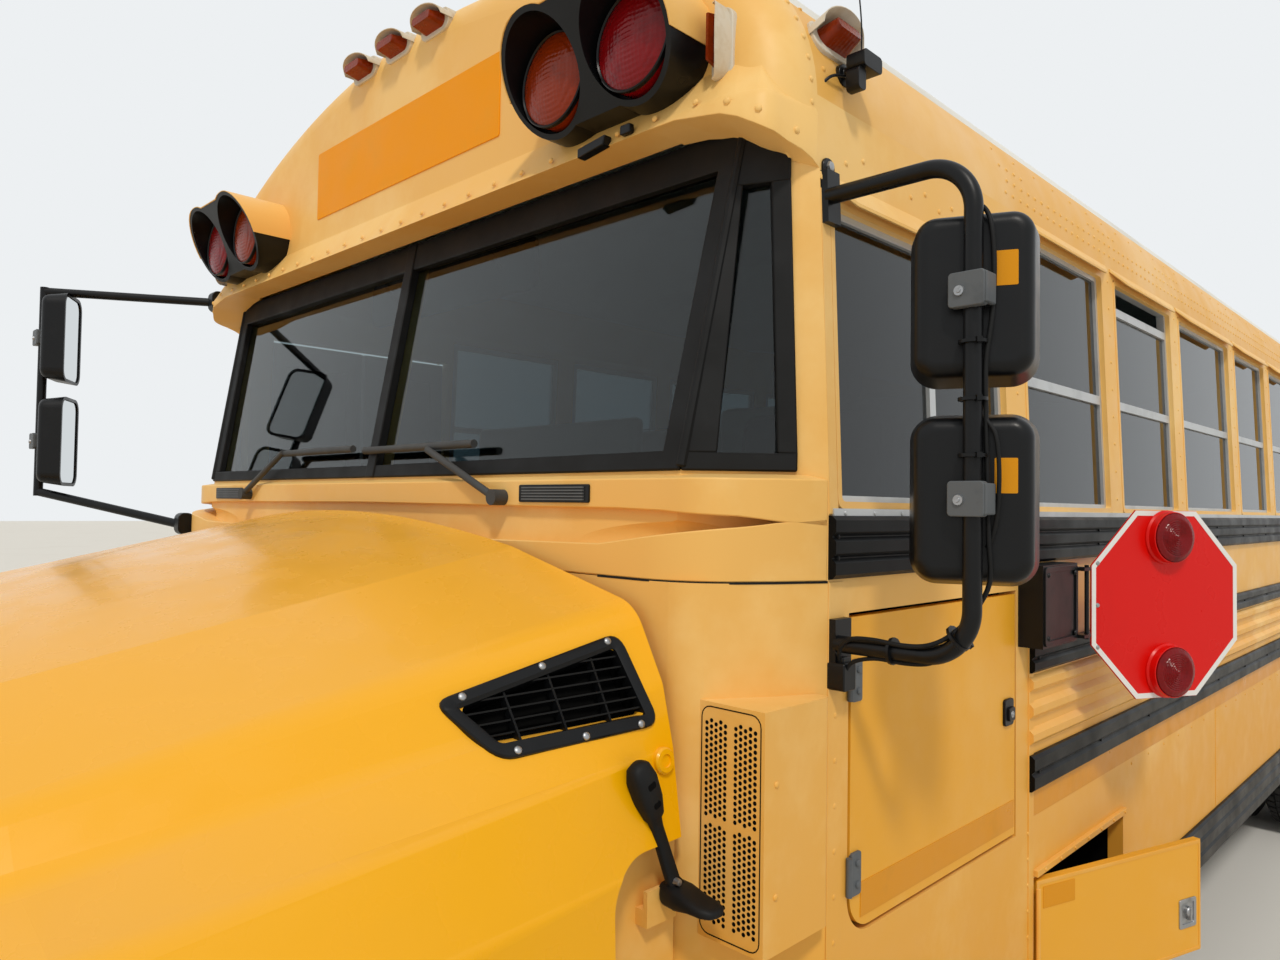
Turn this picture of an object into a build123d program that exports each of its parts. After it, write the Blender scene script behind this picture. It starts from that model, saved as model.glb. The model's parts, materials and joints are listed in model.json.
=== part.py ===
from build123d import *
from math import atan2, cos, degrees, radians, sin, tan
import os

os.makedirs("parts", exist_ok=True)

# Frame: the bus faces -Y, its left side is +X, Z is up from the road, millimetres

# Overall body
HALF_WIDTH = 1219
BUMPER_FRONT_Y = -5325
SEAM_Y = -3375
REAR_Y = 5195
BUMPER_REAR_Y = 5325
CROWN_Z = 3040
EAVE_X = 1190
EAVE_Z = 2520
SHOULDER_R = 360
SILL_Z = 1820
SKIRT_Z = 640
WALL = 40
REAR_WALL = 60

# Passenger windows
WINDOW_TOP_Z = 2490
SASH_SPLIT_Z = 2120
FIRST_POST_Y = -2630
POST_WIDTH = 95
PITCH = 665
EXIT_PITCH = 802
WINDOW_COUNT = 11
EXIT_WINDOWS = (2, 7)

# Wheels and axles
TYRE_R = 505
TYRE_WIDTH = 279
RIM_R = 286
FRONT_AXLE_Y = -4345
REAR_AXLE_Y = 1955
FRONT_TRACK_X = 1010
KINGPIN_X = 850
DUAL_INNER_X = 730
DUAL_OUTER_X = 1065
ARCH_R = 560

# Chassis
RAIL_X = 390
RAIL_WIDTH = 80
RAIL_BOTTOM_Z = 680
RAIL_TOP_Z = 940
FLOOR_TOP_Z = 1140
FLOOR_THICK = 50
STEP_BOTTOM_Z = 400

# Hood
HOOD_REAR_Y = -3615
HOOD_LOWER_REAR_Y = -3745
HOOD_FRONT_Y = -5145
HOOD_PIVOT_Y = -5220
HOOD_PIVOT_Z = 830
HOOD_SKIN = 12

# Openings and doors: front edge, rear edge, bottom, top
DRIVER_WINDOW = (-3345, -2640, 1820, 2350)
ELECTRICAL_DOOR = (-3310, -2615, 1100, 1645)
BATTERY_DOOR = (-2515, -1875, 680, 980)
ENTRANCE = (-3290, -2560, 420, 2400)
REAR_DOOR_HALF = 470
REAR_DOOR_Z = (1120, 2440)
DOOR_GAP = 8
DOOR_CORNER_R = 70
PIN_OUT = 12

# Rest angles from the closed position
BATTERY_REST = 18
STOP_SIGN_REST = 28


def cross_plane(y):
    """Plane across the bus at y, drawn in X and Z; extrusion runs forward."""
    return Plane(origin=(0, y, 0), x_dir=(1, 0, 0), z_dir=(0, -1, 0))


def side_plane(x):
    """Plane along the bus at x, drawn in Y and Z; extrusion runs to the left side."""
    return Plane(origin=(x, 0, 0), x_dir=(0, 1, 0), z_dir=(1, 0, 0))


def rect(x0, x1, y0, y1, mode=Mode.ADD):
    """Rectangle by its edges in the current sketch."""
    with Locations(((x0 + x1) / 2, (y0 + y1) / 2)):
        Rectangle(x1 - x0, y1 - y0, mode=mode)


def block(x0, x1, y0, y1, z0, z1, mode=Mode.ADD):
    """Box by its edges in the current part."""
    with Locations(((x0 + x1) / 2, (y0 + y1) / 2, (z0 + z1) / 2)):
        Box(x1 - x0, y1 - y0, z1 - z0, mode=mode)


def rod(start, end, radius, mode=Mode.ADD):
    """Round bar between two points in the current part."""
    axis = Vector(*end) - Vector(*start)
    with BuildSketch(Plane(origin=start, z_dir=axis.normalized())) as disc:
        Circle(radius)
    extrude(disc.sketch, amount=axis.length, mode=mode)


def finish(piece, label):
    """Label a finished piece and write its file."""
    piece.part.label = label
    export_step(piece.part, f"parts/{label}.step")


# Cross-section of the body: upright side, leaning window band, shoulder arc and crown arc
LEAN = atan2(HALF_WIDTH - EAVE_X, EAVE_Z - SILL_Z)
SHOULDER_X = EAVE_X - SHOULDER_R * cos(LEAN)
SHOULDER_Z = EAVE_Z - SHOULDER_R * sin(LEAN)
RISE = CROWN_Z - SHOULDER_Z
CROWN_R = (SHOULDER_X**2 + RISE**2 - SHOULDER_R**2) / (2 * (RISE - SHOULDER_R))
CROWN_CENTRE_Z = CROWN_Z - CROWN_R
CROWN_START = degrees(atan2(SHOULDER_Z - CROWN_CENTRE_Z, SHOULDER_X))
SHOULDER_START = degrees(LEAN)


def body_outline(inset, bottom_z):
    """Draw the body's closed cross-section, moved in by inset, in the current sketch."""
    shoulder = SHOULDER_R - inset
    eave = (SHOULDER_X + shoulder * cos(LEAN), SHOULDER_Z + shoulder * sin(LEAN))
    sill = (HALF_WIDTH - inset, SILL_Z)
    sweep = CROWN_START - SHOULDER_START
    with BuildLine() as outline:
        CenterArc((SHOULDER_X, SHOULDER_Z), shoulder, SHOULDER_START, sweep)
        CenterArc((0, CROWN_CENTRE_Z), CROWN_R - inset, CROWN_START, 180 - 2 * CROWN_START)
        CenterArc((-SHOULDER_X, SHOULDER_Z), shoulder, 180 - CROWN_START, sweep)
        if bottom_z < SILL_Z:
            Polyline(
                (-eave[0], eave[1]), (-sill[0], sill[1]), (-sill[0], bottom_z),
                (sill[0], bottom_z), sill, eave,
            )
        else:
            low_x = eave[0] + (eave[1] - bottom_z) * tan(LEAN)
            Polyline((-eave[0], eave[1]), (-low_x, bottom_z), (low_x, bottom_z), eave)
    make_face(outline.edges())


def wall_plane(side, depth):
    """Plane in the leaning window band, depth inside the outer face; drawn in Y and up the wall."""
    normal = Vector(side * cos(LEAN), 0, sin(LEAN))
    start = Vector(side * HALF_WIDTH, 0, SILL_Z) - normal * depth
    return Plane(origin=start, x_dir=(0, side, 0), z_dir=normal)


# Front edge of each post, then the clear width of the window behind it
posts = [FIRST_POST_Y]
for number in range(WINDOW_COUNT):
    posts.append(posts[-1] + (EXIT_PITCH if number in EXIT_WINDOWS else PITCH))
windows = [(posts[n] + POST_WIDTH, posts[n + 1]) for n in range(WINDOW_COUNT)]

# Side walls
RIBS_Z = (1285, 1345, 1405)
RIB_HEIGHT = 40
RIB_PROUD = 12
RAILS_START = {1: -2545, -1: -2480}


def door_face(x, front, rear, low, high, corner):
    """Door's outline on an upright plane along the bus, with its lower front corner rounded."""
    with BuildSketch(side_plane(x)) as face:
        rect(front, rear, low, high)
        if corner:
            fillet(face.vertices().group_by(Axis.Y)[0].sort_by(Axis.X)[0], radius=corner)
    return face.sketch


def make_side(side, openings):
    """Side wall with its pressed ribs, window openings, wheel arch and named openings."""
    with BuildPart() as wall:
        with BuildSketch(cross_plane(REAR_Y - REAR_WALL)):
            body_outline(0, SKIRT_Z)
            with BuildSketch(mode=Mode.PRIVATE) as inner:
                body_outline(WALL, SKIRT_Z - 1)
            add(inner.sketch, mode=Mode.SUBTRACT)
            with BuildSketch(mode=Mode.PRIVATE) as half:
                rect(min(0, side * 1300), max(0, side * 1300), SKIRT_Z - 10, EAVE_Z)
            add(half.sketch, mode=Mode.INTERSECT)
        extrude(amount=REAR_Y - REAR_WALL - SEAM_Y)
        with BuildSketch(cross_plane(REAR_Y - REAR_WALL)):
            for low in RIBS_Z:
                with BuildLine():
                    Polyline(
                        (side * HALF_WIDTH, low), (side * (HALF_WIDTH + RIB_PROUD), low + 12),
                        (side * (HALF_WIDTH + RIB_PROUD), low + RIB_HEIGHT - 12),
                        (side * HALF_WIDTH, low + RIB_HEIGHT), close=True,
                    )
                make_face()
        extrude(amount=REAR_Y - REAR_WALL - RAILS_START[side])
        with BuildSketch(side_plane(side * 1100)):
            for front, rear in windows:
                rect(front, rear, SILL_Z, WINDOW_TOP_Z)
            with Locations((REAR_AXLE_Y, TYRE_R)):
                Circle(ARCH_R)
        extrude(amount=side * 200, mode=Mode.SUBTRACT)
        for front, rear, low, high, corner in openings:
            outline = door_face(side * 1100, front, rear, low, high, corner)
            extrude(outline, amount=side * 200, mode=Mode.SUBTRACT)
    return wall


left_side = make_side(1, ((*DRIVER_WINDOW, 0), (*ELECTRICAL_DOOR, DOOR_CORNER_R), (*BATTERY_DOOR, 0)))
right_side = make_side(-1, ((*ENTRANCE, 0),))
finish(left_side, "left_side")
finish(right_side, "right_side")

# Roof shell
with BuildPart() as roof:
    with BuildSketch(cross_plane(REAR_Y - REAR_WALL)):
        body_outline(0, EAVE_Z - 100)
        with BuildSketch(mode=Mode.PRIVATE) as inner:
            body_outline(WALL, EAVE_Z - 101)
        add(inner.sketch, mode=Mode.SUBTRACT)
        with BuildSketch(mode=Mode.PRIVATE) as upper:
            rect(-1300, 1300, EAVE_Z, CROWN_Z + 10)
        add(upper.sketch, mode=Mode.INTERSECT)
    extrude(amount=REAR_Y - REAR_WALL - SEAM_Y)
finish(roof, "roof")

# Rear wall with its emergency doorway and two side lights
REAR_LIGHT = (600, 1060, 1840, 2400)
with BuildPart() as rear_wall:
    with BuildSketch(cross_plane(REAR_Y)):
        body_outline(0, SKIRT_Z)
        rect(-REAR_DOOR_HALF - DOOR_GAP, REAR_DOOR_HALF + DOOR_GAP, *REAR_DOOR_Z, mode=Mode.SUBTRACT)
        for side in (1, -1):
            near, far = sorted((side * REAR_LIGHT[0], side * REAR_LIGHT[1]))
            rect(near, far, REAR_LIGHT[2], REAR_LIGHT[3], mode=Mode.SUBTRACT)
            near, far = sorted((side * (RAIL_X - 45), side * (RAIL_X + 45)))
            rect(near, far, SKIRT_Z - 1, RAIL_TOP_Z + 5, mode=Mode.SUBTRACT)
    extrude(amount=REAR_WALL)
    corner = rear_wall.faces().sort_by(Axis.Y)[-1].outer_wire().edges()
    fillet([edge for edge in corner if edge.bounding_box().max.Z > SKIRT_Z + 5], radius=45)
finish(rear_wall, "rear_wall")

# Front cap: the roof's line carried forward, a rounded edge, and a lip over the windshield
CAP_FACE_Y = -3480
CAP_LIP_Y = -3525
CAP_BOTTOM_Z = 2485
CAP_SEAM_Z = 2393
CAP_EDGE_R = 90
LIP_HEIGHT = 80
LIP_X = (1105, 1178, 1188)
FLAP_X = EAVE_X - WALL
with BuildPart() as under_cap:
    slope = (CAP_BOTTOM_Z - CAP_SEAM_Z) / (SEAM_Y - CAP_LIP_Y)
    with BuildSketch(side_plane(-1300)):
        with BuildLine():
            Polyline((-3600, SILL_Z), (SEAM_Y + 10, SILL_Z), (SEAM_Y + 10, CAP_SEAM_Z - 10 * slope),
                     (CAP_LIP_Y, CAP_BOTTOM_Z), (-3600, CAP_BOTTOM_Z), close=True)
        make_face()
    extrude(amount=2600)
    block(-FLAP_X, FLAP_X, -3600, SEAM_Y + 10, SILL_Z, CAP_BOTTOM_Z)

with BuildPart() as front_cap:
    with BuildSketch(cross_plane(SEAM_Y)):
        body_outline(0, CAP_SEAM_Z - 20)
    extrude(amount=SEAM_Y - CAP_FACE_Y)
    face_edges = front_cap.faces().sort_by(Axis.Y)[0].outer_wire().edges()
    fillet([edge for edge in face_edges if edge.bounding_box().max.Z > CAP_SEAM_Z], radius=CAP_EDGE_R)
    with BuildSketch(Plane.XY.offset(CAP_BOTTOM_Z)):
        with BuildLine():
            near_x, corner_x, rear_x = LIP_X
            FilletPolyline((-rear_x, SEAM_Y - 5), (-corner_x, CAP_LIP_Y + 32), (-near_x, CAP_LIP_Y),
                           (near_x, CAP_LIP_Y), (corner_x, CAP_LIP_Y + 32), (rear_x, SEAM_Y - 5),
                           radius=[40, 90, 90, 40], close=False)
            Line((rear_x, SEAM_Y - 5), (-rear_x, SEAM_Y - 5))
        make_face()
    extrude(amount=LIP_HEIGHT, taper=29)
    with BuildSketch(cross_plane(SEAM_Y)):
        body_outline(WALL, CAP_SEAM_Z - 21)
    extrude(amount=SEAM_Y - CAP_FACE_Y - WALL, mode=Mode.SUBTRACT)
    add(under_cap.part, mode=Mode.SUBTRACT)
finish(front_cap, "front_cap")

# Windshield frame: corner points of its outer line at three heights, left half, front to back
FRAME_LEVELS = {
    1700: ((1030, -3545), (1172, -3408), (1219, SEAM_Y)),
    1877: ((1030, -3530), (1170, -3395), (1219, SEAM_Y)),
    2485: ((1073, -3419), (1170, -3394), (1192, SEAM_Y)),
}
PANE_SINK = 12
GLASS = 6
WINDSHIELD_BOTTOM_Z = 1902
WINDSHIELD_TOP_Z = 2425


def frame_face(level, inset):
    """Draw the front frame's plan at a height, moved in by inset, as a closed face."""
    (x1, y1), (x2, y2), (x3, y3) = FRAME_LEVELS[level]
    back = y3 + (60 if inset else 0)
    half = [(x1 - inset * 0.4, y1 + inset), (x2 - inset, y2 + inset * 0.3), (x3 - inset, back)]
    with BuildSketch(Plane.XY.offset(level)) as plan:
        with BuildLine():
            Polyline(*half, *[(-x, y) for x, y in reversed(half)], close=True)
        make_face()
    return plan.sketch


def frame_body(inset):
    """Solid between the sill and head of the windshield frame, moved in by inset."""
    with BuildPart() as body:
        loft([frame_face(1877, inset), frame_face(2485, inset)], ruled=True)
    return body.part


with BuildPart() as pane_space:
    with BuildSketch(cross_plane(-3600)):
        for side in (1, -1):
            with BuildLine():
                Polyline((side * 16, WINDSHIELD_BOTTOM_Z), (side * 998, WINDSHIELD_BOTTOM_Z),
                         (side * 1036, WINDSHIELD_TOP_Z), (side * 16, WINDSHIELD_TOP_Z), close=True)
            make_face()
    extrude(amount=-300)
    for side in (1, -1):
        outward = Vector(side * 0.69, -0.72, 0)
        with BuildSketch(Plane(origin=(side * 1110, -3455, 0), x_dir=(0.72, side * 0.69, 0), z_dir=outward)):
            with BuildLine():
                reach = 60 * side
                Polyline((-reach, WINDSHIELD_BOTTOM_Z), (reach, WINDSHIELD_BOTTOM_Z),
                         (reach * 0.75, 2385), (-reach * 0.15, 2385), close=True)
            make_face()
        extrude(amount=90, both=True)

with BuildPart() as front_frame:
    add(frame_body(0))
    add(frame_body(45), mode=Mode.SUBTRACT)
    add(pane_space.part, mode=Mode.SUBTRACT)
    add(under_cap.part, mode=Mode.INTERSECT)
finish(front_frame, "front_frame")

with BuildPart() as windshield:
    add(frame_body(PANE_SINK))
    add(frame_body(PANE_SINK + GLASS), mode=Mode.SUBTRACT)
    add(pane_space.part, mode=Mode.INTERSECT)
finish(windshield, "windshield")

# Cowl: ledge under the windshield over a long hollow that dies out at the corners, then the firewall shell
COWL_FRONT_Y = -3595
HOLLOW_R = 58
HOLLOW_Z = 1757
HOLLOW_TAILS = ((1020, -3552, HOLLOW_Z + 15, 28), (1124, -3464, HOLLOW_Z + 28, 6))
COWL_PLAN = ((1100, COWL_FRONT_Y), (1178, -3465), (HALF_WIDTH, SEAM_Y))
COWL_INSIDE = ((1017, -3500), (1147, SEAM_Y))
with BuildPart() as cowl:
    loft([frame_face(1700, 0), frame_face(1877, 0)], ruled=True)
    with BuildSketch(Plane.XY.offset(FLOOR_TOP_Z - FLOOR_THICK)):
        with BuildLine():
            front, corner, seam = COWL_PLAN
            mirrored = [(-x, y) for x, y in (seam, corner, front)]
            FilletPolyline(*mirrored, front, corner, seam, radius=[160, 60, 60, 160])
            Line(seam, (-seam[0], seam[1]))
        make_face()
    extrude(amount=1700 - FLOOR_TOP_Z + FLOOR_THICK)
    with BuildSketch(Plane.XY.offset(FLOOR_TOP_Z - FLOOR_THICK - 1)):
        with BuildLine():
            Polyline(*COWL_INSIDE, *[(-x, y) for x, y in reversed(COWL_INSIDE)], close=True)
        make_face()
    extrude(amount=1880 - FLOOR_TOP_Z + FLOOR_THICK, mode=Mode.SUBTRACT)
    rod((-720, COWL_FRONT_Y - 8, HOLLOW_Z), (720, COWL_FRONT_Y - 8, HOLLOW_Z), HOLLOW_R, mode=Mode.SUBTRACT)
    for side in (1, -1):
        rings = []
        for x, y, z, radius in ((720, COWL_FRONT_Y - 8, HOLLOW_Z, HOLLOW_R), *HOLLOW_TAILS):
            with BuildSketch(Plane(origin=(side * x, y, z), x_dir=(0, 0, 1), z_dir=(side, 0, 0))) as ring:
                Circle(radius)
            rings.append(ring.sketch)
        loft(rings, ruled=True, mode=Mode.SUBTRACT)
finish(cowl, "cowl")

# Fixed splash panels behind the front wheels: they rise inside the hood's rear edge and carry the
# latches' brackets, and the left one carries the perforated box
PANEL_TOP_Z = 1390
PANEL_THICK = 20
LATCH_Y = -3640
LATCH_HOOK_Z = 1240
with BuildPart() as splash_panels:
    for side in (1, -1):
        with BuildSketch(Plane.XY.offset(SKIRT_Z)):
            with BuildLine():
                Polyline((side * 1088, COWL_FRONT_Y - 2), (side * 1110, COWL_FRONT_Y - 1),
                         (side * 1177, -3470), (side * HALF_WIDTH, SEAM_Y),
                         (side * (HALF_WIDTH - 25), SEAM_Y), (side * 1155, -3462),
                         (side * 1068, COWL_FRONT_Y - 2), close=True)
            make_face()
        extrude(amount=FLOOR_TOP_Z - FLOOR_THICK - SKIRT_Z)
        with BuildSketch(Plane.XY.offset(SKIRT_Z)):
            with BuildLine():
                Polyline((side * 1072, HOOD_LOWER_REAR_Y), (side * 1088, COWL_FRONT_Y - 1),
                         (side * (1088 - PANEL_THICK), COWL_FRONT_Y - 1),
                         (side * (1072 - PANEL_THICK), HOOD_LOWER_REAR_Y), close=True)
            make_face()
        extrude(amount=PANEL_TOP_Z - SKIRT_Z)
        near, far = sorted((side * 1070, side * 1104))
        block(near, far, LATCH_Y - 32, LATCH_Y + 32, LATCH_HOOK_Z - 45, LATCH_HOOK_Z - 20)
        near, far = sorted((side * 1096, side * 1104))
        block(near, far, LATCH_Y - 32, LATCH_Y + 32, LATCH_HOOK_Z - 25, LATCH_HOOK_Z + 8)
finish(splash_panels, "splash_panels")

with BuildPart() as perforated_box:
    with BuildSketch(Plane.XY.offset(1160)):
        with BuildLine():
            Polyline((1115, -3570), (1175, -3470), (1210.5, -3395), (1240, -3395), (1240, -3570), close=True)
        make_face()
    extrude(amount=360)
    fillet(perforated_box.edges().filter_by(Axis.Z).sort_by(Axis.X)[-1], radius=14)
    add(cowl.part, mode=Mode.SUBTRACT)
finish(perforated_box, "perforated_box")

# Sashes and glass of the side windows
SASH_DEPTH = 12
SASH_THICK = 22
SASH_BORDER = 24
SASH_DROP = 70
DROPPED_SASH = (1, 1)
SLIDER_BAR_Y = -2985
PANE = 6
SPLIT = SASH_SPLIT_Z - SILL_Z
HEAD = WINDOW_TOP_Z - SILL_Z
with BuildPart() as window_frames:
    for side in (1, -1):
        with BuildSketch(wall_plane(side, SASH_DEPTH)):
            for number, (front, rear) in enumerate(windows):
                low, high = sorted((side * front, side * rear))
                drop = SASH_DROP if (side, number) == DROPPED_SASH else 0
                rect(low, high, 2, HEAD - 1)
                rect(low + SASH_BORDER, high - SASH_BORDER, SASH_BORDER, SPLIT, mode=Mode.SUBTRACT)
                rect(low + SASH_BORDER, high - SASH_BORDER, SPLIT + SASH_BORDER, HEAD - SASH_BORDER - drop,
                     mode=Mode.SUBTRACT)
                if drop:
                    rect(low + SASH_BORDER, high - SASH_BORDER, HEAD - drop, HEAD - 12, mode=Mode.SUBTRACT)
            if side == 1:
                front, rear, low, high = DRIVER_WINDOW
                rect(front, rear, 2, high - SILL_Z - 1)
                rect(front + SASH_BORDER, SLIDER_BAR_Y, SASH_BORDER, high - SILL_Z - SASH_BORDER,
                     mode=Mode.SUBTRACT)
                rect(SLIDER_BAR_Y + SASH_BORDER, rear - SASH_BORDER, SASH_BORDER, high - SILL_Z - SASH_BORDER,
                     mode=Mode.SUBTRACT)
        extrude(amount=-SASH_THICK)
finish(window_frames, "window_frames")

with BuildPart() as window_glass:
    for side in (1, -1):
        with BuildSketch(wall_plane(side, SASH_DEPTH + 8)):
            for number, (front, rear) in enumerate(windows):
                low, high = sorted((side * front, side * rear))
                drop = SASH_DROP if (side, number) == DROPPED_SASH else 0
                rect(low + SASH_BORDER, high - SASH_BORDER, SASH_BORDER, SPLIT)
                rect(low + SASH_BORDER, high - SASH_BORDER, SPLIT + SASH_BORDER, HEAD - SASH_BORDER - drop)
            if side == 1:
                front, rear, low, high = DRIVER_WINDOW
                rect(front + SASH_BORDER, SLIDER_BAR_Y, SASH_BORDER, high - SILL_Z - SASH_BORDER)
                rect(SLIDER_BAR_Y + SASH_BORDER, rear - SASH_BORDER, SASH_BORDER, high - SILL_Z - SASH_BORDER)
        extrude(amount=-PANE)
    for side in (1, -1):
        near, far = sorted((side * REAR_LIGHT[0], side * REAR_LIGHT[1]))
        block(near, far, REAR_Y - 40, REAR_Y - 34, REAR_LIGHT[2], REAR_LIGHT[3])
finish(window_glass, "window_glass")

# Black rub rails with pressed ridges, and the lips round the rear arches
RAIL_PROUD = 15
GROOVE_DEPTH = 7
RAIL_ROWS = (
    # low, high, ridges, left start, right start
    (1704, 1810, 3, SEAM_Y, RAILS_START[-1]),
    (1451, 1516, 2, RAILS_START[1], RAILS_START[-1]),
    (1182, 1265, 2, RAILS_START[1], RAILS_START[-1]),
)
SKIRT_ROW = (620, 766, 3)
ARCH_LIP = 36


def rail_face(side, low, high, ridges, y):
    """Ridged outline of a rub rail across the bus, drawn at y."""
    step = (high - low) / ridges
    crest = HALF_WIDTH + RAIL_PROUD
    points = [(side * HALF_WIDTH, low)]
    for ridge in range(ridges):
        base = low + ridge * step
        points += [(side * (crest - GROOVE_DEPTH), base + 1), (side * crest, base + 8)]
        points += [(side * crest, base + step - 8), (side * (crest - GROOVE_DEPTH), base + step - 1)]
    points.append((side * HALF_WIDTH, high))
    with BuildSketch(cross_plane(y)) as face:
        with BuildLine():
            Polyline(*points, close=True)
        make_face()
    return face.sketch


with BuildPart() as rub_rails:
    rails_end = REAR_Y - REAR_WALL
    for side in (1, -1):
        for low, high, ridges, left_start, right_start in RAIL_ROWS:
            start = left_start if side == 1 else right_start
            extrude(rail_face(side, low, high, ridges, rails_end), amount=rails_end - start)
        arch_front = REAR_AXLE_Y - ARCH_R - ARCH_LIP - 8
        arch_rear = REAR_AXLE_Y + ARCH_R + ARCH_LIP + 8
        extrude(rail_face(side, *SKIRT_ROW, arch_front), amount=arch_front - BATTERY_DOOR[1] - 20)
        extrude(rail_face(side, *SKIRT_ROW, rails_end), amount=rails_end - arch_rear)
        with BuildSketch(side_plane(side * HALF_WIDTH)) as lip:
            with Locations((REAR_AXLE_Y, TYRE_R)):
                Circle(ARCH_R + ARCH_LIP)
                Circle(ARCH_R, mode=Mode.SUBTRACT)
            rect(REAR_AXLE_Y - 800, REAR_AXLE_Y + 800, -200, SKIRT_Z, mode=Mode.SUBTRACT)
        extrude(lip.sketch, amount=side * 14)
finish(rub_rails, "rub_rails")

# Floor plate, its cross sills and the entrance steps: sill place along the bus and half length
SILLS = [(y, 1150) for y in (*range(-2900, 1300, 400), *range(2700, 5000, 400))] + [(1955, 540)]
STEP_RISE = (FLOOR_TOP_Z - STEP_BOTTOM_Z) / 3
STEP_TREAD = 235
STEP_PLATE = 30
INNER_X = HALF_WIDTH - WALL
WELL_X = -INNER_X + 3 * STEP_TREAD
door_front, door_rear = ENTRANCE[:2]
with BuildPart() as floor:
    block(-INNER_X, INNER_X, SEAM_Y, REAR_Y - REAR_WALL, FLOOR_TOP_Z - FLOOR_THICK, FLOOR_TOP_Z)
    block(-INNER_X - 1, WELL_X + STEP_PLATE, door_front - 20, door_rear + 20, RAIL_TOP_Z, FLOOR_TOP_Z + 1,
          mode=Mode.SUBTRACT)
finish(floor, "floor")

with BuildPart() as floor_sills:
    for sill_y, reach in SILLS:
        low_x = WELL_X + STEP_PLATE + 10 if sill_y < door_rear + 60 else -reach
        block(low_x, reach, sill_y - 30, sill_y + 30, RAIL_TOP_Z, FLOOR_TOP_Z - FLOOR_THICK)
finish(floor_sills, "floor_sills")

with BuildPart() as entrance_steps:
    with BuildSketch(cross_plane(door_rear)):
        points = [(-INNER_X, STEP_BOTTOM_Z)]
        for step in range(3):
            x = -INNER_X + (step + 1) * STEP_TREAD
            points += [(x, STEP_BOTTOM_Z + step * STEP_RISE), (x, STEP_BOTTOM_Z + (step + 1) * STEP_RISE)]
        under = [(x + STEP_PLATE, z - STEP_PLATE) for x, z in reversed(points)]
        under[-1] = (-INNER_X, STEP_BOTTOM_Z - STEP_PLATE)
        under[0] = (points[-1][0] + STEP_PLATE, FLOOR_TOP_Z)
        with BuildLine():
            Polyline(*points, *under, close=True)
        make_face()
    extrude(amount=door_rear - door_front)
    for y in (door_front - 20, door_rear):
        block(-INNER_X, WELL_X + STEP_PLATE, y, y + 20, STEP_BOTTOM_Z - STEP_PLATE, FLOOR_TOP_Z)
finish(entrance_steps, "entrance_steps")

# Chassis frame: two channel rails, the cross members between them and the tow eyes under them
TOW_EYE_R = 20
CROSS_MEMBERS_Y = (-5025, -3700, -2400, -800, 900, 2900, 4400, 5080)
WEB_X = RAIL_X + RAIL_WIDTH / 2 - 10
TOW_EYES = (
    # front, rear, bottom
    (-5300, -5200, 420),
    (5110, 5210, 385),
)
with BuildPart() as frame_rails:
    for side in (1, -1):
        with BuildSketch(cross_plane(BUMPER_REAR_Y - 110)):
            outer = side * (RAIL_X + RAIL_WIDTH / 2)
            inner = side * (RAIL_X - RAIL_WIDTH / 2)
            web = side * WEB_X
            with BuildLine():
                Polyline((inner, RAIL_BOTTOM_Z), (outer, RAIL_BOTTOM_Z), (outer, RAIL_TOP_Z),
                         (inner, RAIL_TOP_Z), (inner, RAIL_TOP_Z - 10), (web, RAIL_TOP_Z - 10),
                         (web, RAIL_BOTTOM_Z + 10), (inner, RAIL_BOTTOM_Z + 10), close=True)
            make_face()
        extrude(amount=BUMPER_REAR_Y - 110 - (BUMPER_FRONT_Y + 25))
    block(-500, 500, BUMPER_FRONT_Y, -5080, 820, RAIL_TOP_Z + 1, mode=Mode.SUBTRACT)
finish(frame_rails, "frame_rails")

with BuildPart() as cross_members:
    for y in CROSS_MEMBERS_Y:
        block(-WEB_X, WEB_X, y - 40, y + 40, RAIL_TOP_Z - 120, RAIL_TOP_Z - 10)
finish(cross_members, "cross_members")

with BuildPart() as tow_eyes:
    for side in (1, -1):
        near, far = sorted((side * (RAIL_X - 10), side * (RAIL_X + 10)))
        for front, rear, low in TOW_EYES:
            block(near, far, front, rear, low, RAIL_BOTTOM_Z)
            eye = (front + rear) / 2
            rod((near - 1, eye, low + 35), (far + 1, eye, low + 35), TOW_EYE_R, mode=Mode.SUBTRACT)
finish(tow_eyes, "tow_eyes")

# Engine and radiator
with BuildPart() as engine_block:
    block(-300, 300, -4900, -3780, 700, 1340)
    for side in (1, -1):
        for y in (-4700, -4000):
            near, far = sorted((side * 290, side * 420))
            block(near, far, y - 50, y + 50, RAIL_TOP_Z, RAIL_TOP_Z + 30)
finish(engine_block, "engine_block")

with BuildPart() as radiator:
    block(-345, 345, -5060, -4990, RAIL_TOP_Z - 10, 1290)
finish(radiator, "radiator")


def leaf_spring(axle_y, half_length, low_z):
    """Curved spring pack, one each side, hung under the rails."""
    for side in (1, -1):
        with BuildSketch(side_plane(side * RAIL_X)) as pack:
            with BuildLine():
                ThreePointArc((axle_y - half_length, RAIL_BOTTOM_Z), (axle_y, low_z + 50),
                              (axle_y + half_length, RAIL_BOTTOM_Z))
                Line((axle_y + half_length, RAIL_BOTTOM_Z), (axle_y + half_length, RAIL_BOTTOM_Z - 20))
                ThreePointArc((axle_y + half_length, RAIL_BOTTOM_Z - 20), (axle_y, low_z),
                              (axle_y - half_length, RAIL_BOTTOM_Z - 20))
                Line((axle_y - half_length, RAIL_BOTTOM_Z - 20), (axle_y - half_length, RAIL_BOTTOM_Z))
            make_face()
        extrude(pack.sketch, amount=38, both=True)


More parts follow.
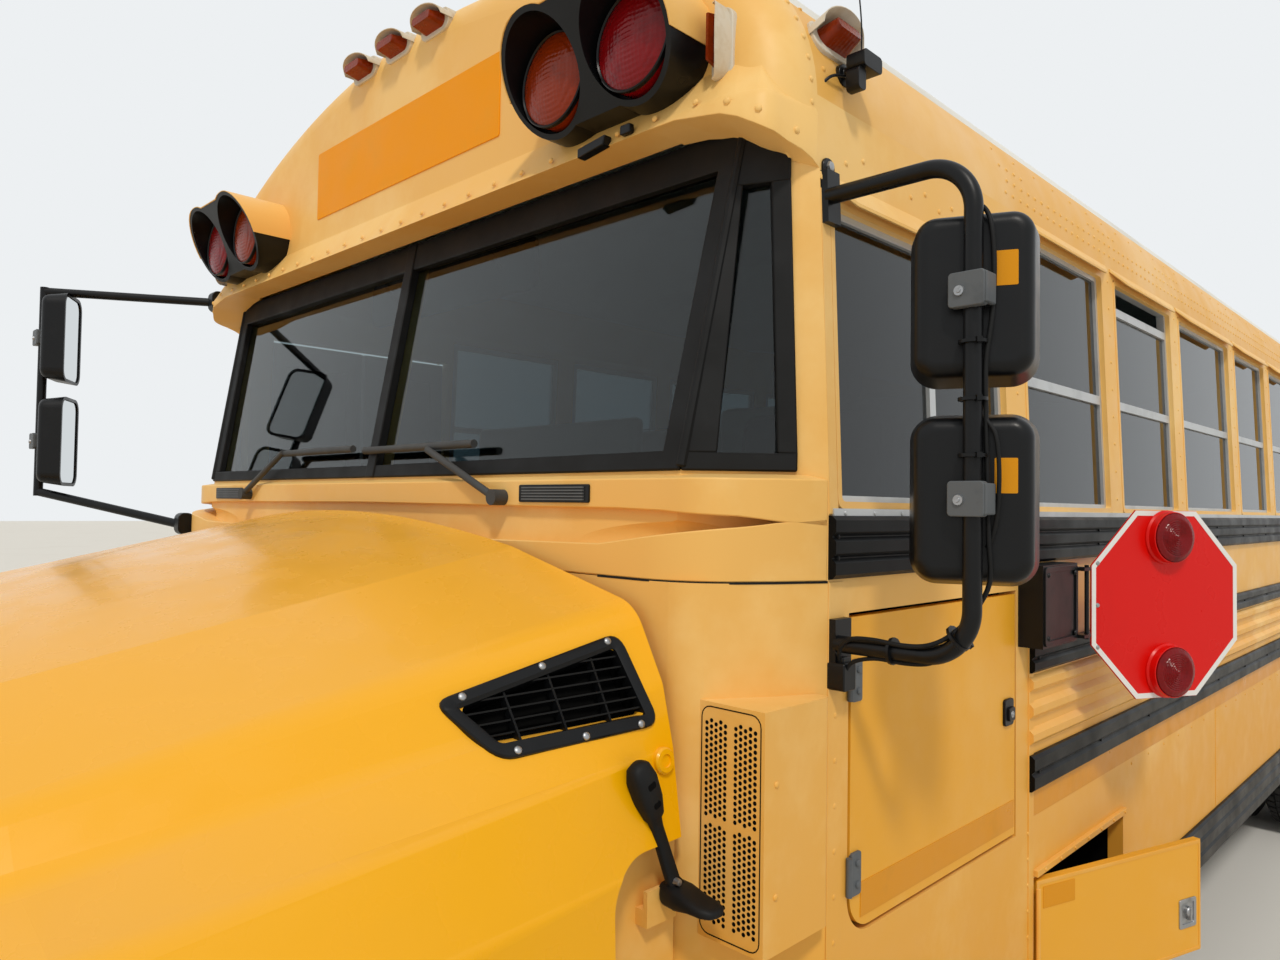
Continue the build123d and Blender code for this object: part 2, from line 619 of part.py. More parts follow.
# Front axle beam with kingpin bosses and leaf springs
with BuildPart() as front_axle:
    block(-KINGPIN_X, KINGPIN_X, FRONT_AXLE_Y - 50, FRONT_AXLE_Y + 50, 430, 540)
    for side in (1, -1):
        rod((side * KINGPIN_X, FRONT_AXLE_Y, 410), (side * KINGPIN_X, FRONT_AXLE_Y, 600), 55)
    leaf_spring(FRONT_AXLE_Y, 700, 530)
    for side in (1, -1):
        pin_x = side * KINGPIN_X
        rod((pin_x, FRONT_AXLE_Y, 400), (pin_x, FRONT_AXLE_Y, 610), 22, mode=Mode.SUBTRACT)
finish(front_axle, "front_axle")

# Rear axle with differential and leaf springs
with BuildPart() as rear_axle:
    section_plane = Plane(origin=(0, REAR_AXLE_Y, TYRE_R), x_dir=(1, 0, 0), z_dir=(0, -1, 0))
    with BuildSketch(section_plane) as half_section:
        with BuildLine():
            Polyline((-900, 0), (-900, 60), (-170, 60), (-60, 195), (60, 195), (170, 60), (900, 60), (900, 0),
                     close=True)
        make_face()
    revolve(half_section.sketch, axis=Axis((0, REAR_AXLE_Y, TYRE_R), (1, 0, 0)))
    leaf_spring(REAR_AXLE_Y, 720, TYRE_R + 40)
finish(rear_axle, "rear_axle")

with BuildPart() as driveshaft:
    rod((0, -3777, 760), (0, REAR_AXLE_Y - 200, 540), 45)
finish(driveshaft, "driveshaft")

with BuildPart() as fuel_tank:
    block(-330, 330, 3000, 4250, 540, RAIL_TOP_Z - 140)
    fillet(fuel_tank.edges().filter_by(Axis.Y), radius=60)
finish(fuel_tank, "fuel_tank")

with BuildPart() as exhaust_pipe:
    rod((-520, -2480, 780), (-520, 5100, 780), 40)
    rod((-520, -1900, 780), (-520, -900, 780), 84)
finish(exhaust_pipe, "exhaust_pipe")


def make_knuckle(side):
    """Steering knuckle: two lugs on the kingpin, its upright and the wheel spindle."""
    with BuildPart() as knuckle:
        pin_x = side * KINGPIN_X
        rod((pin_x, FRONT_AXLE_Y, 350), (pin_x, FRONT_AXLE_Y, 660), 20)
        for low in (350, 608):
            near, far = sorted((pin_x - side * 45, pin_x + side * 90))
            block(near, far, FRONT_AXLE_Y - 45, FRONT_AXLE_Y + 45, low, low + 52)
        near, far = sorted((pin_x + side * 64, pin_x + side * 90))
        block(near, far, FRONT_AXLE_Y - 45, FRONT_AXLE_Y + 45, 350, 660)
        rod((pin_x + side * 80, FRONT_AXLE_Y, TYRE_R), (side * 1085, FRONT_AXLE_Y, TYRE_R), 38)
    return knuckle


knuckle_left = make_knuckle(1)
knuckle_right = make_knuckle(-1)
finish(knuckle_left, "knuckle_left")
finish(knuckle_right, "knuckle_right")


# Tyre stations round its section: distance from the middle of the tread, radius; the outline has flat sides
TYRE_SIDES = 48
BORE_R = RIM_R / cos(radians(180 / TYRE_SIDES))
TYRE_STATIONS = (
    (-118, BORE_R), (-139, 372), (-136, 440), (-112, 492), (-84, TYRE_R),
    (84, TYRE_R), (112, 492), (136, 440), (139, 372), (118, BORE_R),
)


def tyre_point(x, y, station, step):
    """Corner of the tyre's surface at one station and one step round the axle."""
    offset_x, radius = station
    angle = radians(360 / TYRE_SIDES * step)
    return (x + offset_x, y + radius * cos(angle), TYRE_R + radius * sin(angle))


def tyre_solid(x, y):
    """Tyre about an axle point: flat four-cornered faces from station to station, open for the rim."""
    faces = []
    for near, far in zip(TYRE_STATIONS, TYRE_STATIONS[1:] + TYRE_STATIONS[:1]):
        for step in range(TYRE_SIDES):
            corners = [tyre_point(x, y, near, step), tyre_point(x, y, far, step),
                       tyre_point(x, y, far, step + 1), tyre_point(x, y, near, step + 1)]
            faces.append(Face(Wire.make_polygon(corners)))
    return Solid(Shell(faces))


HAND_HOLES = 5
HAND_HOLES_R = 212
HAND_HOLE_R = 28
DISC_THICK = 14
DISC_FLAT_R = 165
HUB_R = 108


def wheel_profile(x, y, side, edge, flat, hub, bore):
    """Wheel about an axle point: barrel, disc dished from its edge to its flat, and hub, as distances out."""
    half = TYRE_WIDTH / 2 - 22
    with BuildSketch(Plane(origin=(x, y, TYRE_R), x_dir=(1, 0, 0), z_dir=(0, -1, 0))) as section:
        rect(-half, half, RIM_R - 14, RIM_R)
        with BuildLine():
            Polyline((side * edge, RIM_R - 10), (side * (edge + DISC_THICK), RIM_R - 10),
                     (side * (flat + DISC_THICK), DISC_FLAT_R), (side * (flat + DISC_THICK), bore),
                     (side * flat, bore), (side * flat, DISC_FLAT_R), close=True)
        make_face()
        if hub:
            near, far = sorted((side * hub[0], side * hub[1]))
            rect(near, far, bore, HUB_R)
    revolve(section.sketch, axis=Axis((x, y, TYRE_R), (1, 0, 0)))
    with BuildSketch(Plane(origin=(x + side * edge, y, TYRE_R), x_dir=(0, 1, 0), z_dir=(1, 0, 0))) as holes:
        with PolarLocations(HAND_HOLES_R, HAND_HOLES):
            Circle(HAND_HOLE_R)
    extrude(holes.sketch, amount=90, both=True, mode=Mode.SUBTRACT)


def make_front_wheel(side):
    """Front disc wheel and, apart from it, its tyre."""
    with BuildPart() as rim:
        wheel_profile(side * FRONT_TRACK_X, FRONT_AXLE_Y, side, 24, 70, (30, 150), 44)
    with BuildPart() as tyre:
        add(tyre_solid(side * FRONT_TRACK_X, FRONT_AXLE_Y))
    return rim, tyre


def make_rear_wheels(side):
    """Twin rear wheels joined at their discs, and the two tyres."""
    half_space = (DUAL_OUTER_X - DUAL_INNER_X) / 2
    with BuildPart() as rims:
        wheel_profile(side * DUAL_OUTER_X, REAR_AXLE_Y, side, -100, -half_space, (-half_space - 60, 110), 66)
        wheel_profile(side * DUAL_INNER_X, REAR_AXLE_Y, -side, -100, -half_space, None, 66)
    with BuildPart() as tyres:
        add(tyre_solid(side * DUAL_OUTER_X, REAR_AXLE_Y))
        add(tyre_solid(side * DUAL_INNER_X, REAR_AXLE_Y))
    return rims, tyres


for side, name in ((1, "left"), (-1, "right")):
    rim, tyre = make_front_wheel(side)
    finish(rim, f"wheel_front_{name}")
    finish(tyre, f"tyre_front_{name}")
    rims, tyres = make_rear_wheels(side)
    finish(rims, f"wheels_rear_{name}")
    finish(tyres, f"tyres_rear_{name}")

# Bumpers
with BuildPart() as front_bumper:
    with BuildSketch(Plane.XY.offset(480)):
        with BuildLine():
            Polyline((-1190, -5215), (-800, BUMPER_FRONT_Y), (800, BUMPER_FRONT_Y), (1190, -5215),
                     (1180, -5205), (796, BUMPER_FRONT_Y + 12), (-796, BUMPER_FRONT_Y + 12), (-1180, -5205),
                     close=True)
        make_face()
    extrude(amount=290)
    for side in (1, -1):
        near, far = sorted((side * 350, side * 430))
        block(near, far, BUMPER_FRONT_Y + 10, BUMPER_FRONT_Y + 25, 690, 765)
finish(front_bumper, "front_bumper")

with BuildPart() as rear_bumper:
    with BuildSketch(Plane.XY.offset(440)):
        with BuildLine():
            Polyline((-1200, REAR_Y), (-1200, 5285), (-1140, BUMPER_REAR_Y), (1140, BUMPER_REAR_Y),
                     (1200, 5285), (1200, REAR_Y), (1188, REAR_Y), (1188, 5280), (1135, BUMPER_REAR_Y - 12),
                     (-1135, BUMPER_REAR_Y - 12), (-1188, 5280), (-1188, REAR_Y), close=True)
        make_face()
    extrude(amount=250)
finish(rear_bumper, "rear_bumper")

# Hood: half sections from the centre line out and down, at places along the bus
HOOD_COLUMNS = ("crown", "crease", "shoulder", "valley", "ridge", "side", "foot")
HOOD_RADII = (0, 0, 80, 60, 60, 50, 0)
HOOD_SECTIONS = {
    # y: (x, z) of each column above
    -3615: ((0, 1800), (685, 1742), (1012, 1662), (1076, 1545), (1100, 1450), (1122, 1300), (1150, 640)),
    -4425: ((0, 1630), (615, 1570), (862, 1482), (925, 1415), (1082, 1388), (1180, 1275), (1190, 640)),
    -4845: ((0, 1520), (565, 1468), (760, 1395), (815, 1335), (1000, 1305), (1140, 1205), (1175, 640)),
    -5110: ((0, 1425), (515, 1385), (668, 1325), (735, 1278), (905, 1240), (1040, 1135), (1085, 640)),
    -5145: ((0, 1390), (500, 1350), (640, 1295), (705, 1250), (875, 1210), (1005, 1110), (1050, 640)),
}


def hood_section(points, inset, y):
    """Hood's closed cross-section at y, moved in by inset."""
    half = []
    for x, z in points[1:]:
        half.append((x - inset, z - inset))
    half[-1] = (half[-1][0], points[-1][1] - abs(inset))
    mirrored = [(-x, z) for x, z in reversed(half)]
    radii = HOOD_RADII[1:]
    inner_radii = list(radii[1:-1])
    with BuildSketch(cross_plane(y)) as section:
        with BuildLine():
            ThreePointArc(mirrored[-1], (0, points[0][1] - inset), half[0])
            FilletPolyline(*half, radius=inner_radii)
            Line(half[-1], mirrored[0])
            FilletPolyline(*mirrored, radius=list(reversed(inner_radii)))
        make_face()
    return section.sketch


def hood_body(inset):
    """Solid of the hood's outer form moved in by inset."""
    with BuildPart() as form:
        loft([hood_section(points, inset, y) for y, points in HOOD_SECTIONS.items()], ruled=True)
        if inset > 0:
            block(-1300, 1300, -5200, HOOD_FRONT_Y + inset, 0, 2500, mode=Mode.SUBTRACT)
    return form.part


# Side vent outline in Y and Z, with its slats, and the openings in the nose: near, far, low, high
VENT = ((-3965, 1548), (-3662, 1622), (-3637, 1486), (-3905, 1472))
VENT_BORDER = 24
VENT_SLATS = 7
VENT_UPRIGHTS = (-3870, -3790, -3710)
SLAT = 9
GRILLE = (-400, 400, 910, 1270)
HEADLAMP = (600, 860, 985, 1150)
TURN_LAMP = (885, 975, 985, 1130)


def vent_face(shrink, x):
    """Vent's outline, shrunk towards its middle, on an upright plane along the bus."""
    with BuildSketch(side_plane(x)) as face:
        with BuildLine():
            FilletPolyline(*VENT, radius=26, close=True)
        make_face()
        if shrink:
            offset(amount=-shrink, mode=Mode.REPLACE)
    return face.sketch


def slat_face(x):
    """Vent's slats and uprights on an upright plane along the bus, wider than the vent."""
    with BuildSketch(side_plane(x)) as face:
        for slat in range(VENT_SLATS):
            low = 1478 + slat * 19
            rect(-3990, -3620, low, low + SLAT)
        for upright in VENT_UPRIGHTS:
            rect(upright, upright + 7, 1465, 1630)
    return face.sketch


outer_form = hood_body(0)
with BuildPart() as hood:
    add(outer_form)
    add(hood_body(HOOD_SKIN), mode=Mode.SUBTRACT)
    block(-1300, 1300, -6000, -3000, 0, SKIRT_Z + 20, mode=Mode.SUBTRACT)
    block(-1300, 1300, -6000, -4960, 0, HOOD_PIVOT_Z + 20, mode=Mode.SUBTRACT)
    with BuildSketch(side_plane(-1300)):
        rect(HOOD_LOWER_REAR_Y - 22, -3000, 0, 1320)
        fillet(vertices().filter_by_position(Axis.Y, 1319, 1321).sort_by(Axis.X)[0], radius=70)
    extrude(amount=2600, mode=Mode.SUBTRACT)
    with BuildSketch(side_plane(-1300)):
        with Locations((FRONT_AXLE_Y, TYRE_R)):
            Circle(ARCH_R)
    extrude(amount=2600, mode=Mode.SUBTRACT)
    for side in (1, -1):
        extrude(vent_face(VENT_BORDER - 6, side * 900), amount=side * 400, mode=Mode.SUBTRACT)
    with BuildSketch(cross_plane(HOOD_FRONT_Y + 100)):
        rect(*GRILLE)
        for side in (1, -1):
            for lamp in (HEADLAMP, TURN_LAMP):
                near, far = sorted((side * lamp[0], side * lamp[1]))
                rect(near, far, lamp[2], lamp[3])
    extrude(amount=300, mode=Mode.SUBTRACT)
finish(hood, "hood")

with BuildPart() as vent_rings:
    for side in (1, -1):
        extrude(vent_face(0, side * 900), amount=side * 400)
        extrude(vent_face(VENT_BORDER, side * 890), amount=side * 420, mode=Mode.SUBTRACT)

with BuildPart() as vent_slats:
    for side in (1, -1):
        extrude(slat_face(side * 890), amount=side * 420)

with BuildPart() as vent_openings:
    for side in (1, -1):
        extrude(vent_face(VENT_BORDER - 6, side * 900), amount=side * 400)

proud_form = hood_body(-6)
with BuildPart() as frame_skin:
    add(proud_form)
    add(outer_form, mode=Mode.SUBTRACT)
    add(vent_rings.part, mode=Mode.INTERSECT)

with BuildPart() as slat_skin:
    add(hood_body(-1))
    add(hood_body(HOOD_SKIN), mode=Mode.SUBTRACT)
    add(vent_openings.part, mode=Mode.INTERSECT)
    add(vent_slats.part, mode=Mode.INTERSECT)

with BuildPart() as hood_grilles:
    block(GRILLE[0], GRILLE[1], HOOD_FRONT_Y, HOOD_FRONT_Y + 30, GRILLE[2], GRILLE[3])
    for row in range(6):
        low = GRILLE[2] + 22 + row * 54
        block(GRILLE[0] + 25, GRILLE[1] - 25, HOOD_FRONT_Y - 1, HOOD_FRONT_Y + 31, low, low + 38,
              mode=Mode.SUBTRACT)
    add(frame_skin.part)
    add(slat_skin.part)
finish(hood_grilles, "hood_grilles")

with BuildPart() as headlamps:
    for side in (1, -1):
        near, far = sorted((side * HEADLAMP[0], side * HEADLAMP[1]))
        block(near, far, HOOD_FRONT_Y + 2, HOOD_FRONT_Y + 80, HEADLAMP[2], HEADLAMP[3])
        near, far = sorted((side * TURN_LAMP[0], side * TURN_LAMP[1]))
        block(near, far, HOOD_FRONT_Y + 2, HOOD_FRONT_Y + 50, TURN_LAMP[2], TURN_LAMP[3])
finish(headlamps, "headlamps")

# Rubber pull-down latches at the hood's rear corners: outline along the bus, then the grip
LATCH_X = 1118
LATCH_OUTLINE = ((-3722, 1445), (-3690, 1452), (-3612, 1262), (-3600, 1228), (-3650, 1222), (-3662, 1262))
with BuildPart() as hood_latches:
    for side in (1, -1):
        with BuildSketch(side_plane(side * LATCH_X)) as strap:
            with BuildLine():
                FilletPolyline(*LATCH_OUTLINE, radius=8, close=True)
            make_face()
        extrude(strap.sketch, amount=side * 15)
        near, far = sorted((side * 1085, side * (LATCH_X + 2)))
        block(near, far, -3725, -3680, 1400, 1440)
        near, far = sorted((side * (LATCH_X + 10), side * 1186))
        block(near, far, -3652, -3604, 1226, 1250)
    add(outer_form, mode=Mode.SUBTRACT)
finish(hood_latches, "hood_latches")

# Warning lamps in hooded pairs at both ends, tail lamps, and marker lamps on the cap and roof
LAMP_R = 89
LAMPS_X = (725, 940)
LAMP_ROWS = (
    # wall face, direction it faces, lamp height
    (CAP_FACE_Y, -1, 2630),
    (REAR_Y, 1, 2670),
)
LAMP_BACK = 50
LENS_THICK = 38
VISOR_TOP = 170
VISOR_LOW = 62
TAIL_Z = 1500
TAILS_X = (740, 950)
MARKER_RISE = 45
ID_LAMPS = ((-170, 2976), (0, 2978), (170, 2976))
ROOF_MARKER_Y = (-3300, 5060)


def facing_plane(y, way):
    """Upright plane across the bus at y that faces forward or to the rear, drawn in X and Z."""
    return Plane(origin=(0, y, 0), x_dir=(-way, 0, 0), z_dir=(0, way, 0))


def disc_face(y, way, x, z, radius):
    """Round face on an upright plane across the bus."""
    with BuildSketch(facing_plane(y, way)) as face:
        with Locations((-way * x, z)):
            Circle(radius)
    return face.sketch


def visor_mouth(face_y, way, z):
    """Slanted space in front of a pair of lamps, deep at the bottom."""
    with BuildSketch(side_plane(-1200)) as face:
        with BuildLine():
            Polyline((face_y + way * (VISOR_TOP + 2), z + 115), (face_y + way * (VISOR_TOP + 40), z + 115),
                     (face_y + way * (VISOR_TOP + 40), z - 115), (face_y + way * VISOR_LOW, z - 115),
                     close=True)
        make_face()
    return face.sketch


with BuildPart() as lamp_hoods:
    for face_y, way, z in LAMP_ROWS:
        with BuildSketch(facing_plane(face_y, way)) as outline:
            for side in (1, -1):
                near, far = sorted((side * LAMPS_X[0], side * LAMPS_X[1]))
                rect(near, far, z - 96, z + 96)
                for x in LAMPS_X:
                    with Locations((side * x, z)):
                        Circle(LAMP_R + 18)
        extrude(outline.sketch, amount=VISOR_TOP)
        for side in (1, -1):
            for x in LAMPS_X:
                bore = disc_face(face_y + way * LAMP_BACK, way, side * x, z, LAMP_R + 8)
                extrude(bore, amount=VISOR_TOP, mode=Mode.SUBTRACT)
        extrude(visor_mouth(face_y, way, z), amount=2400, mode=Mode.SUBTRACT)
    add(front_cap.part, mode=Mode.SUBTRACT)
finish(lamp_hoods, "lamp_hoods")


def marker_dome(plane, width, height):
    """Small tapered marker lens standing on a plane, sunk a little below it."""
    with BuildPart() as dome:
        with BuildSketch(plane.offset(-14)):
            RectangleRounded(width, height, min(width, height) * 0.45)
        extrude(amount=MARKER_RISE + 14, taper=12)
    return dome.part


def shoulder_plane(side, y):
    """Plane on the roof's shoulder, facing out and up from it."""
    lift = radians(22)
    normal = Vector(side * cos(lift), 0, sin(lift))
    centre = Vector(side * SHOULDER_X, y, SHOULDER_Z) + normal * SHOULDER_R
    return Plane(origin=centre, x_dir=(0, side, 0), z_dir=normal)


with BuildPart() as amber_lenses:
    for face_y, way, z in LAMP_ROWS:
        for side in (1, -1):
            lens = disc_face(face_y + way * LAMP_BACK, way, side * LAMPS_X[0], z, LAMP_R)
            extrude(lens, amount=LENS_THICK)
    for side in (1, -1):
        extrude(disc_face(REAR_Y, 1, side * TAILS_X[1], TAIL_Z, LAMP_R), amount=34)
        add(marker_dome(shoulder_plane(side, ROOF_MARKER_Y[0]), 96, 46))
        add(marker_dome(facing_plane(CAP_FACE_Y, -1).shift_origin((side * 1072, CAP_FACE_Y, 2605)), 30, 104))
    for x, z in ID_LAMPS:
        add(marker_dome(facing_plane(CAP_FACE_Y, -1).shift_origin((x, CAP_FACE_Y, z)), 100, 44))
    add(front_cap.part, mode=Mode.SUBTRACT)
    add(roof.part, mode=Mode.SUBTRACT)
finish(amber_lenses, "amber_lenses")

with BuildPart() as red_lenses:
    for face_y, way, z in LAMP_ROWS:
        for side in (1, -1):
            lens = disc_face(face_y + way * LAMP_BACK, way, side * LAMPS_X[1], z, LAMP_R)
            extrude(lens, amount=LENS_THICK)
    for side in (1, -1):
        extrude(disc_face(REAR_Y, 1, side * TAILS_X[0], TAIL_Z, LAMP_R), amount=34)
        add(marker_dome(shoulder_plane(side, ROOF_MARKER_Y[1]), 96, 46))
    for x, z in ID_LAMPS:
        add(marker_dome(facing_plane(REAR_Y, 1).shift_origin((x, REAR_Y, 2945)), 100, 44))
    add(roof.part, mode=Mode.SUBTRACT)
    add(rear_wall.part, mode=Mode.SUBTRACT)
finish(red_lenses, "red_lenses")

# Mirrors on their poles: the driver's pole is one bent tube, the passenger's three straight ones
MIRROR_POLE = (1457, -3362)
PASSENGER_POLE = (-1545, -3915)
TUBE_R = 14
BEND_R = 75
HEAD_DEPTH = 76


def mirror_head(x, y, z, width, height, turn):
    """Rounded housing behind its pole, turned towards the driver, with a shallow seat for the glass."""
    with BuildPart() as head:
        with BuildSketch(Plane(origin=(x, y + 12 + HEAD_DEPTH, z), x_dir=(1, 0, 0), z_dir=(0, -1, 0))):
            RectangleRounded(width, height, 42)
        extrude(amount=HEAD_DEPTH, taper=9)
        fillet(head.faces().sort_by(Axis.Y)[0].edges(), radius=22)
        with BuildSketch(Plane(origin=(x, y + 12 + HEAD_DEPTH, z), x_dir=(1, 0, 0), z_dir=(0, -1, 0))):
            RectangleRounded(width - 20, height - 20, 32)
        extrude(amount=8, mode=Mode.SUBTRACT)
    return head.part.rotate(Axis((x, y, z), (0, 0, 1)), turn)


with BuildPart() as driver_mirrors:
    px, py = MIRROR_POLE
    with BuildLine() as bent:
        FilletPolyline((1206, py, 2345), (px, py, 2345), (px, py, 1600), (HALF_WIDTH + 10, py, 1600),
                       radius=BEND_R)
    with BuildSketch(Plane(origin=(1206, py, 2345), x_dir=(0, 1, 0), z_dir=(1, 0, 0))) as tube:
        Circle(TUBE_R)
    sweep(tube.sketch, path=bent.wire())
    with BuildSketch(wall_plane(1, 0)):
        rect(SEAM_Y + 2, SEAM_Y + 40, 2300 - SILL_Z, 2390 - SILL_Z)
    extrude(amount=14)
    block(HALF_WIDTH, HALF_WIDTH + 14, SEAM_Y + 2, SEAM_Y + 50, 1565, 1640)
    for z in (2145, 1838):
        add(mirror_head(px, py, z, 190, 265, 24))
        block(px - 25, px + 25, py - 22, py + 22, z - 22, z + 22)
finish(driver_mirrors, "driver_mirrors")

with BuildPart() as passenger_mirrors:
    px, py = PASSENGER_POLE
    rod((px, py, 1826), (px, py, 2534), TUBE_R)
    rod((px, py, 2520), (-1205, -3490, 2505), TUBE_R)
    rod((px, py, 1840), (-1110, -3610, 1740), TUBE_R)
    for z in (2360, 2010):
        add(mirror_head(px, py, z, 190, 300, -28))
        block(px - 25, px + 25, py - 22, py + 22, z - 22, z + 22)
finish(passenger_mirrors, "passenger_mirrors")

# Passenger benches on their legs, with a barrier ahead of the first row; driver's seat and dashboard
FIRST_ROW_Y = -2250
AISLE_HALF = 180
BENCH_WIDTH = 960
BARRIER_Y = -2420
BENCH_OUTLINE = ((0, 330), (390, 310), (400, 420), (470, 1030), (555, 1030), (490, 290), (0, 230))
with BuildPart() as benches:
    for side in (1, -1):
        with BuildSketch(side_plane(side * AISLE_HALF)):
            for row in range(WINDOW_COUNT):
                y = FIRST_ROW_Y + row * PITCH
                with BuildLine():
                    points = [(y + run, FLOOR_TOP_Z + rise) for run, rise in BENCH_OUTLINE]
                    FilletPolyline(*points, radius=24, close=True)
                make_face()
            rect(BARRIER_Y, BARRIER_Y + 45, FLOOR_TOP_Z + 200, FLOOR_TOP_Z + 1000)
        extrude(amount=side * BENCH_WIDTH)
        near, far = sorted((side * (AISLE_HALF + 145), side * (AISLE_HALF + 175)))
        block(near, far, BARRIER_Y + 8, BARRIER_Y + 38, FLOOR_TOP_Z, FLOOR_TOP_Z + 210)
        for row in range(WINDOW_COUNT):
            y = FIRST_ROW_Y + row * PITCH
            for foot_y in (y + 60, y + 400):
                block(near, far, foot_y - 15, foot_y + 15, FLOOR_TOP_Z, FLOOR_TOP_Z + 290)
finish(benches, "benches")

with BuildPart() as driver_seat:
    block(370, 870, -2950, -2480, 1530, 1650)
    block(370, 870, -2580, -2470, 1640, 2250)
    block(470, 770, -2880, -2560, FLOOR_TOP_Z, 1530)
finish(driver_seat, "driver_seat")

STEERING_R = 230
with BuildPart() as dashboard:
    with BuildSketch(Plane.XY.offset(1420)):
        with BuildLine():
            Polyline((1005, -3492), (1088, -3415), (1088, -3300), (-1088, -3300), (-1088, -3415),
                     (-1005, -3492), close=True)
        make_face()
    extrude(amount=360)
    rod((600, -3310, 1560), (600, -3150, 1700), 30)
    wheel_plane = Plane(origin=(600, -3148, 1702), x_dir=(1, 0, 0), z_dir=(0, 0.75, 0.66))
    with BuildSketch(wheel_plane) as rim_face:
        RegularPolygon(STEERING_R, 32)
        RegularPolygon(STEERING_R - 30, 32, mode=Mode.SUBTRACT)
        Rectangle(2 * STEERING_R - 30, 40)
    extrude(rim_face.sketch, amount=26)
finish(dashboard, "dashboard")


# Wipers: pivot place, arm tip and blade ends across the windshield's plane
WIPER_ROWS = {
    "wiper_left": ((570, 1834), (281, 1940), (-20, 447), 1948),
    "wiper_right": ((-684, 1840), (-479, 1958), (-500, -83), 1955),
}
RAKE = atan2(3530 - 3419, 2485 - 1877)


def glass_y(z, proud):
    """Y of the windshield's outer face at a height, moved forward by proud."""
    return -3530 + (z - 1877) * tan(RAKE) - proud


def make_wiper(pivot, tip, ends, blade_z):
    """Wiper arm from its pivot boss to the blade."""
    with BuildPart() as wiper:
        px, pz = pivot
        tx, tz = tip
        rod((px, glass_y(pz, 0), pz), (px, glass_y(pz, 45), pz), 16)
        rod((px, glass_y(pz, 36), pz), (tx, glass_y(tz, 30), tz), 8)
        rod((ends[0], glass_y(blade_z, 22), blade_z), (ends[1], glass_y(blade_z, 22), blade_z), 9)
    return wiper


for name, row in WIPER_ROWS.items():
    finish(make_wiper(*row), name)


def make_entrance_leaf(front, rear):
    """Glazed entrance leaf between two places along the bus, in the right side's plane."""
    with BuildPart() as leaf:
        with BuildSketch(side_plane(-HALF_WIDTH)):
            rect(front, rear, ENTRANCE[2], ENTRANCE[3] - DOOR_GAP)
            rect(front + 55, rear - 55, 560, 1300, mode=Mode.SUBTRACT)
            rect(front + 55, rear - 55, 1380, 2310, mode=Mode.SUBTRACT)
        extrude(amount=35)
        with BuildSketch(side_plane(-HALF_WIDTH + 14)):
            rect(front + 55, rear - 55, 560, 1300)
            rect(front + 55, rear - 55, 1380, 2310)
        extrude(amount=6)
    return leaf


ENTRANCE_MIDDLE = (ENTRANCE[0] + ENTRANCE[1]) / 2
MEETING_GAP = 7
finish(make_entrance_leaf(ENTRANCE[0] + DOOR_GAP, ENTRANCE_MIDDLE - MEETING_GAP), "entrance_leaf_front")
finish(make_entrance_leaf(ENTRANCE_MIDDLE + MEETING_GAP, ENTRANCE[1] - DOOR_GAP), "entrance_leaf_rear")

# Rear emergency door
with BuildPart() as rear_door:
    with BuildSketch(cross_plane(REAR_Y)):
        rect(-REAR_DOOR_HALF, REAR_DOOR_HALF, REAR_DOOR_Z[0] + DOOR_GAP, REAR_DOOR_Z[1] - DOOR_GAP)
        rect(-REAR_DOOR_HALF + 90, REAR_DOOR_HALF - 90, 1850, REAR_DOOR_Z[1] - 100, mode=Mode.SUBTRACT)
    extrude(amount=45)
    with BuildSketch(cross_plane(REAR_Y - 18)):
        rect(-REAR_DOOR_HALF + 90, REAR_DOOR_HALF - 90, 1850, REAR_DOOR_Z[1] - 100)
    extrude(amount=6)
finish(rear_door, "rear_door")

# Electrical door, closed; battery door, standing open; stop sign, standing out
with BuildPart() as electrical_door:
    front, rear, low, high = ELECTRICAL_DOOR
    panel = door_face(HALF_WIDTH - 20, front + DOOR_GAP, rear - DOOR_GAP, low + DOOR_GAP, high - DOOR_GAP,
                      DOOR_CORNER_R - DOOR_GAP)
    extrude(panel, amount=20)
finish(electrical_door, "electrical_door")


def swung_plane(pin_x, pin_y, angle):
    """Upright plane through a hinge pin, turned outward from the side by angle; drawn in run and Z."""
    turn = radians(angle)
    return Plane(origin=(pin_x, pin_y, 0), x_dir=(sin(turn), cos(turn), 0), z_dir=(cos(turn), -sin(turn), 0))


battery_pin = (HALF_WIDTH + PIN_OUT, BATTERY_DOOR[0])
with BuildPart() as battery_door:
    with BuildSketch(swung_plane(*battery_pin, BATTERY_REST).offset(-PIN_OUT)):
        front, rear, low, high = BATTERY_DOOR
        rect(DOOR_GAP, rear - front - DOOR_GAP, low + DOOR_GAP, high - DOOR_GAP)
    extrude(amount=-18)
finish(battery_door, "battery_door")

with BuildPart() as battery_tray:
    tray_front, tray_rear = BATTERY_DOOR[0] - 20, BATTERY_DOOR[1] + 20
    block(600, HALF_WIDTH - WALL, tray_front, tray_rear, 660, 680)
    block(600, 615, tray_front, tray_rear, 680, RAIL_TOP_Z)
    for y in (tray_front, tray_rear - 15):
        block(600, HALF_WIDTH - WALL, y, y + 15, 680, RAIL_TOP_Z)
    block(660, 1020, -2470, -2220, 680, 900)
    block(660, 1020, -2170, -1920, 680, 900)
finish(battery_tray, "battery_tray")

with BuildPart() as stop_arm_box:
    block(HALF_WIDTH, HALF_WIDTH + 55, -2605, -2395, 1518, 1702)
    for z in (1525, 1683):
        block(HALF_WIDTH + 45, 1292, -2400, -2358, z, z + 8)
    rod((1285, -2365, 1520), (1285, -2365, 1696), 5)
finish(stop_arm_box, "stop_arm_box")

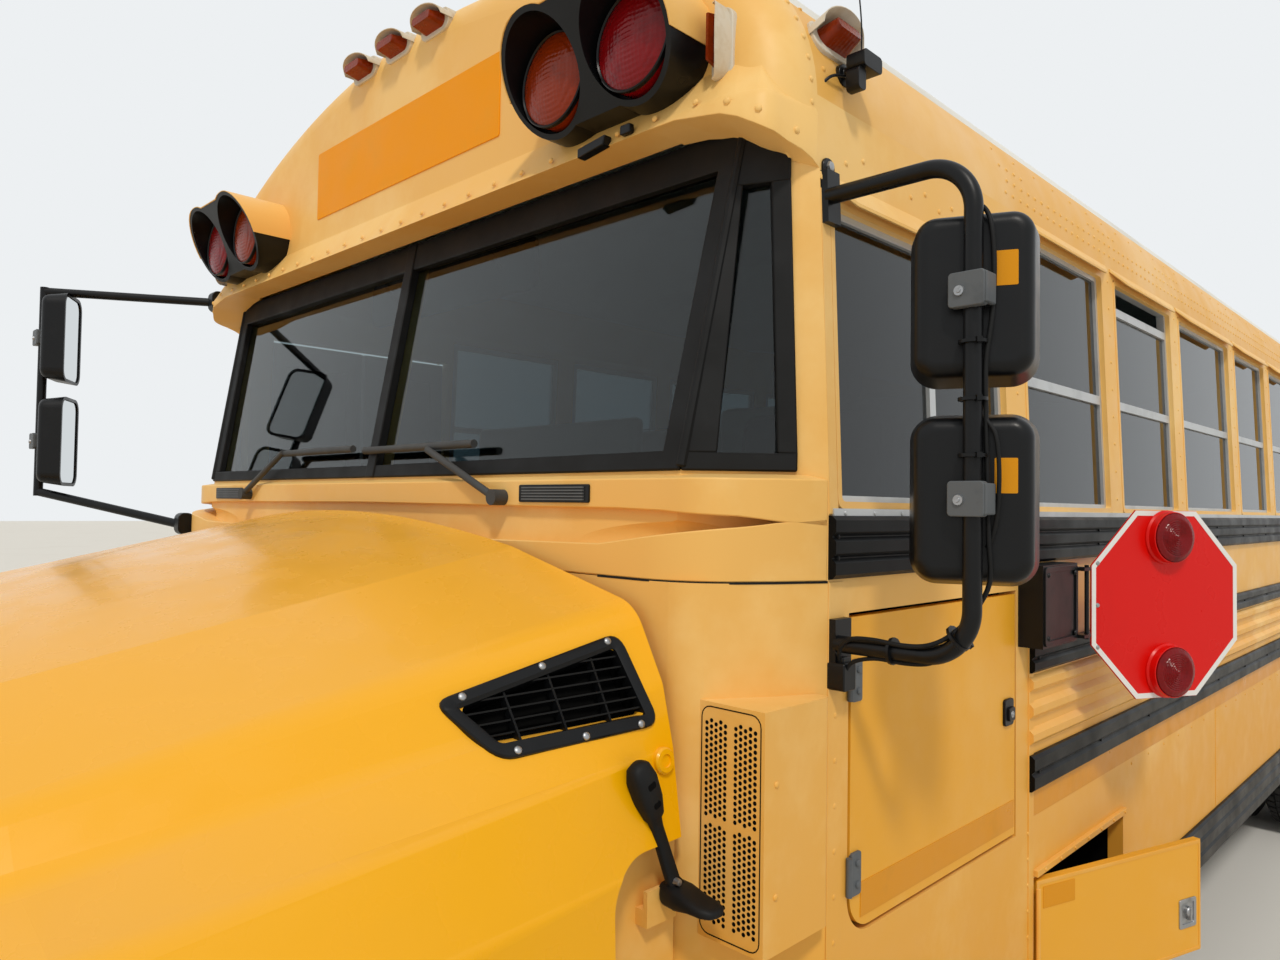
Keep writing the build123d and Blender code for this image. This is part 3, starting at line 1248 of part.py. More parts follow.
SIGN_WIDTH = 457
SIGN_Z = 1600
SIGN_PIN = (1285, -2365)
with BuildPart() as stop_sign:
    sign_plane = swung_plane(*SIGN_PIN, STOP_SIGN_REST)
    with BuildSketch(sign_plane):
        with Locations((12 + SIGN_WIDTH / 2, SIGN_Z)):
            RegularPolygon(radius=SIGN_WIDTH / 2, side_count=8, major_radius=False, rotation=22.5)
    extrude(amount=2, both=True)
    with BuildSketch(sign_plane):
        for z in (SIGN_Z - 163, SIGN_Z + 163):
            with Locations((12 + SIGN_WIDTH / 2, z)):
                Circle(60)
    extrude(amount=26, both=True)
finish(stop_sign, "stop_sign")
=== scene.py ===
"""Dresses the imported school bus: paint, glass, rubber, lamps, seats and small fittings.

Everything is in metres in the bus's frame: -Y is forward, +X is the bus's left side, Z is up from the road.
"""

from __future__ import annotations

import json
import logging
import math
from dataclasses import dataclass, field
from enum import Enum
from typing import Iterable, Sequence

import bmesh
import bpy
from mathutils import Matrix, Vector

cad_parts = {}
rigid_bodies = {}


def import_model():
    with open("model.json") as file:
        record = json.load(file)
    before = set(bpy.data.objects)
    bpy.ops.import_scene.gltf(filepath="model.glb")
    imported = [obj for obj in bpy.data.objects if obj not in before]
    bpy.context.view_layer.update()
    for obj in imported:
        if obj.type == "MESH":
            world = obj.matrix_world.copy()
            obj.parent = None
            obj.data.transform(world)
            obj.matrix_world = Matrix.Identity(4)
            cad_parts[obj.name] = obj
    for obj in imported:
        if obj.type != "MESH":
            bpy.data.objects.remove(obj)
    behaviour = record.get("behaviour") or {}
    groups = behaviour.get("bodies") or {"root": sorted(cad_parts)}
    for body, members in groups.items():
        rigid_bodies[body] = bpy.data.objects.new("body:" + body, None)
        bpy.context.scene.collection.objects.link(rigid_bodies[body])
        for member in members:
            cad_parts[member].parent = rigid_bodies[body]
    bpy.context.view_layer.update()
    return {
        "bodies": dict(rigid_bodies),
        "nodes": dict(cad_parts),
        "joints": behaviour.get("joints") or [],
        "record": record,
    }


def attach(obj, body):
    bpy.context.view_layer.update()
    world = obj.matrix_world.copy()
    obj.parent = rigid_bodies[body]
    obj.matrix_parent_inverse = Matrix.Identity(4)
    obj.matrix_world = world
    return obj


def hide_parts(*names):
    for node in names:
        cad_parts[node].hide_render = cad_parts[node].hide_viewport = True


log = logging.getLogger("bus")
MM = 0.001
FULL_TURN = 2 * math.pi
SIDES = (1, -1)
Point = Sequence[float]
Outline = Sequence[tuple[float, float]]
Tree = bpy.types.NodeTree
Socket = bpy.types.NodeSocket
Item = bpy.types.Object


def linear(hex_colour: str) -> tuple[float, float, float, float]:
    """Turn an sRGB hex colour into linear light.

    Args:
        hex_colour: six hex digits with a leading hash.

    Returns:
        Red, green, blue and an alpha of 1.
    """
    values = [int(hex_colour[start : start + 2], 16) / 255 for start in (1, 3, 5)]
    red, green, blue = (v / 12.92 if v <= 0.04045 else ((v + 0.055) / 1.055) ** 2.4 for v in values)
    return red, green, blue, 1.0


def add_node(tree: Tree, kind: str, values: dict | None = None, **settings) -> bpy.types.Node:
    """Add one shader node with its settings, input values and links.

    Args:
        tree: the material's or world's node tree.
        kind: the node's type name after "ShaderNode".
        values: input name or number to a plain value, or to an output socket to link from.
        settings: the node's own properties.

    Returns:
        The new node.
    """
    node = tree.nodes.new(f"ShaderNode{kind}")
    for name, value in settings.items():
        setattr(node, name, value)
    for name, value in (values or {}).items():
        if isinstance(value, Socket):
            tree.links.new(value, node.inputs[name])
        else:
            node.inputs[name].default_value = value
    return node


def remap(tree: Tree, value: Socket, start: float, end: float, most: float, least: float = 0.0) -> Socket:
    """Turn one range of values into another, held at both ends.

    Args:
        tree: the node tree.
        value: the socket to read.
        start: value that gives the least.
        end: value that gives the most.
        most: result at the end.
        least: result at the start.

    Returns:
        The result's socket.
    """
    return add_node(tree, "MapRange", {
        "Value": value, "From Min": start, "From Max": end, "To Min": least, "To Max": most,
    }).outputs["Result"]


def calculate(tree: Tree, operation: str, first: Socket, second: Socket | float,
              clamp: bool = False) -> Socket:
    """Output of a math node with two inputs."""
    return add_node(tree, "Math", {0: first, 1: second}, operation=operation, use_clamp=clamp).outputs[0]


def blend(tree: Tree, share: Socket, first: Socket | Point, second: Socket | Point) -> Socket:
    """Output of a colour mix, with the second colour's share given."""
    return add_node(tree, "Mix", {0: share, 6: first, 7: second}, data_type="RGBA").outputs[2]


def height_of(tree: Tree, vector: Socket) -> Socket:
    """Z of a vector socket."""
    return add_node(tree, "SeparateXYZ", {"Vector": vector}).outputs["Z"]


def link(name: str, data: bpy.types.ID) -> Item:
    """Make an object for some data and put it in the scene.

    Args:
        name: the object's name.
        data: its mesh, camera or lamp.

    Returns:
        The object.
    """
    item = bpy.data.objects.new(name, data)
    bpy.context.scene.collection.objects.link(item)
    return item


class Grain(Enum):
    """Fine surface forms that a process leaves."""

    SMOOTH = "smooth"
    PEEL = "orange peel of sprayed paint"
    MOULDED = "moulded grain"
    BRUSHED = "brushed lines"
    CAST = "cast skin"
    PRISMS = "lens prisms"
    CELLS = "reflective cells"
    LEATHER = "embossed vinyl"
    WOVEN = "woven threads"


@dataclass(frozen=True)
class Finish:
    """A surface finish: colour, wear and gloss of one material and process.

    Args:
        name: the material's common name and process.
        colour: main colour as sRGB hex.
        worn: colour of the faded or dusty patches.
        slot: the record's material slot for pieces with this finish; not used.
        wear: share of the surface that turns to the worn colour, from 0 to 1.
        patch_mm: size of the faded patches.
        roughness: microscopic roughness.
        spread: how far roughness varies over the surface.
        metallic: 1 for bare metal.
        coat: strength of a clear coat.
        grain: the fine surface form.
        grain_mm: real size of that form.
        relief_mm: its depth.
        transmission: 1 for clear glass or plastic.
        ior: index of refraction.
        sun_fade: extra wear on surfaces that face the sky.
        dust_below: height in metres under which road dust gathers, 0 for none.
        paler_above: height in metres round which the colour turns paler upwards by height alone, 0 for none.
        specular: mirror-like share left on a weathered surface; 0.5 is that of a new one.
    """

    name: str
    colour: str
    worn: str = ""
    slot: str = ""
    wear: float = 0.0
    patch_mm: float = 400.0
    roughness: float = 0.5
    spread: float = 0.08
    metallic: float = 0.0
    coat: float = 0.0
    grain: Grain = Grain.SMOOTH
    grain_mm: float = 1.0
    relief_mm: float = 0.1
    transmission: float = 0.0
    ior: float = 1.5
    sun_fade: float = 0.0
    dust_below: float = 0.0
    paler_above: float = 0.0
    specular: float = 0.35

    def material(self) -> bpy.types.Material:
        """Build the material, or return the one already made.

        Returns:
            The material with its node tree.
        """
        made = bpy.data.materials.get(self.name)
        if made:
            return made
        made = bpy.data.materials.new(self.name)
        made.use_nodes = True
        tree = made.node_tree
        inputs = tree.nodes["Principled BSDF"].inputs
        constants = {
            "Base Color": linear(self.colour), "Roughness": self.roughness, "Metallic": self.metallic,
            "Specular IOR Level": self.specular, "Transmission Weight": self.transmission,
            "Coat Weight": self.coat, "Coat Roughness": 0.04,
        }
        if self.metallic < 0.5:
            constants["IOR"] = self.ior
        for name, value in constants.items():
            inputs[name].default_value = value
        where = add_node(tree, "TexCoord").outputs["Object"]
        if self.wear:
            tree.links.new(self.colour_output(tree, where), inputs["Base Color"])
        if self.spread:
            tree.links.new(self.roughness_output(tree, where), inputs["Roughness"])
        if self.grain is not Grain.SMOOTH:
            tree.links.new(self.relief_output(tree, where), inputs["Normal"])
        return made

    def patches(self, tree: Tree, where: Socket) -> Socket:
        """Cloudy pattern with spots of the patch size.

        Args:
            tree: the material's node tree.
            where: object coordinates in metres.

        Returns:
            The pattern's socket.
        """
        scale = 1 / (self.patch_mm * MM)
        values = {"Vector": where, "Scale": scale, "Detail": 6.0, "Roughness": 0.62}
        return add_node(tree, "TexNoise", values).outputs["Fac"]

    def colour_output(self, tree: Tree, where: Socket) -> Socket:
        """Colour with faded patches, sun fade, road dust and a band that turns paler upwards by height alone.

        Args:
            tree: the material's node tree.
            where: object coordinates in metres.

        Returns:
            The colour socket.
        """
        low, high = 0.62 - 0.3 * self.wear, 0.78 - 0.22 * self.wear
        amount = remap(tree, self.patches(tree, where), low, high, min(1, self.wear * 1.4))
        if self.sun_fade:
            upward = height_of(tree, add_node(tree, "NewGeometry").outputs["Normal"])
            amount = calculate(tree, "ADD", amount, remap(tree, upward, 0.35, 1.0, self.sun_fade), clamp=True)
        # Height that turns a band on, heights where it starts and is full, and its full amount
        bands = ((self.dust_below, self.dust_below, self.dust_below * 0.35, 0.55),
                 (self.paler_above, self.paler_above - 0.7, self.paler_above + 0.3, 0.6))
        for used, start, full, most in bands:
            if used:
                band = remap(tree, height_of(tree, where), start, full, most)
                amount = calculate(tree, "ADD", amount, band, clamp=True)
        return blend(tree, amount, linear(self.colour), linear(self.worn))

    def roughness_output(self, tree: Tree, where: Socket) -> Socket:
        """Roughness that varies over hands' breadths, as handling and weather leave it.

        Args:
            tree: the material's node tree.
            where: object coordinates in metres.

        Returns:
            The roughness socket.
        """
        smears = add_node(tree, "TexNoise", {"Vector": where, "Scale": 11.0, "Detail": 4.0}).outputs["Fac"]
        most, least = min(1.0, self.roughness + self.spread), max(0.0, self.roughness - self.spread)
        return remap(tree, smears, 0.3, 0.7, most, least)

    def relief_output(self, tree: Tree, where: Socket) -> Socket:
        """Fine relief of the process at its real size.

        Args:
            tree: the material's node tree.
            where: object coordinates in metres.

        Returns:
            The bumped normal socket.
        """
        scale = 1 / (self.grain_mm * MM)
        if self.grain is Grain.BRUSHED:
            drawn = add_node(tree, "Mapping", {"Vector": where, "Scale": (0.02, 0.02, 1.0)}).outputs[0]
            form = add_node(tree, "TexNoise", {"Vector": drawn, "Scale": scale}).outputs[0]
        elif self.grain in (Grain.PRISMS, Grain.CELLS, Grain.LEATHER):
            jitter = 1.0 if self.grain is Grain.LEATHER else 0.15
            values = {"Vector": where, "Scale": scale, "Randomness": jitter}
            form = add_node(tree, "TexVoronoi", values).outputs["Distance"]
        elif self.grain is Grain.WOVEN:
            # A wave texture repeats about 6.3 times in a unit of its scale
            warp, weft = (add_node(tree, "TexWave", {"Vector": where, "Scale": scale / 6.3},
                                   bands_direction=way).outputs["Fac"] for way in "XZ")
            form = calculate(tree, "MULTIPLY", warp, weft)
        else:
            form = add_node(tree, "TexNoise", {"Vector": where, "Scale": scale, "Detail": 3.0}).outputs[0]
        values = {"Height": form, "Distance": self.relief_mm * MM, "Strength": 0.8}
        return add_node(tree, "Bump", values).outputs["Normal"]


# Sprayed enamel kept glossy by newer paint: a clear, wet look with slight orange peel
FRESH_ENAMEL = Finish(
    "fresh_yellow_enamel_sprayed", "#F6B200", "#F3C070", "yellow_paint", wear=0.05, patch_mm=900,
    roughness=0.28,
    coat=0.12, grain=Grain.PEEL, grain_mm=14, relief_mm=0.06, sun_fade=0.30, specular=0.22)
# Chalked enamel: years of sun leave it paler in patches, matt and blotched, with dust on ledges; it also turns
# paler upwards by height alone
CHALKED_ENAMEL = Finish(
    "chalked_yellow_enamel_sprayed", "#E6A63A", "#F5CB80", "faded_yellow_paint", wear=0.40, patch_mm=520,
    roughness=0.46, grain=Grain.PEEL, grain_mm=16, relief_mm=0.07, sun_fade=0.30, paler_above=1.6, specular=0.30)
# Door enamel: repainted once, so it stays deeper in colour than the sheet round it
DOOR_ENAMEL = Finish(
    "repainted_yellow_enamel_sprayed", "#E9A82C", "#F0BC60", wear=0.30, patch_mm=420, roughness=0.40,
    grain=Grain.PEEL, grain_mm=16, relief_mm=0.07, specular=0.30)
# Black stripe enamel on the pressed rails: dulled, dusty along the crests
BLACK_ENAMEL = Finish(
    "black_stripe_enamel", "#08090A", "#262625", "black_paint", wear=0.2, patch_mm=260, roughness=0.36,
    specular=0.10, grain=Grain.PEEL, grain_mm=12, relief_mm=0.05, dust_below=0.9)
# Bitumen undercoat over the frame: dark, dull, caked with road dirt
UNDERCOAT = Finish(
    "bitumen_undercoat_brushed", "#1A1A1B", "#4A443C", "chassis_paint", wear=0.6, patch_mm=180, roughness=0.75,
    grain=Grain.CAST, grain_mm=9, relief_mm=0.5)
# Cast iron of axles, hubs and engine: rough skin with rust bloom
CAST_IRON = Finish(
    "sand_cast_iron", "#2B2A29", "#5A3A26", "axle_iron", wear=0.45, patch_mm=90, roughness=0.7, metallic=0.6,
    grain=Grain.CAST, grain_mm=4, relief_mm=0.4)
# Rolled steel pipe and shaft: grey-brown scale
STEEL = Finish("rolled_steel", "#6E6A66", "#6A4A34", wear=0.5, patch_mm=120, roughness=0.5, metallic=0.9,
               grain=Grain.BRUSHED, grain_mm=1.2, relief_mm=0.05)
# Plated steel of latches, hinges and screws: bright with handling marks
ZINC = Finish("zinc_plated_steel", "#A9ABAE", "#7B7A75", "steel", wear=0.4, patch_mm=30, roughness=0.38,
              metallic=0.9)
# Grey powder coat on clamps and hinge leaves: even, slightly textured
ZINC_GREY = Finish(
    "grey_powder_coated_steel", "#5A5F64", "#454A4F", "steel", wear=0.35, patch_mm=40, roughness=0.55,
    grain=Grain.MOULDED, grain_mm=2.5, relief_mm=0.12)
# Mill-finish aluminium of the sashes: drawn lines, dull grey
ALUMINIUM = Finish(
    "oxidised_extruded_aluminium", "#C6C9CB", "#A3A6A8", "window_aluminium", wear=0.4, patch_mm=160,
    roughness=0.5, metallic=0.6, grain=Grain.BRUSHED, grain_mm=1.5, relief_mm=0.04)
# Wheel paint: grey-white enamel, brake dust in the dish
WHEEL_ENAMEL = Finish(
    "white_wheel_enamel", "#C9C8C2", "#6B6259", wear=0.5, patch_mm=120, roughness=0.5, dust_below=0.7,
    grain=Grain.PEEL, grain_mm=10, relief_mm=0.06)
# Carbon-black tyre rubber: matt, grey with dust on the sidewalls
TYRE_RUBBER = Finish(
    "vulcanised_tyre_rubber", "#1B1B1C", "#45423D", "tyre_rubber", wear=0.5, patch_mm=140, roughness=0.82,
    grain=Grain.MOULDED, grain_mm=3, relief_mm=0.15)
# Extruded rubber seal: dull black with a slight sheen
SEAL_RUBBER = Finish(
    "extruded_rubber_seal", "#0D0E0F", "#222324", "black_plastic", wear=0.3, patch_mm=120, roughness=0.6,
    specular=0.25, grain=Grain.MOULDED, grain_mm=2, relief_mm=0.05)
# Ribbed rubber sheet of the floor and steps: scuffed black
FLOOR_RUBBER = Finish(
    "ribbed_rubber_sheet", "#1D1D1E", "#4B4843", wear=0.55, patch_mm=240, roughness=0.75,
    grain=Grain.MOULDED, grain_mm=6, relief_mm=0.4)
# Moulded black plastic: pebbled grain that breaks up the highlights
BLACK_PLASTIC = Finish(
    "moulded_black_plastic", "#0D0E10", "#26272A", "black_plastic", wear=0.2, patch_mm=120, roughness=0.34,
    specular=0.25, grain=Grain.MOULDED, grain_mm=3, relief_mm=0.12)
# Pale plastic of the marker lamps' housings: yellowed white
PALE_PLASTIC = Finish(
    "moulded_pale_plastic", "#D5CDBD", "#B59C6E", "grey_plastic", wear=0.4, patch_mm=60, roughness=0.5,
    grain=Grain.MOULDED, grain_mm=3, relief_mm=0.1)
# Grey moulded dashboard plastic: soft, dusty on top
GREY_PLASTIC = Finish(
    "moulded_grey_plastic", "#3C3E40", "#5B5A57", "grey_plastic", wear=0.35, patch_mm=200, roughness=0.62,
    grain=Grain.MOULDED, grain_mm=3, relief_mm=0.15, sun_fade=0.3)
# Laminated windshield glass: near clear with a faint green cast
CLEAR_GLASS = Finish("laminated_glass", "#87979A", roughness=0.015, spread=0.0, transmission=1.0, ior=1.45,
                     specular=0.15)
# Tinted tempered glass of the side windows: smoky
TINTED_GLASS = Finish("tinted_tempered_glass", "#46545A", slot="tinted_glass", roughness=0.02, spread=0.0,
                      transmission=1.0, ior=1.45, specular=0.12)
# Clear polycarbonate headlamp cover: slightly hazed
LAMP_GLASS = Finish("moulded_clear_polycarbonate", "#E3E6E6", "#CFCBBB", "lamp_glass", wear=0.3, patch_mm=90,
                    roughness=0.12, transmission=0.75, ior=1.58)
# Amber and red acrylic lenses: moulded prisms break up the light
AMBER_LENS = Finish(
    "moulded_amber_acrylic", "#842A04", "#4E1703", "amber_lens", wear=0.4, patch_mm=60, roughness=0.24,
    specular=0.25, grain=Grain.PRISMS, grain_mm=9, relief_mm=1.0, ior=1.49)
RED_LENS = Finish(
    "moulded_red_acrylic", "#7A040A", "#3C0208", "red_lens", wear=0.4, patch_mm=60, roughness=0.24,
    specular=0.25, grain=Grain.PRISMS, grain_mm=9, relief_mm=1.0, ior=1.49)
# Reflective sheeting: fine cells under a clear film
RED_SHEETING = Finish(
    "red_reflective_sheeting", "#D90D06", "#BF0B06", "sign_face", wear=0.2, roughness=0.32, specular=0.25,
    grain=Grain.CELLS, grain_mm=4, relief_mm=0.08)
WHITE_SHEETING = Finish(
    "white_reflective_sheeting", "#E4E6E6", "#D2D2CE", "sign_face", wear=0.2, roughness=0.32,
    grain=Grain.CELLS, grain_mm=4, relief_mm=0.08)
YELLOW_SHEETING = Finish(
    "yellow_reflective_sheeting", "#DB9200", "#C98A10", "sign_face", wear=0.3, patch_mm=90, roughness=0.35,
    specular=0.25, grain=Grain.CELLS, grain_mm=5, relief_mm=0.1)
ORANGE_SHEETING = Finish(
    "orange_reflective_sheeting", "#F29C08", "#E6A028", "sign_face", wear=0.3, patch_mm=160, roughness=0.4,
    specular=0.10, grain=Grain.CELLS, grain_mm=6, relief_mm=0.1)
# Coated seat vinyl: embossed, dark green, polished where riders sit
SEAT_VINYL = Finish(
    "embossed_seat_vinyl", "#24463B", "#3D5C50", "seat_vinyl", wear=0.4, patch_mm=150, roughness=0.45,
    grain=Grain.LEATHER, grain_mm=4, relief_mm=0.25)
# Darker vinyl of the driver's seat welts: plain and dull
SEAT_VINYL_DARK = Finish("black_seat_welt_vinyl", "#17191C", "#2A2C30", "driver_fabric", wear=0.3, patch_mm=80,
                         roughness=0.5)
# Woven driver's seat cloth: dark blue-grey threads, drawn coarser than life so that they show
SEAT_CLOTH = Finish(
    "woven_seat_cloth", "#23262D", "#3A3D45", "driver_fabric", wear=0.4, patch_mm=120, roughness=0.9,
    grain=Grain.WOVEN, grain_mm=6, relief_mm=0.5)
# Silvered mirror glass: a clean, dark-edged reflection
MIRROR_GLASS = Finish("silvered_mirror_glass", "#D8DCDD", slot="clear_glass", roughness=0.03, spread=0.0,
                      metallic=1.0)
# Dark hollow seen through holes: no light comes back
SHADOW = Finish("unlit_hollow_black", "#060606", slot="black_plastic", roughness=0.9, spread=0.0, specular=0.1)
# Trowelled pale concrete of the floor: matt and nearly even
CONCRETE = Finish("trowelled_pale_concrete", "#DEDEDB", "#D6D5D1", wear=0.3, patch_mm=2500, roughness=0.9)


@dataclass(frozen=True)
class RoofFinish(Finish):
    """Roof paint in two colours that meet at a height.

    Args:
        lower: colour of the band under the joint, as sRGB hex.
        lower_worn: its faded colour.
        joint: height of the joint in metres.
    """

    lower: str = "#EAB45A"
    lower_worn: str = "#F3C987"
    joint: float = 2.70

    def colour_output(self, tree: Tree, where: Socket) -> Socket:
        """Colour above and below the joint, each with its own worn patches.

        Args:
            tree: the material's node tree.
            where: object coordinates in metres.

        Returns:
            The colour socket.
        """
        amount = remap(tree, self.patches(tree, where), 0.45, 0.66, self.wear)
        above = calculate(tree, "GREATER_THAN", height_of(tree, where), self.joint)
        fresh = blend(tree, above, linear(self.lower), linear(self.colour))
        faded = blend(tree, above, linear(self.lower_worn), linear(self.worn))
        return blend(tree, amount, fresh, faded)


# Roof paint: white semi-gloss over the yellow band of the eaves, with grey rain marks
ROOF_ENAMEL = RoofFinish(
    "two_colour_roof_enamel_sprayed", "#E4E4DE", "#C9C6BC", "roof_paint", wear=0.7, patch_mm=620,
    roughness=0.45,
    grain=Grain.PEEL, grain_mm=16, relief_mm=0.07)


def place(origin: Point, run: Point, up: Point = (0, 0, 1)) -> Matrix:
    """Matrix of a flat spot on the bus: local X runs along it, Y rises, Z points out of it.

    Args:
        origin: the spot's place in metres.
        run: direction along it.
        up: direction up it.

    Returns:
        The 4x4 matrix.
    """
    along = Vector(run).normalized()
    out = along.cross(Vector(up)).normalized()
    return Matrix.Translation(Vector(origin)) @ Matrix((along, out.cross(along), out)).transposed().to_4x4()


def facing(origin: Point, run: Vector, out: Vector) -> Matrix:
    """Matrix of a flat spot by its direction along and its outward direction."""
    return place(origin, run, out.cross(run))


def rounded(width: float, height: float, radius: float, x: float = 0.0, y: float = 0.0,
            steps: int = 5) -> list[tuple[float, float]]:
    """Outline of a rectangle with round corners.

    Args:
        width: full width.
        height: full height.
        radius: corner radius.
        x: centre along the run.
        y: centre up.
        steps: points in each corner.

    Returns:
        Points round the outline.
    """
    points = []
    for corner, (way_x, way_y) in enumerate(((1, 1), (-1, 1), (-1, -1), (1, -1))):
        for step in range(steps):
            angle = math.pi / 2 * (corner + step / (steps - 1))
            points.append((x + way_x * (width / 2 - radius) + radius * math.cos(angle),
                           y + way_y * (height / 2 - radius) + radius * math.sin(angle)))
    return points


def circle(radius: float, steps: int = 24, x: float = 0.0, y: float = 0.0,
           turn: float = 0.0) -> list[tuple[float, float]]:
    """Points round a circle or a regular polygon, with the first at the angle turn."""
    angles = [turn + FULL_TURN * i / steps for i in range(steps)]
    return [(x + radius * math.cos(angle), y + radius * math.sin(angle)) for angle in angles]


def ring(middle: Vector, side: Vector, over: Vector, radius: float, steps: int) -> list[Vector]:
    """Points round a middle, in the plane of two directions at right angles."""
    return [middle + side * x + over * y for x, y in circle(radius, steps)]


def level(table: Outline, at: float) -> float:
    """Value at a place between the rows of a table.

    Args:
        table: places in rising order, each with its value.
        at: the place.

    Returns:
        The value, or the last one past the table's end.
    """
    for (x0, z0), (x1, z1) in zip(table, table[1:]):
        if at <= x1:
            return z0 + (z1 - z0) * (at - x0) / (x1 - x0)
    return table[-1][1]


def inset(points: Outline, by: float) -> list[tuple[float, float]]:
    """Move every edge of a polygon inwards.

    Args:
        points: its corners, counter-clockwise.
        by: how far the edges move.

    Returns:
        The new corners.
    """
    moved = []
    for i, here in enumerate(points):
        corner = Vector(here)
        u = (corner - Vector(points[i - 1])).normalized()
        v = (Vector(points[(i + 1) % len(points)]) - corner).normalized()
        inward = Vector((-u.y - v.y, u.x + v.x)).normalized()
        moved.append(tuple(corner + inward * by / max(0.2, inward.dot(Vector((-u.y, u.x))))))
    return moved


def soften(points: Outline, cut: float, steps: int = 5) -> list[tuple[float, float]]:
    """Round the corners of a polygon.

    Args:
        points: its corners.
        cut: length of both edges that a corner takes up.
        steps: stretches in each corner.

    Returns:
        Points round the outline.
    """
    line = []
    for i, here in enumerate(points):
        corner = Vector(here)
        edges = [Vector(points[k % len(points)]) - corner for k in (i - 1, i + 1)]
        start, end = (corner + edge.normalized() * min(cut, edge.length * 0.45) for edge in edges)
        for step in range(steps + 1):
            t = step / steps
            line.append(tuple(start * (1 - t) ** 2 + corner * 2 * t * (1 - t) + end * t * t))
    return line


def smooth(points: Sequence[Point], per: int = 6) -> list[Vector]:
    """Points on a smooth line through the given ones.

    Args:
        points: places that the line passes through.
        per: points for each stretch.

    Returns:
        The line's points.
    """
    nodes = [Vector(p) for p in points]
    nodes = [2 * nodes[0] - nodes[1], *nodes, 2 * nodes[-1] - nodes[-2]]
    line = []
    for i in range(1, len(nodes) - 2):
        a, b, c, d = nodes[i - 1 : i + 3]
        for step in range(per):
            t = step / per
            line.append(0.5 * (2 * b + (c - a) * t + (2 * a - 5 * b + 4 * c - d) * t * t
                               + (3 * b - a - 3 * c + d) * t ** 3))
    return [*line, nodes[-2]]


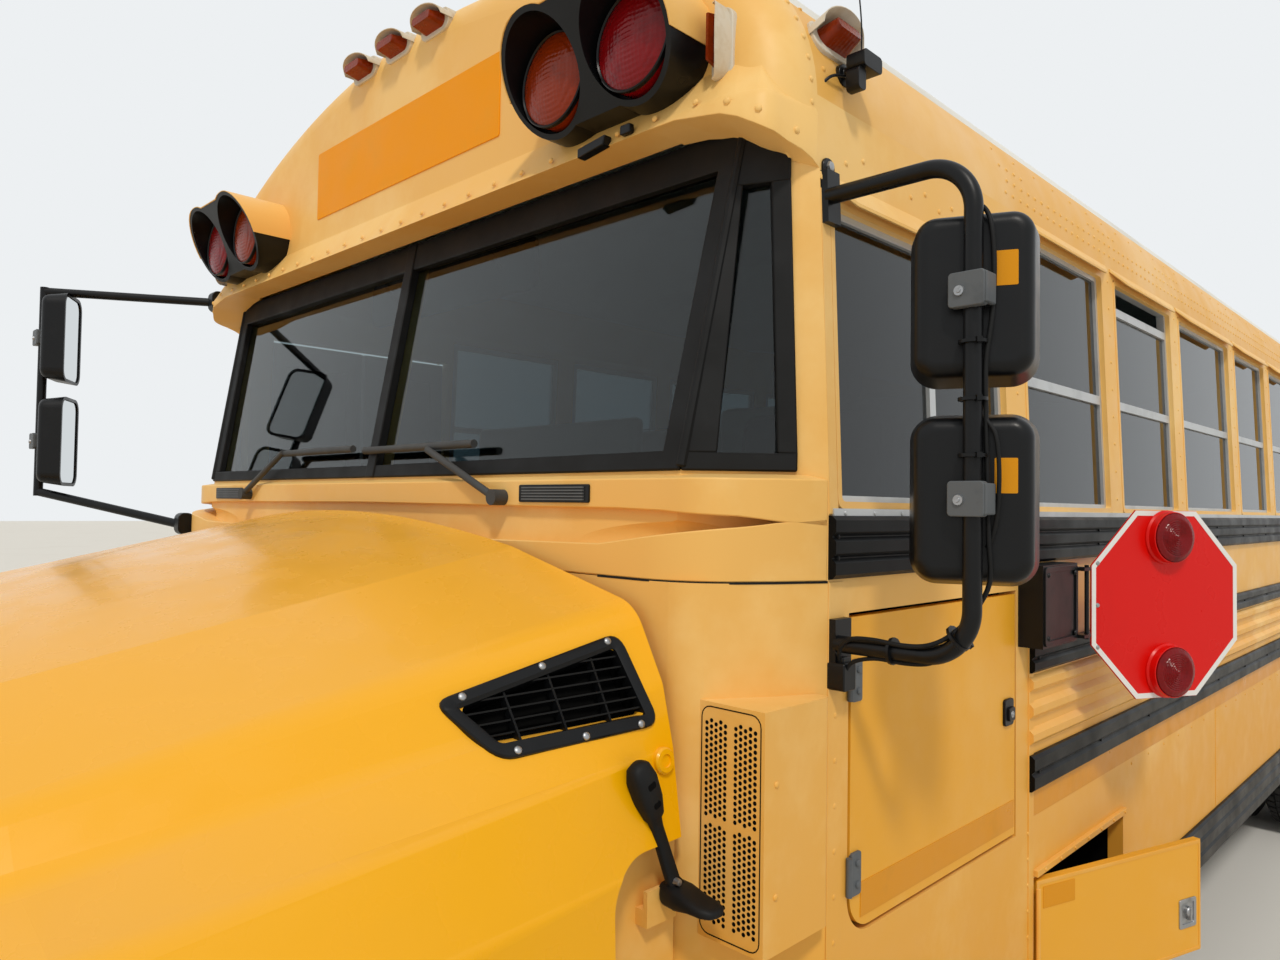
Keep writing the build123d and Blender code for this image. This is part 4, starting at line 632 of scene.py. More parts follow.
class Shape:
    """Points and faces of one piece, gathered before it becomes a Blender object."""

    def __init__(self, frame: Matrix | None = None) -> None:
        """Start empty, with points given in a frame.

        Args:
            frame: where the shape's points are given; the bus's own frame if none.
        """
        self.points: list[Vector] = []
        self.faces: list[tuple[int, ...]] = []
        self.at(frame)

    def at(self, frame: Matrix | None = None) -> Shape:
        """Give the following points in another frame, or in the bus's own."""
        self.frame = frame or Matrix.Identity(4)
        return self

    def add(self, points: Iterable[Point], faces: Iterable[Sequence[int]]) -> Shape:
        """Add points in the current frame, and faces by their numbers.

        Args:
            points: the new points.
            faces: rows of point numbers, counted from the first new point.

        Returns:
            This shape.
        """
        first = len(self.points)
        self.points.extend(self.frame @ Vector(p) for p in points)
        self.faces.extend(tuple(first + i for i in face) for face in faces)
        return self

    def skin(self, rings: Sequence[Sequence[Point]], closed: bool = True, caps: bool = True) -> Shape:
        """Join rings of equal length with faces.

        Args:
            rings: rows of points.
            closed: whether each ring closes on itself.
            caps: whether the first and last ring are filled.

        Returns:
            This shape.
        """
        count = len(rings[0])
        faces = []
        for row in range(0, (len(rings) - 1) * count, count):
            for i in range(count if closed else count - 1):
                j = (i + 1) % count
                faces.append((row + i, row + j, row + count + j, row + count + i))
        if caps:
            faces += [range(count), range((len(rings) - 1) * count, len(rings) * count)]
        return self.add([p for points in rings for p in points], faces)

    def plate(self, outline: Outline, low: float, high: float) -> Shape:
        """Plate with a flat outline, from low to high out of the frame."""
        return self.skin([[(x, y, z) for x, y in outline] for z in (low, high)])

    def slab(self, size: Point, low: float, high: float, x: float = 0.0, y: float = 0.0) -> Shape:
        """Plate with round corners, its size given as width, height and corner radius."""
        return self.plate(rounded(*size, x, y), low, high)

    def hoop(self, outer: Outline, inner: Outline, low: float, high: float) -> Shape:
        """Flat ring between two outlines.

        Args:
            outer: outside outline.
            inner: inside outline, with as many points.
            low: lower face's distance out of the frame.
            high: upper face's distance.

        Returns:
            This shape.
        """
        edges = ((outer, low), (outer, high), (inner, high), (inner, low), (outer, low))
        return self.skin([[(x, y, z) for x, y in line] for line, z in edges], caps=False)

    def rim(self, outer: Point, inner: Point, low: float, high: float, x: float = 0.0, y: float = 0.0) -> Shape:
        """Flat ring between two rectangles with round corners.

        Args:
            outer: width, height and corner radius outside.
            inner: those inside.
            low: lower face's distance out of the frame.
            high: upper face's distance.
            x: centre along the run.
            y: centre up.

        Returns:
            This shape.
        """
        return self.hoop(rounded(*outer, x, y), rounded(*inner, x, y), low, high)

    def block(self, low: Point, high: Point) -> Shape:
        """Box by its lowest and highest corners in the current frame."""
        (x0, y0, z0), (x1, y1, z1) = low, high
        return self.plate([(x0, y0), (x1, y0), (x1, y1), (x0, y1)], z0, z1)

    def flank(self, side: int, x: Point, y: Point, z: Point) -> Shape:
        """Box on one side of the bus.

        Args:
            side: 1 for the left side, -1 for the right.
            x: its two distances from the bus's middle.
            y: its front and rear.
            z: its bottom and top.

        Returns:
            This shape.
        """
        near, far = sorted((side * x[0], side * x[1]))
        return self.block((near, y[0], z[0]), (far, y[1], z[1]))

    def lathe(self, profile: Outline, steps: int = 24, x: float = 0.0, y: float = 0.0) -> Shape:
        """Turned form about the frame's out direction.

        Args:
            profile: radius and distance out of each ring; a radius of 0 closes an end.
            steps: points round.
            x: centre along the run.
            y: centre up.

        Returns:
            This shape.
        """
        rings = [[(px, py, out) for px, py in circle(radius, steps, x, y)] for radius, out in profile]
        return self.skin(rings, caps=False)

    def dome(self, centre: Point, normal: Point, radius: float, height: float, steps: int = 6) -> Shape:
        """Rivet or button head.

        Args:
            centre: middle of its foot.
            normal: direction it stands in.
            radius: radius of its foot.
            height: how far it stands out.
            steps: points round.

        Returns:
            This shape.
        """
        out = Vector(normal).normalized()
        side = out.orthogonal().normalized()
        # Share of the radius and of the height at each ring
        rows = ((1.0, -0.3), (0.93, 0.45), (0.6, 0.87), (0.0, 1.0))
        return self.skin([ring(Vector(centre) + out * height * rise, side, out.cross(side), radius * reach,
                               steps)
                          for reach, rise in rows], caps=False)

    def tube(self, path: Sequence[Point], radius: float, steps: int = 10) -> Shape:
        """Round bar along a path, with closed ends.

        Args:
            path: its middle line.
            radius: its radius.
            steps: points round.

        Returns:
            This shape.
        """
        line = [Vector(p) for p in path]
        side = (line[1] - line[0]).orthogonal().normalized()
        rings = []
        for i, point in enumerate(line):
            way = (line[min(i + 1, len(line) - 1)] - line[max(i - 1, 0)]).normalized()
            side = (side - way * side.dot(way)).normalized()
            rings.append(ring(point, side, way.cross(side), radius, steps))
        return self.skin(rings)

    def ribbon(self, corners: Sequence[Point], out: Point, thick: float, sink: float = 0.002) -> Shape:
        """Strip between four corners, raised along a direction.

        Args:
            corners: low start, low end, high end and high start.
            out: direction it stands out in.
            thick: how far it stands out.
            sink: how far it reaches in.

        Returns:
            This shape.
        """
        way = Vector(out).normalized()
        return self.skin([[Vector(p) + way * reach for p in corners] for reach in (-sink, thick)])

    def piece(self, name: str, finish: Finish, body: str = "chassis", bevel: float = 0.0, sharp: float = 32.0,
              slot: str = "") -> Item:
        """Make the Blender object, with its finish, on its body.

        Args:
            name: the piece's name.
            finish: its surface finish.
            body: the body that carries it.
            bevel: width of its softened edges.
            sharp: angle in degrees above which an edge stays crisp.
            slot: the record's material slot, where it isn't the finish's own; not used.

        Returns:
            The object.
        """
        mesh = bpy.data.meshes.new(name)
        mesh.from_pydata([tuple(p) for p in self.points], [], self.faces)
        work = bmesh.new()
        work.from_mesh(mesh)
        bmesh.ops.remove_doubles(work, verts=work.verts, dist=2e-6)
        bmesh.ops.recalc_face_normals(work, faces=work.faces)
        work.to_mesh(mesh)
        work.free()
        mesh.shade_smooth()
        mesh.set_sharp_from_angle(angle=math.radians(sharp))
        mesh.materials.append(finish.material())
        item = link(name, mesh)
        if bevel:
            edge = item.modifiers.new("softened edges", "BEVEL")
            edge.width = bevel
            edge.segments = 2
            edge.limit_method = "ANGLE"
            edge.angle_limit = math.radians(40)
        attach(item, body)
        log.info("%s: %d faces on %s", name, len(mesh.polygons), body)
        return item


@dataclass
class Studio:
    """Camera at the photograph's place, pale floor, even surroundings and one wide lamp."""

    lens_mm: float = 25.3125
    sensor_mm: float = 36.0
    eye: Point = (2.04, -4.645, 1.82)
    right: Point = (0.710629, 0.703412, 0.014771)
    up: Point = (0.010120, -0.031211, 0.999462)
    lamp_from: Point = (0.465, -0.45, 0.76)
    lamp_strength: float = 1.42
    lamp_angle: float = 7.0
    fill: float = 0.64
    floor_size: float = 160.0

    def build(self) -> None:
        """Make the camera first, then the floor, the surroundings and the lamp."""
        self.camera()
        self.floor()
        self.surroundings()
        self.lamp()
        bpy.context.scene.view_settings.view_transform = "Standard"

    def camera(self) -> None:
        """Camera at the eye, with its own right and up directions."""
        data = bpy.data.cameras.new("camera")
        data.lens = self.lens_mm
        data.sensor_width = self.sensor_mm
        data.clip_start = 0.05
        data.clip_end = 400
        item = link("camera", data)
        right, up = Vector(self.right), Vector(self.up)
        turn = Matrix((right, up, right.cross(up))).transposed().to_4x4()
        item.matrix_world = Matrix.Translation(Vector(self.eye)) @ turn
        bpy.context.scene.camera = item

    def floor(self) -> None:
        """Wide pale concrete floor, finely trowelled."""
        half = self.floor_size / 2
        mesh = bpy.data.meshes.new("floor_plane")
        corners = [(-half, -half, 0), (half, -half, 0), (half, half, 0), (-half, half, 0)]
        mesh.from_pydata(corners, [], [(0, 1, 2, 3)])
        mesh.materials.append(CONCRETE.material())
        item = link("floor_plane", mesh)

    def surroundings(self) -> None:
        """Pale backdrop where the camera, gloss and glass look, and softer fill for the rest."""
        world = bpy.data.worlds.new("surroundings")
        bpy.context.scene.world = world
        world.use_nodes = True
        tree = world.node_tree
        shown = add_node(tree, "Background", {"Color": linear("#EDF0F2"), "Strength": 1.0})
        filling = add_node(tree, "Background", {"Color": linear("#FBF7EE"), "Strength": self.fill})
        rays = add_node(tree, "LightPath").outputs
        seen = calculate(tree, "MAXIMUM", rays["Is Camera Ray"], rays["Is Glossy Ray"])
        seen = calculate(tree, "MAXIMUM", seen, rays["Is Transmission Ray"])
        mixed = add_node(tree, "MixShader", {0: seen, 1: filling.outputs[0], 2: shown.outputs[0]})
        tree.links.new(mixed.outputs[0], tree.nodes["World Output"].inputs["Surface"])

    def lamp(self) -> None:
        """One wide lamp from high on the driver's side."""
        data = bpy.data.lights.new("key_lamp", "SUN")
        data.energy = self.lamp_strength
        data.angle = math.radians(self.lamp_angle)
        data.color = linear("#FFF8EE")[:3]
        link("key_lamp", data).rotation_euler = Vector(self.lamp_from).to_track_quat("Z", "Y").to_euler()


@dataclass
class PaintShop:
    """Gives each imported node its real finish.

    Args:
        nodes_of: each finish with the nodes that take it.
    """

    nodes_of: tuple[tuple[Finish, str], ...] = (
        (FRESH_ENAMEL, "hood"),
        (CHALKED_ENAMEL, "left_side right_side rear_wall front_cap front_frame cowl splash_panels "
                         "perforated_box"),
        (CHALKED_ENAMEL, "rear_door"),
        (DOOR_ENAMEL, "electrical_door battery_door"),
        (ROOF_ENAMEL, "roof"),
        (BLACK_ENAMEL, "rub_rails front_bumper rear_bumper entrance_leaf_front entrance_leaf_rear fuel_tank"),
        (BLACK_ENAMEL, "battery_tray"),
        (UNDERCOAT, "frame_rails cross_members tow_eyes floor_sills"),
        (CAST_IRON, "engine_block front_axle rear_axle knuckle_left knuckle_right"),
        (STEEL, "driveshaft exhaust_pipe"),
        (ALUMINIUM, "radiator window_frames"),
        (FLOOR_RUBBER, "floor entrance_steps"),
        (SEAL_RUBBER, "hood_latches"),
        (TINTED_GLASS, "window_glass"),
        (CLEAR_GLASS, "windshield"),
        (LAMP_GLASS, "headlamps"),
        (AMBER_LENS, "amber_lenses"),
        (RED_LENS, "red_lenses"),
        (RED_SHEETING, "stop_sign"),
        (BLACK_PLASTIC, "lamp_hoods driver_mirrors passenger_mirrors stop_arm_box hood_grilles"),
        (GREY_PLASTIC, "dashboard wiper_left wiper_right"),
        (WHEEL_ENAMEL, "wheel_front_left wheel_front_right wheels_rear_left wheels_rear_right"),
    )

    def build(self, nodes: dict[str, Item]) -> None:
        """Put each finish in its nodes' slots.

        Args:
            nodes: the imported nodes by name.
        """
        for finish, names in self.nodes_of:
            for name in names.split():
                for slot in nodes[name].material_slots:
                    slot.material = finish.material()
                log.info("%s: %s", name, finish.name)


@dataclass
class BodyLine:
    """Cross-section of the body: upright side, leaning window band, shoulder arc and crown arc."""

    half_width: float = 1.219
    eave_x: float = 1.190
    eave_z: float = 2.520
    sill_z: float = 1.820
    shoulder_r: float = 0.360
    crown_z: float = 3.040
    cap_y: float = -3.480
    seam_y: float = -3.375
    rear_y: float = 5.135
    tail_y: float = 5.195

    def __post_init__(self) -> None:
        """Work out the arcs' centres."""
        self.lean = math.atan2(self.half_width - self.eave_x, self.eave_z - self.sill_z)
        self.shoulder_x = self.eave_x - self.shoulder_r * math.cos(self.lean)
        self.shoulder_z = self.eave_z - self.shoulder_r * math.sin(self.lean)
        rise = self.crown_z - self.shoulder_z
        squares = self.shoulder_x ** 2 + rise ** 2 - self.shoulder_r ** 2
        self.crown_r = squares / (2 * (rise - self.shoulder_r))
        self.crown_start = math.atan2(self.shoulder_z - self.crown_z + self.crown_r, self.shoulder_x)

    def wall(self, side: int, z: float) -> tuple[float, Vector]:
        """X and outward direction of the skin at a height.

        Args:
            side: 1 for the left side, -1 for the right.
            z: height, up to the shoulder's top.

        Returns:
            X of the outer face and its normal.
        """
        if z <= self.sill_z:
            return side * self.half_width, Vector((side, 0, 0))
        if z <= self.eave_z:
            x = self.half_width - (z - self.sill_z) * math.tan(self.lean)
            return side * x, Vector((side * math.cos(self.lean), 0, math.sin(self.lean)))
        angle = math.asin(min(1.0, (z - self.shoulder_z) / self.shoulder_r))
        return (side * (self.shoulder_x + self.shoulder_r * math.cos(angle)),
                Vector((side * math.cos(angle), 0, math.sin(angle))))

    def over(self, share: float) -> tuple[float, float, Vector]:
        """Place on the roof from the left eave (0) over the crown to the right eave (1).

        Args:
            share: share of the way over the roof.

        Returns:
            X, Z and the outward direction.
        """
        shoulder = (self.crown_start - self.lean) * self.shoulder_r
        crown = (math.pi - 2 * self.crown_start) * self.crown_r
        run = share * (2 * shoulder + crown)
        if run > shoulder + crown:
            x, z, normal = self.over(1 - share)
            return -x, z, Vector((-normal.x, 0, normal.z))
        if run < shoulder:
            radius, x, z = self.shoulder_r, self.shoulder_x, self.shoulder_z
            angle = self.lean + run / radius
        else:
            radius, angle = self.crown_r, self.crown_start + (run - shoulder) / self.crown_r
            x, z = 0.0, self.crown_z - self.crown_r
        normal = Vector((math.cos(angle), 0, math.sin(angle)))
        return x + radius * normal.x, z + radius * normal.z, normal

    def tail(self, x: float = 0.0, z: float = 0.0) -> Matrix:
        """Flat spot on the tail's outer face, facing back."""
        return place((x, self.tail_y, z), (-1, 0, 0))


BODY = BodyLine()
WALL = BODY.half_width
WINDOW_COUNT = 11
WIDE_WINDOWS = (2, 7)
WINDOW_PITCH = 0.665
WIDE_PITCH = 0.802
FIRST_POST_Y = -2.630
POST = 0.095


def window_spans() -> list[tuple[float, float]]:
    """Front and rear edge of each passenger window along the bus.

    Returns:
        Both edges of each window, from the front.
    """
    spans = []
    post = FIRST_POST_Y
    for number in range(WINDOW_COUNT):
        next_post = post + (WIDE_PITCH if number in WIDE_WINDOWS else WINDOW_PITCH)
        spans.append((post + POST, next_post))
        post = next_post
    return spans


@dataclass
class Rivets:
    """Rivet rows of the body: along the roof band, posts, seams and lower panels."""

    head_r: float = 0.0055
    head_h: float = 0.003
    pitch: float = 0.042
    band_start: float = -2.6
    crown_limit: float = 3.036

    def build(self) -> None:
        """Make the rows on the sides, the roof, the cap and the tail."""
        shape = Shape()
        for side in SIDES:
            self.band(shape, side)
            self.posts(shape, side)
            self.lower(shape, side)
        shape.piece("side_rivets", CHALKED_ENAMEL, sharp=60)
        self.roof_rows().piece("roof_rivets", ROOF_ENAMEL, sharp=60)
        self.cap_rows().piece("cap_rivets", CHALKED_ENAMEL, sharp=60)

    def head(self, shape: Shape, side: int, y: float, z: float, scale: float) -> None:
        """Put one rivet on a side wall."""
        x, normal = BODY.wall(side, z)
        shape.dome((x, y, z), normal, self.head_r * scale, self.head_h * scale)

    def band(self, shape: Shape, side: int) -> None:
        """Two staggered rows over the windows, denser at each post, and one under the roof's joint.

        Args:
            shape: the shape that takes them.
            side: 1 for the left side, -1 for the right.
        """
        posts = [front - POST / 2 for front, _ in window_spans()]
        for i in range(int((BODY.rear_y - 0.05 - self.band_start) / self.pitch)):
            y = self.band_start + i * self.pitch
            self.head(shape, side, y, 2.556, 0.9)
            self.head(shape, side, y + self.pitch / 2, 2.590, 0.9)
            if any(abs(y - post) < 0.13 for post in posts):
                self.head(shape, side, y, 2.624, 0.9)
            if i % 3 == 0:
                self.head(shape, side, y, 2.668, 0.8)
        for i in range(12):
            self.head(shape, side, -3.29 + i * 0.058, 2.425 + 0.02 * (i % 2), 1.0)

    def posts(self, shape: Shape, side: int) -> None:
        """Upright rows on the posts between the windows.

        Args:
            shape: the shape that takes them.
            side: 1 for the left side, -1 for the right.
        """
        for front, _ in window_spans():
            for i in range(9):
                self.head(shape, side, front - POST / 2, 1.86 + i * 0.077, 0.85)

    def lower(self, shape: Shape, side: int) -> None:
        """Upright rows at the front seam and the lower panels' joints, and one along the floor line.

        Args:
            shape: the shape that takes them.
            side: 1 for the left side, -1 for the right.
        """
        for i in range(12):
            self.head(shape, side, -3.352, 1.48 - i * 0.074, 1.15)
        for y in (-2.548 if side == 1 else -2.46, *SideTrim.laps):
            for i in range(6):
                self.head(shape, side, y, 0.80 + i * 0.058, 0.9)
        for front, rear in ((-1.8, 1.2), (2.7, 5.1)):
            for i in range(int((rear - front) / 0.16)):
                self.head(shape, side, front + i * 0.16, 1.105, 0.9)

    def roof_rows(self) -> Shape:
        """Rows over the roof at each bow.

        Returns:
            The rivets.
        """
        shape = Shape()
        front_bow, rear_bow = BODY.seam_y + 0.028, BODY.rear_y - 0.04
        for y in (front_bow, *(front - POST / 2 for front, _ in window_spans()), rear_bow):
            lowest = 0.0 if y == front_bow else 2.76
            for i in range(41):
                x, z, normal = BODY.over(0.02 + 0.96 * i / 40)
                if lowest < z < self.crown_limit:
                    shape.dome((x, y, z), normal, self.head_r, self.head_h)
        return shape

    def cap_rows(self) -> Shape:
        """Rows along the cap's lip, round its corners and up its rear edge.

        Returns:
            The rivets.
        """
        shape = Shape()
        for i in range(23):
            shape.dome((-1.045 + i * 0.095, -3.5215, 2.503), (0, -1, 0.2), self.head_r * 1.1, self.head_h)
        for side in SIDES:
            # Place, then the outward direction in plan
            for x, y, z, out_x, out_y in ((1.113, -3.5205, 2.484, 0.3, -0.95),
                                          (1.162, -3.5003, 2.464, 0.55, -0.83),
                                          (1.1875, -3.430, 2.443, 1, -0.1)):
                shape.dome((side * x, y, z), (side * out_x, out_y, 0.0), self.head_r * 1.2, self.head_h * 1.2)
        for i in range(76):
            x, z, normal = BODY.over(-0.035 + 1.07 * i / 75)
            if z < self.crown_limit:
                shape.dome((x, BODY.seam_y - 0.016, z), normal, self.head_r, self.head_h)
        return shape


@dataclass
class WindscreenTrim:
    """Black rubber seals round the front panes, the divider and the corner pillars.

    Both edges are given in plan at the foot and at the top; the corner facet twists between them.
    """

    foot_z: float = 1.877
    top_z: float = 2.485
    front_edge: tuple[Point, Point] = ((1.030, -3.530), (1.073, -3.419))
    rear_edge: tuple[Point, Point] = ((1.170, -3.395), (1.170, -3.394))
    low: float = 1.881
    high: float = 2.4855
    glass_low: float = 1.911
    glass_high: float = 2.414
    corner_high: float = 2.376
    proud: float = 0.007
    sunk: float = 0.013

    def corner(self, side: int, share: float, z: float) -> Vector:
        """Place on the twisted corner facet.

        Args:
            side: 1 for the left side, -1 for the right.
            share: share of the way from its front edge to its rear edge.
            z: height.

        Returns:
            The point.
        """
        rise = (z - self.foot_z) / (self.top_z - self.foot_z)
        near, far = (Vector(foot).lerp(Vector(top), rise) for foot, top in (self.front_edge, self.rear_edge))
        spot = near.lerp(far, share)
        return Vector((side * spot.x, spot.y, z))

    def front(self, side: int, x: float, z: float) -> Vector:
        """Place on the front plane by X and height."""
        return Vector((side * x, self.corner(side, 0.0, z).y, z))

    def build(self) -> None:
        """Make the seals as one moulding."""
        shape = Shape()
        low, high, glass_low, glass_high, corner_high = (
            self.low, self.high, self.glass_low, self.glass_high, self.corner_high)
        at_low, at_glass, at_top, at_high = (
            self.corner(1, 0.0, z).x for z in (low, glass_low, glass_high, high))
        ahead = Vector((0, -0.984, 0.18))
        outward = Vector((0.70, -0.70, 0.1))
        # X or share of the low inner, low outer, high outer and high inner corner, then both heights
        strips = (
            (self.front, ahead, (0.0, at_low, at_glass, 0.0), low, glass_low),
            (self.front, ahead, (0.0, at_top, at_high, 0.0), glass_high, high),
            (self.front, ahead, (0.988, at_glass, at_top, 1.026), glass_low, glass_high),
            (self.corner, outward, (0.0, 0.29, 0.13, 0.0), glass_low, corner_high),
            (self.corner, outward, (0.0, 1.0, 1.0, 0.0), low, glass_low),
            (self.corner, outward, (0.0, 0.86, 0.84, 0.0), corner_high - 0.002, high),
            (self.corner, outward, (0.82, 1.0, 0.86, 0.56), glass_low, corner_high),
        )
        for side in SIDES:
            for spot, out, across, z0, z1 in strips:
                corners = [spot(side, value, z) for value, z in zip(across, (z0, z0, z1, z1))]
                shape.ribbon(corners, (side * out.x, out.y, out.z), self.proud, self.sunk)
            bead = [self.corner(side, 0.0, z) + Vector((side * 0.001, -0.002, 0))
                    for z in (low + 0.006, high - 0.009)]
            shape.tube(bead, 0.0095, 10)
        divider = [self.front(1, x, z) for x, z in ((-0.020, low), (0.020, low), (0.020, high), (-0.020, high))]
        shape.ribbon(divider, ahead, self.proud + 0.003, self.sunk)
        shape.piece("windshield_seals", SEAL_RUBBER, bevel=0.003)


@dataclass
class SideWindows:
    """Drip hoods over the side windows and the windows' painted edges."""

    hood_out: float = 0.026
    hood: tuple[float, float] = (2.516, 2.478)
    opening: tuple[float, float] = (1.823, 2.488)
    driver_hood: tuple[float, float] = (2.386, 2.340)
    driver_opening: tuple[float, float] = (1.823, 2.348)
    driver_span: tuple[float, float] = (-3.345, -2.640)

    def build(self) -> None:
        """Make the hoods and painted edges of both sides."""
        hoods, edges = Shape(), Shape()
        for side in SIDES:
            for span in window_spans():
                self.drip_hood(hoods, side, span, self.hood)
                self.edge(edges, side, span, self.opening)
        self.drip_hood(hoods, 1, self.driver_span, self.driver_hood)
        self.edge(edges, 1, self.driver_span, self.driver_opening)
        hoods.piece("window_drip_hoods", CHALKED_ENAMEL, bevel=0.0015)
        edges.piece("window_painted_edges", CHALKED_ENAMEL)

    def drip_hood(self, shape: Shape, side: int, span: Point, heights: Point) -> None:
        """One pressed drip hood, wedge-shaped, with slanted ends.

        Args:
            shape: the shape that takes it.
            side: 1 for the left side, -1 for the right.
            span: the window's front and rear edge along the bus.
            heights: heights of the hood's root and of its drip edge.
        """
        (front, rear), (top, low) = span, heights
        (x_top, _), (x_low, _) = BODY.wall(side, top), BODY.wall(side, low)
        rings = []
        # Place along the bus, then shares of the full reach and of the full drop
        for y, share, drop in ((front - 0.030, 0.003, 0.25), (front + 0.045, 1.0, 1.0),
                               (rear - 0.045, 1.0, 1.0),
                               (rear + 0.030, 0.003, 0.25)):
            reach = self.hood_out * share + 0.002
            lip = top - (top - low) * drop
            section = ((x_top, -0.004, top), (x_top, 0.002, top + 0.002), (x_low, reach, lip + 0.006),
                       (x_low, reach, lip),
                       (x_low, max(reach - 0.004, 0.001), lip), (x_top, -0.004, top - 0.006))
            rings.append([(x + side * out, y, z) for x, out, z in section])
        shape.skin(rings)

    def edge(self, shape: Shape, side: int, span: Point, heights: Point) -> None:
        """Painted edge in the joint between a window's frame and the wall.

        Args:
            shape: the shape that takes it.
            side: 1 for the left side, -1 for the right.
            span: front and rear edge along the bus.
            heights: lower and upper height.
        """
        (front, rear), (low, high) = span, heights
        wide, tall, middle = rear - front, high - low, (low + high) / 2
        x, normal = BODY.wall(side, middle)
        shape.at(facing((x, (front + rear) / 2, middle), Vector((0, side, 0)), normal))
        shape.rim((wide + 0.004, tall + 0.004, 0.016), (wide - 0.020, tall - 0.020, 0.010), -0.014, 0.0015)


@dataclass
class FrontCap:
    """The cap's blank legend board, the yellow tops of the lamp hoods, and its small fittings.

    Each row of the arch holds X, Y and Z of the valance's outer edge, then those of its inner edge.
    """

    board: Point = (0.436, 2.63, 2.82)
    rear_board_z: float = 2.69
    lamps_x: tuple[float, float] = (0.725, 0.940)
    lamp_z: float = 2.630
    rear_lamp_z: float = 2.670
    hood_r: float = 0.107
    arch: tuple[tuple[float, float, float, float, float, float], ...] = (
        (0.940, -3.5253, 2.4846, 0.940, -3.432, 2.4846), (1.000, -3.5253, 2.4835, 1.000, -3.432, 2.4780),
        (1.040, -3.5253, 2.4764, 1.030, -3.431, 2.4710), (1.070, -3.5253, 2.4712, 1.055, -3.430, 2.4670),
        (1.1005, -3.5243, 2.4660, 1.075, -3.428, 2.4600), (1.1295, -3.5147, 2.4560, 1.092, -3.424, 2.4490),
        (1.1565, -3.5029, 2.4411, 1.108, -3.419, 2.4371), (1.1663, -3.4970, 2.4354, 1.118, -3.416, 2.4314),
        (1.1734, -3.4892, 2.4314, 1.127, -3.413, 2.4274), (1.1783, -3.4798, 2.4288, 1.135, -3.411, 2.4248),
        (1.1806, -3.4695, 2.4258, 1.142, -3.408, 2.4217), (1.1822, -3.4500, 2.4214, 1.151, -3.404, 2.4165),
        (1.1902, -3.4200, 2.4140, 1.163, -3.399, 2.4050), (1.1950, -3.3950, 2.4040, 1.173, -3.390, 2.4000),
        (1.1956, -3.3800, 2.3950, 1.182, -3.380, 2.3960),
    )

    def build(self) -> None:
        """Make every fitting of the cap and the same board at the tail."""
        half, low, high = self.board
        for name, spot in (("front", place((0, BODY.cap_y, (low + high) / 2), (1, 0, 0))),
                           ("rear", BODY.tail(0, self.rear_board_z))):
            board = Shape(spot).slab((2 * half, high - low, 0.006), -0.004, 0.0025)
            board.piece(f"legend_board_{name}", ORANGE_SHEETING, bevel=0.0008)
        self.visor_skins()
        self.valances()
        self.lip_clips()
        self.roof_camera()
        self.markers()

    def valances(self) -> None:
        """Arched valance under the lip at both corners, down to the roof's seam."""
        shape = Shape()
        last = len(self.arch) - 1
        for side in SIDES:
            rows = []
            for i, (x, y, low, back_x, back_y, back) in enumerate(self.arch):
                before, after = self.arch[max(0, i - 1)], self.arch[min(i + 1, last)]
                inward = Vector((before[1] - after[1], after[0] - before[0])).normalized() * 0.0080
                section = ((x + inward.x, y + inward.y, 2.500), (x, y, 2.486), (x, y, low),
                           (back_x, back_y, back),
                           (back_x, back_y, 2.488))
                rows.append([(side * px, py, pz) for px, py, pz in section])
            shape.skin(rows)
        shape.piece("cap_valances", CHALKED_ENAMEL, bevel=0.002, sharp=50)

    def visor_skins(self) -> None:
        """Yellow skin over the top and outer side of each pair of lamp hoods."""
        shape = Shape()
        near, far = self.lamps_x
        meet = math.asin(0.096 / self.hood_r)
        first, last = math.pi * 1.06, -0.2
        line = [(near, first + (meet - first) * i / 12) for i in range(13)]
        line += [(far, math.pi - meet - (math.pi - meet - last) * i / 12) for i in range(13)]
        for face_y, way, lamp_z in ((BODY.cap_y, -1, self.lamp_z), (BODY.tail_y, 1, self.rear_lamp_z)):
            for side in SIDES:
                rings = []
                for grow, root in ((0.0004, True), (0.0004, False), (0.0024, False), (0.0024, True)):
                    points = []
                    for centre, angle in line:
                        rise = (self.hood_r + grow) * math.sin(angle)
                        depth = -0.01 if root else min(0.168, 0.117 + 0.478 * rise + 0.002)
                        x = centre + (self.hood_r + grow) * math.cos(angle)
                        points.append((side * x, face_y + way * depth, lamp_z + rise))
                    rings.append(points)
                shape.skin([*rings, rings[0]], closed=False, caps=False)
        shape.piece("lamp_hood_tops", CHALKED_ENAMEL, sharp=40)

    def lip_clips(self) -> None:
        """Black clip on the lip."""
        shape = Shape(place((0.800, -3.524, 2.487), (1, 0, 0)))
        shape.plate([(-0.035, -0.012), (0.035, -0.004), (0.040, 0.014), (-0.035, 0.006)], -0.004, 0.016)
        shape.slab((0.026, 0.018, 0.004), -0.004, 0.008, 0.085, 0.013)
        shape.piece("lip_clips", BLACK_PLASTIC, bevel=0.002)

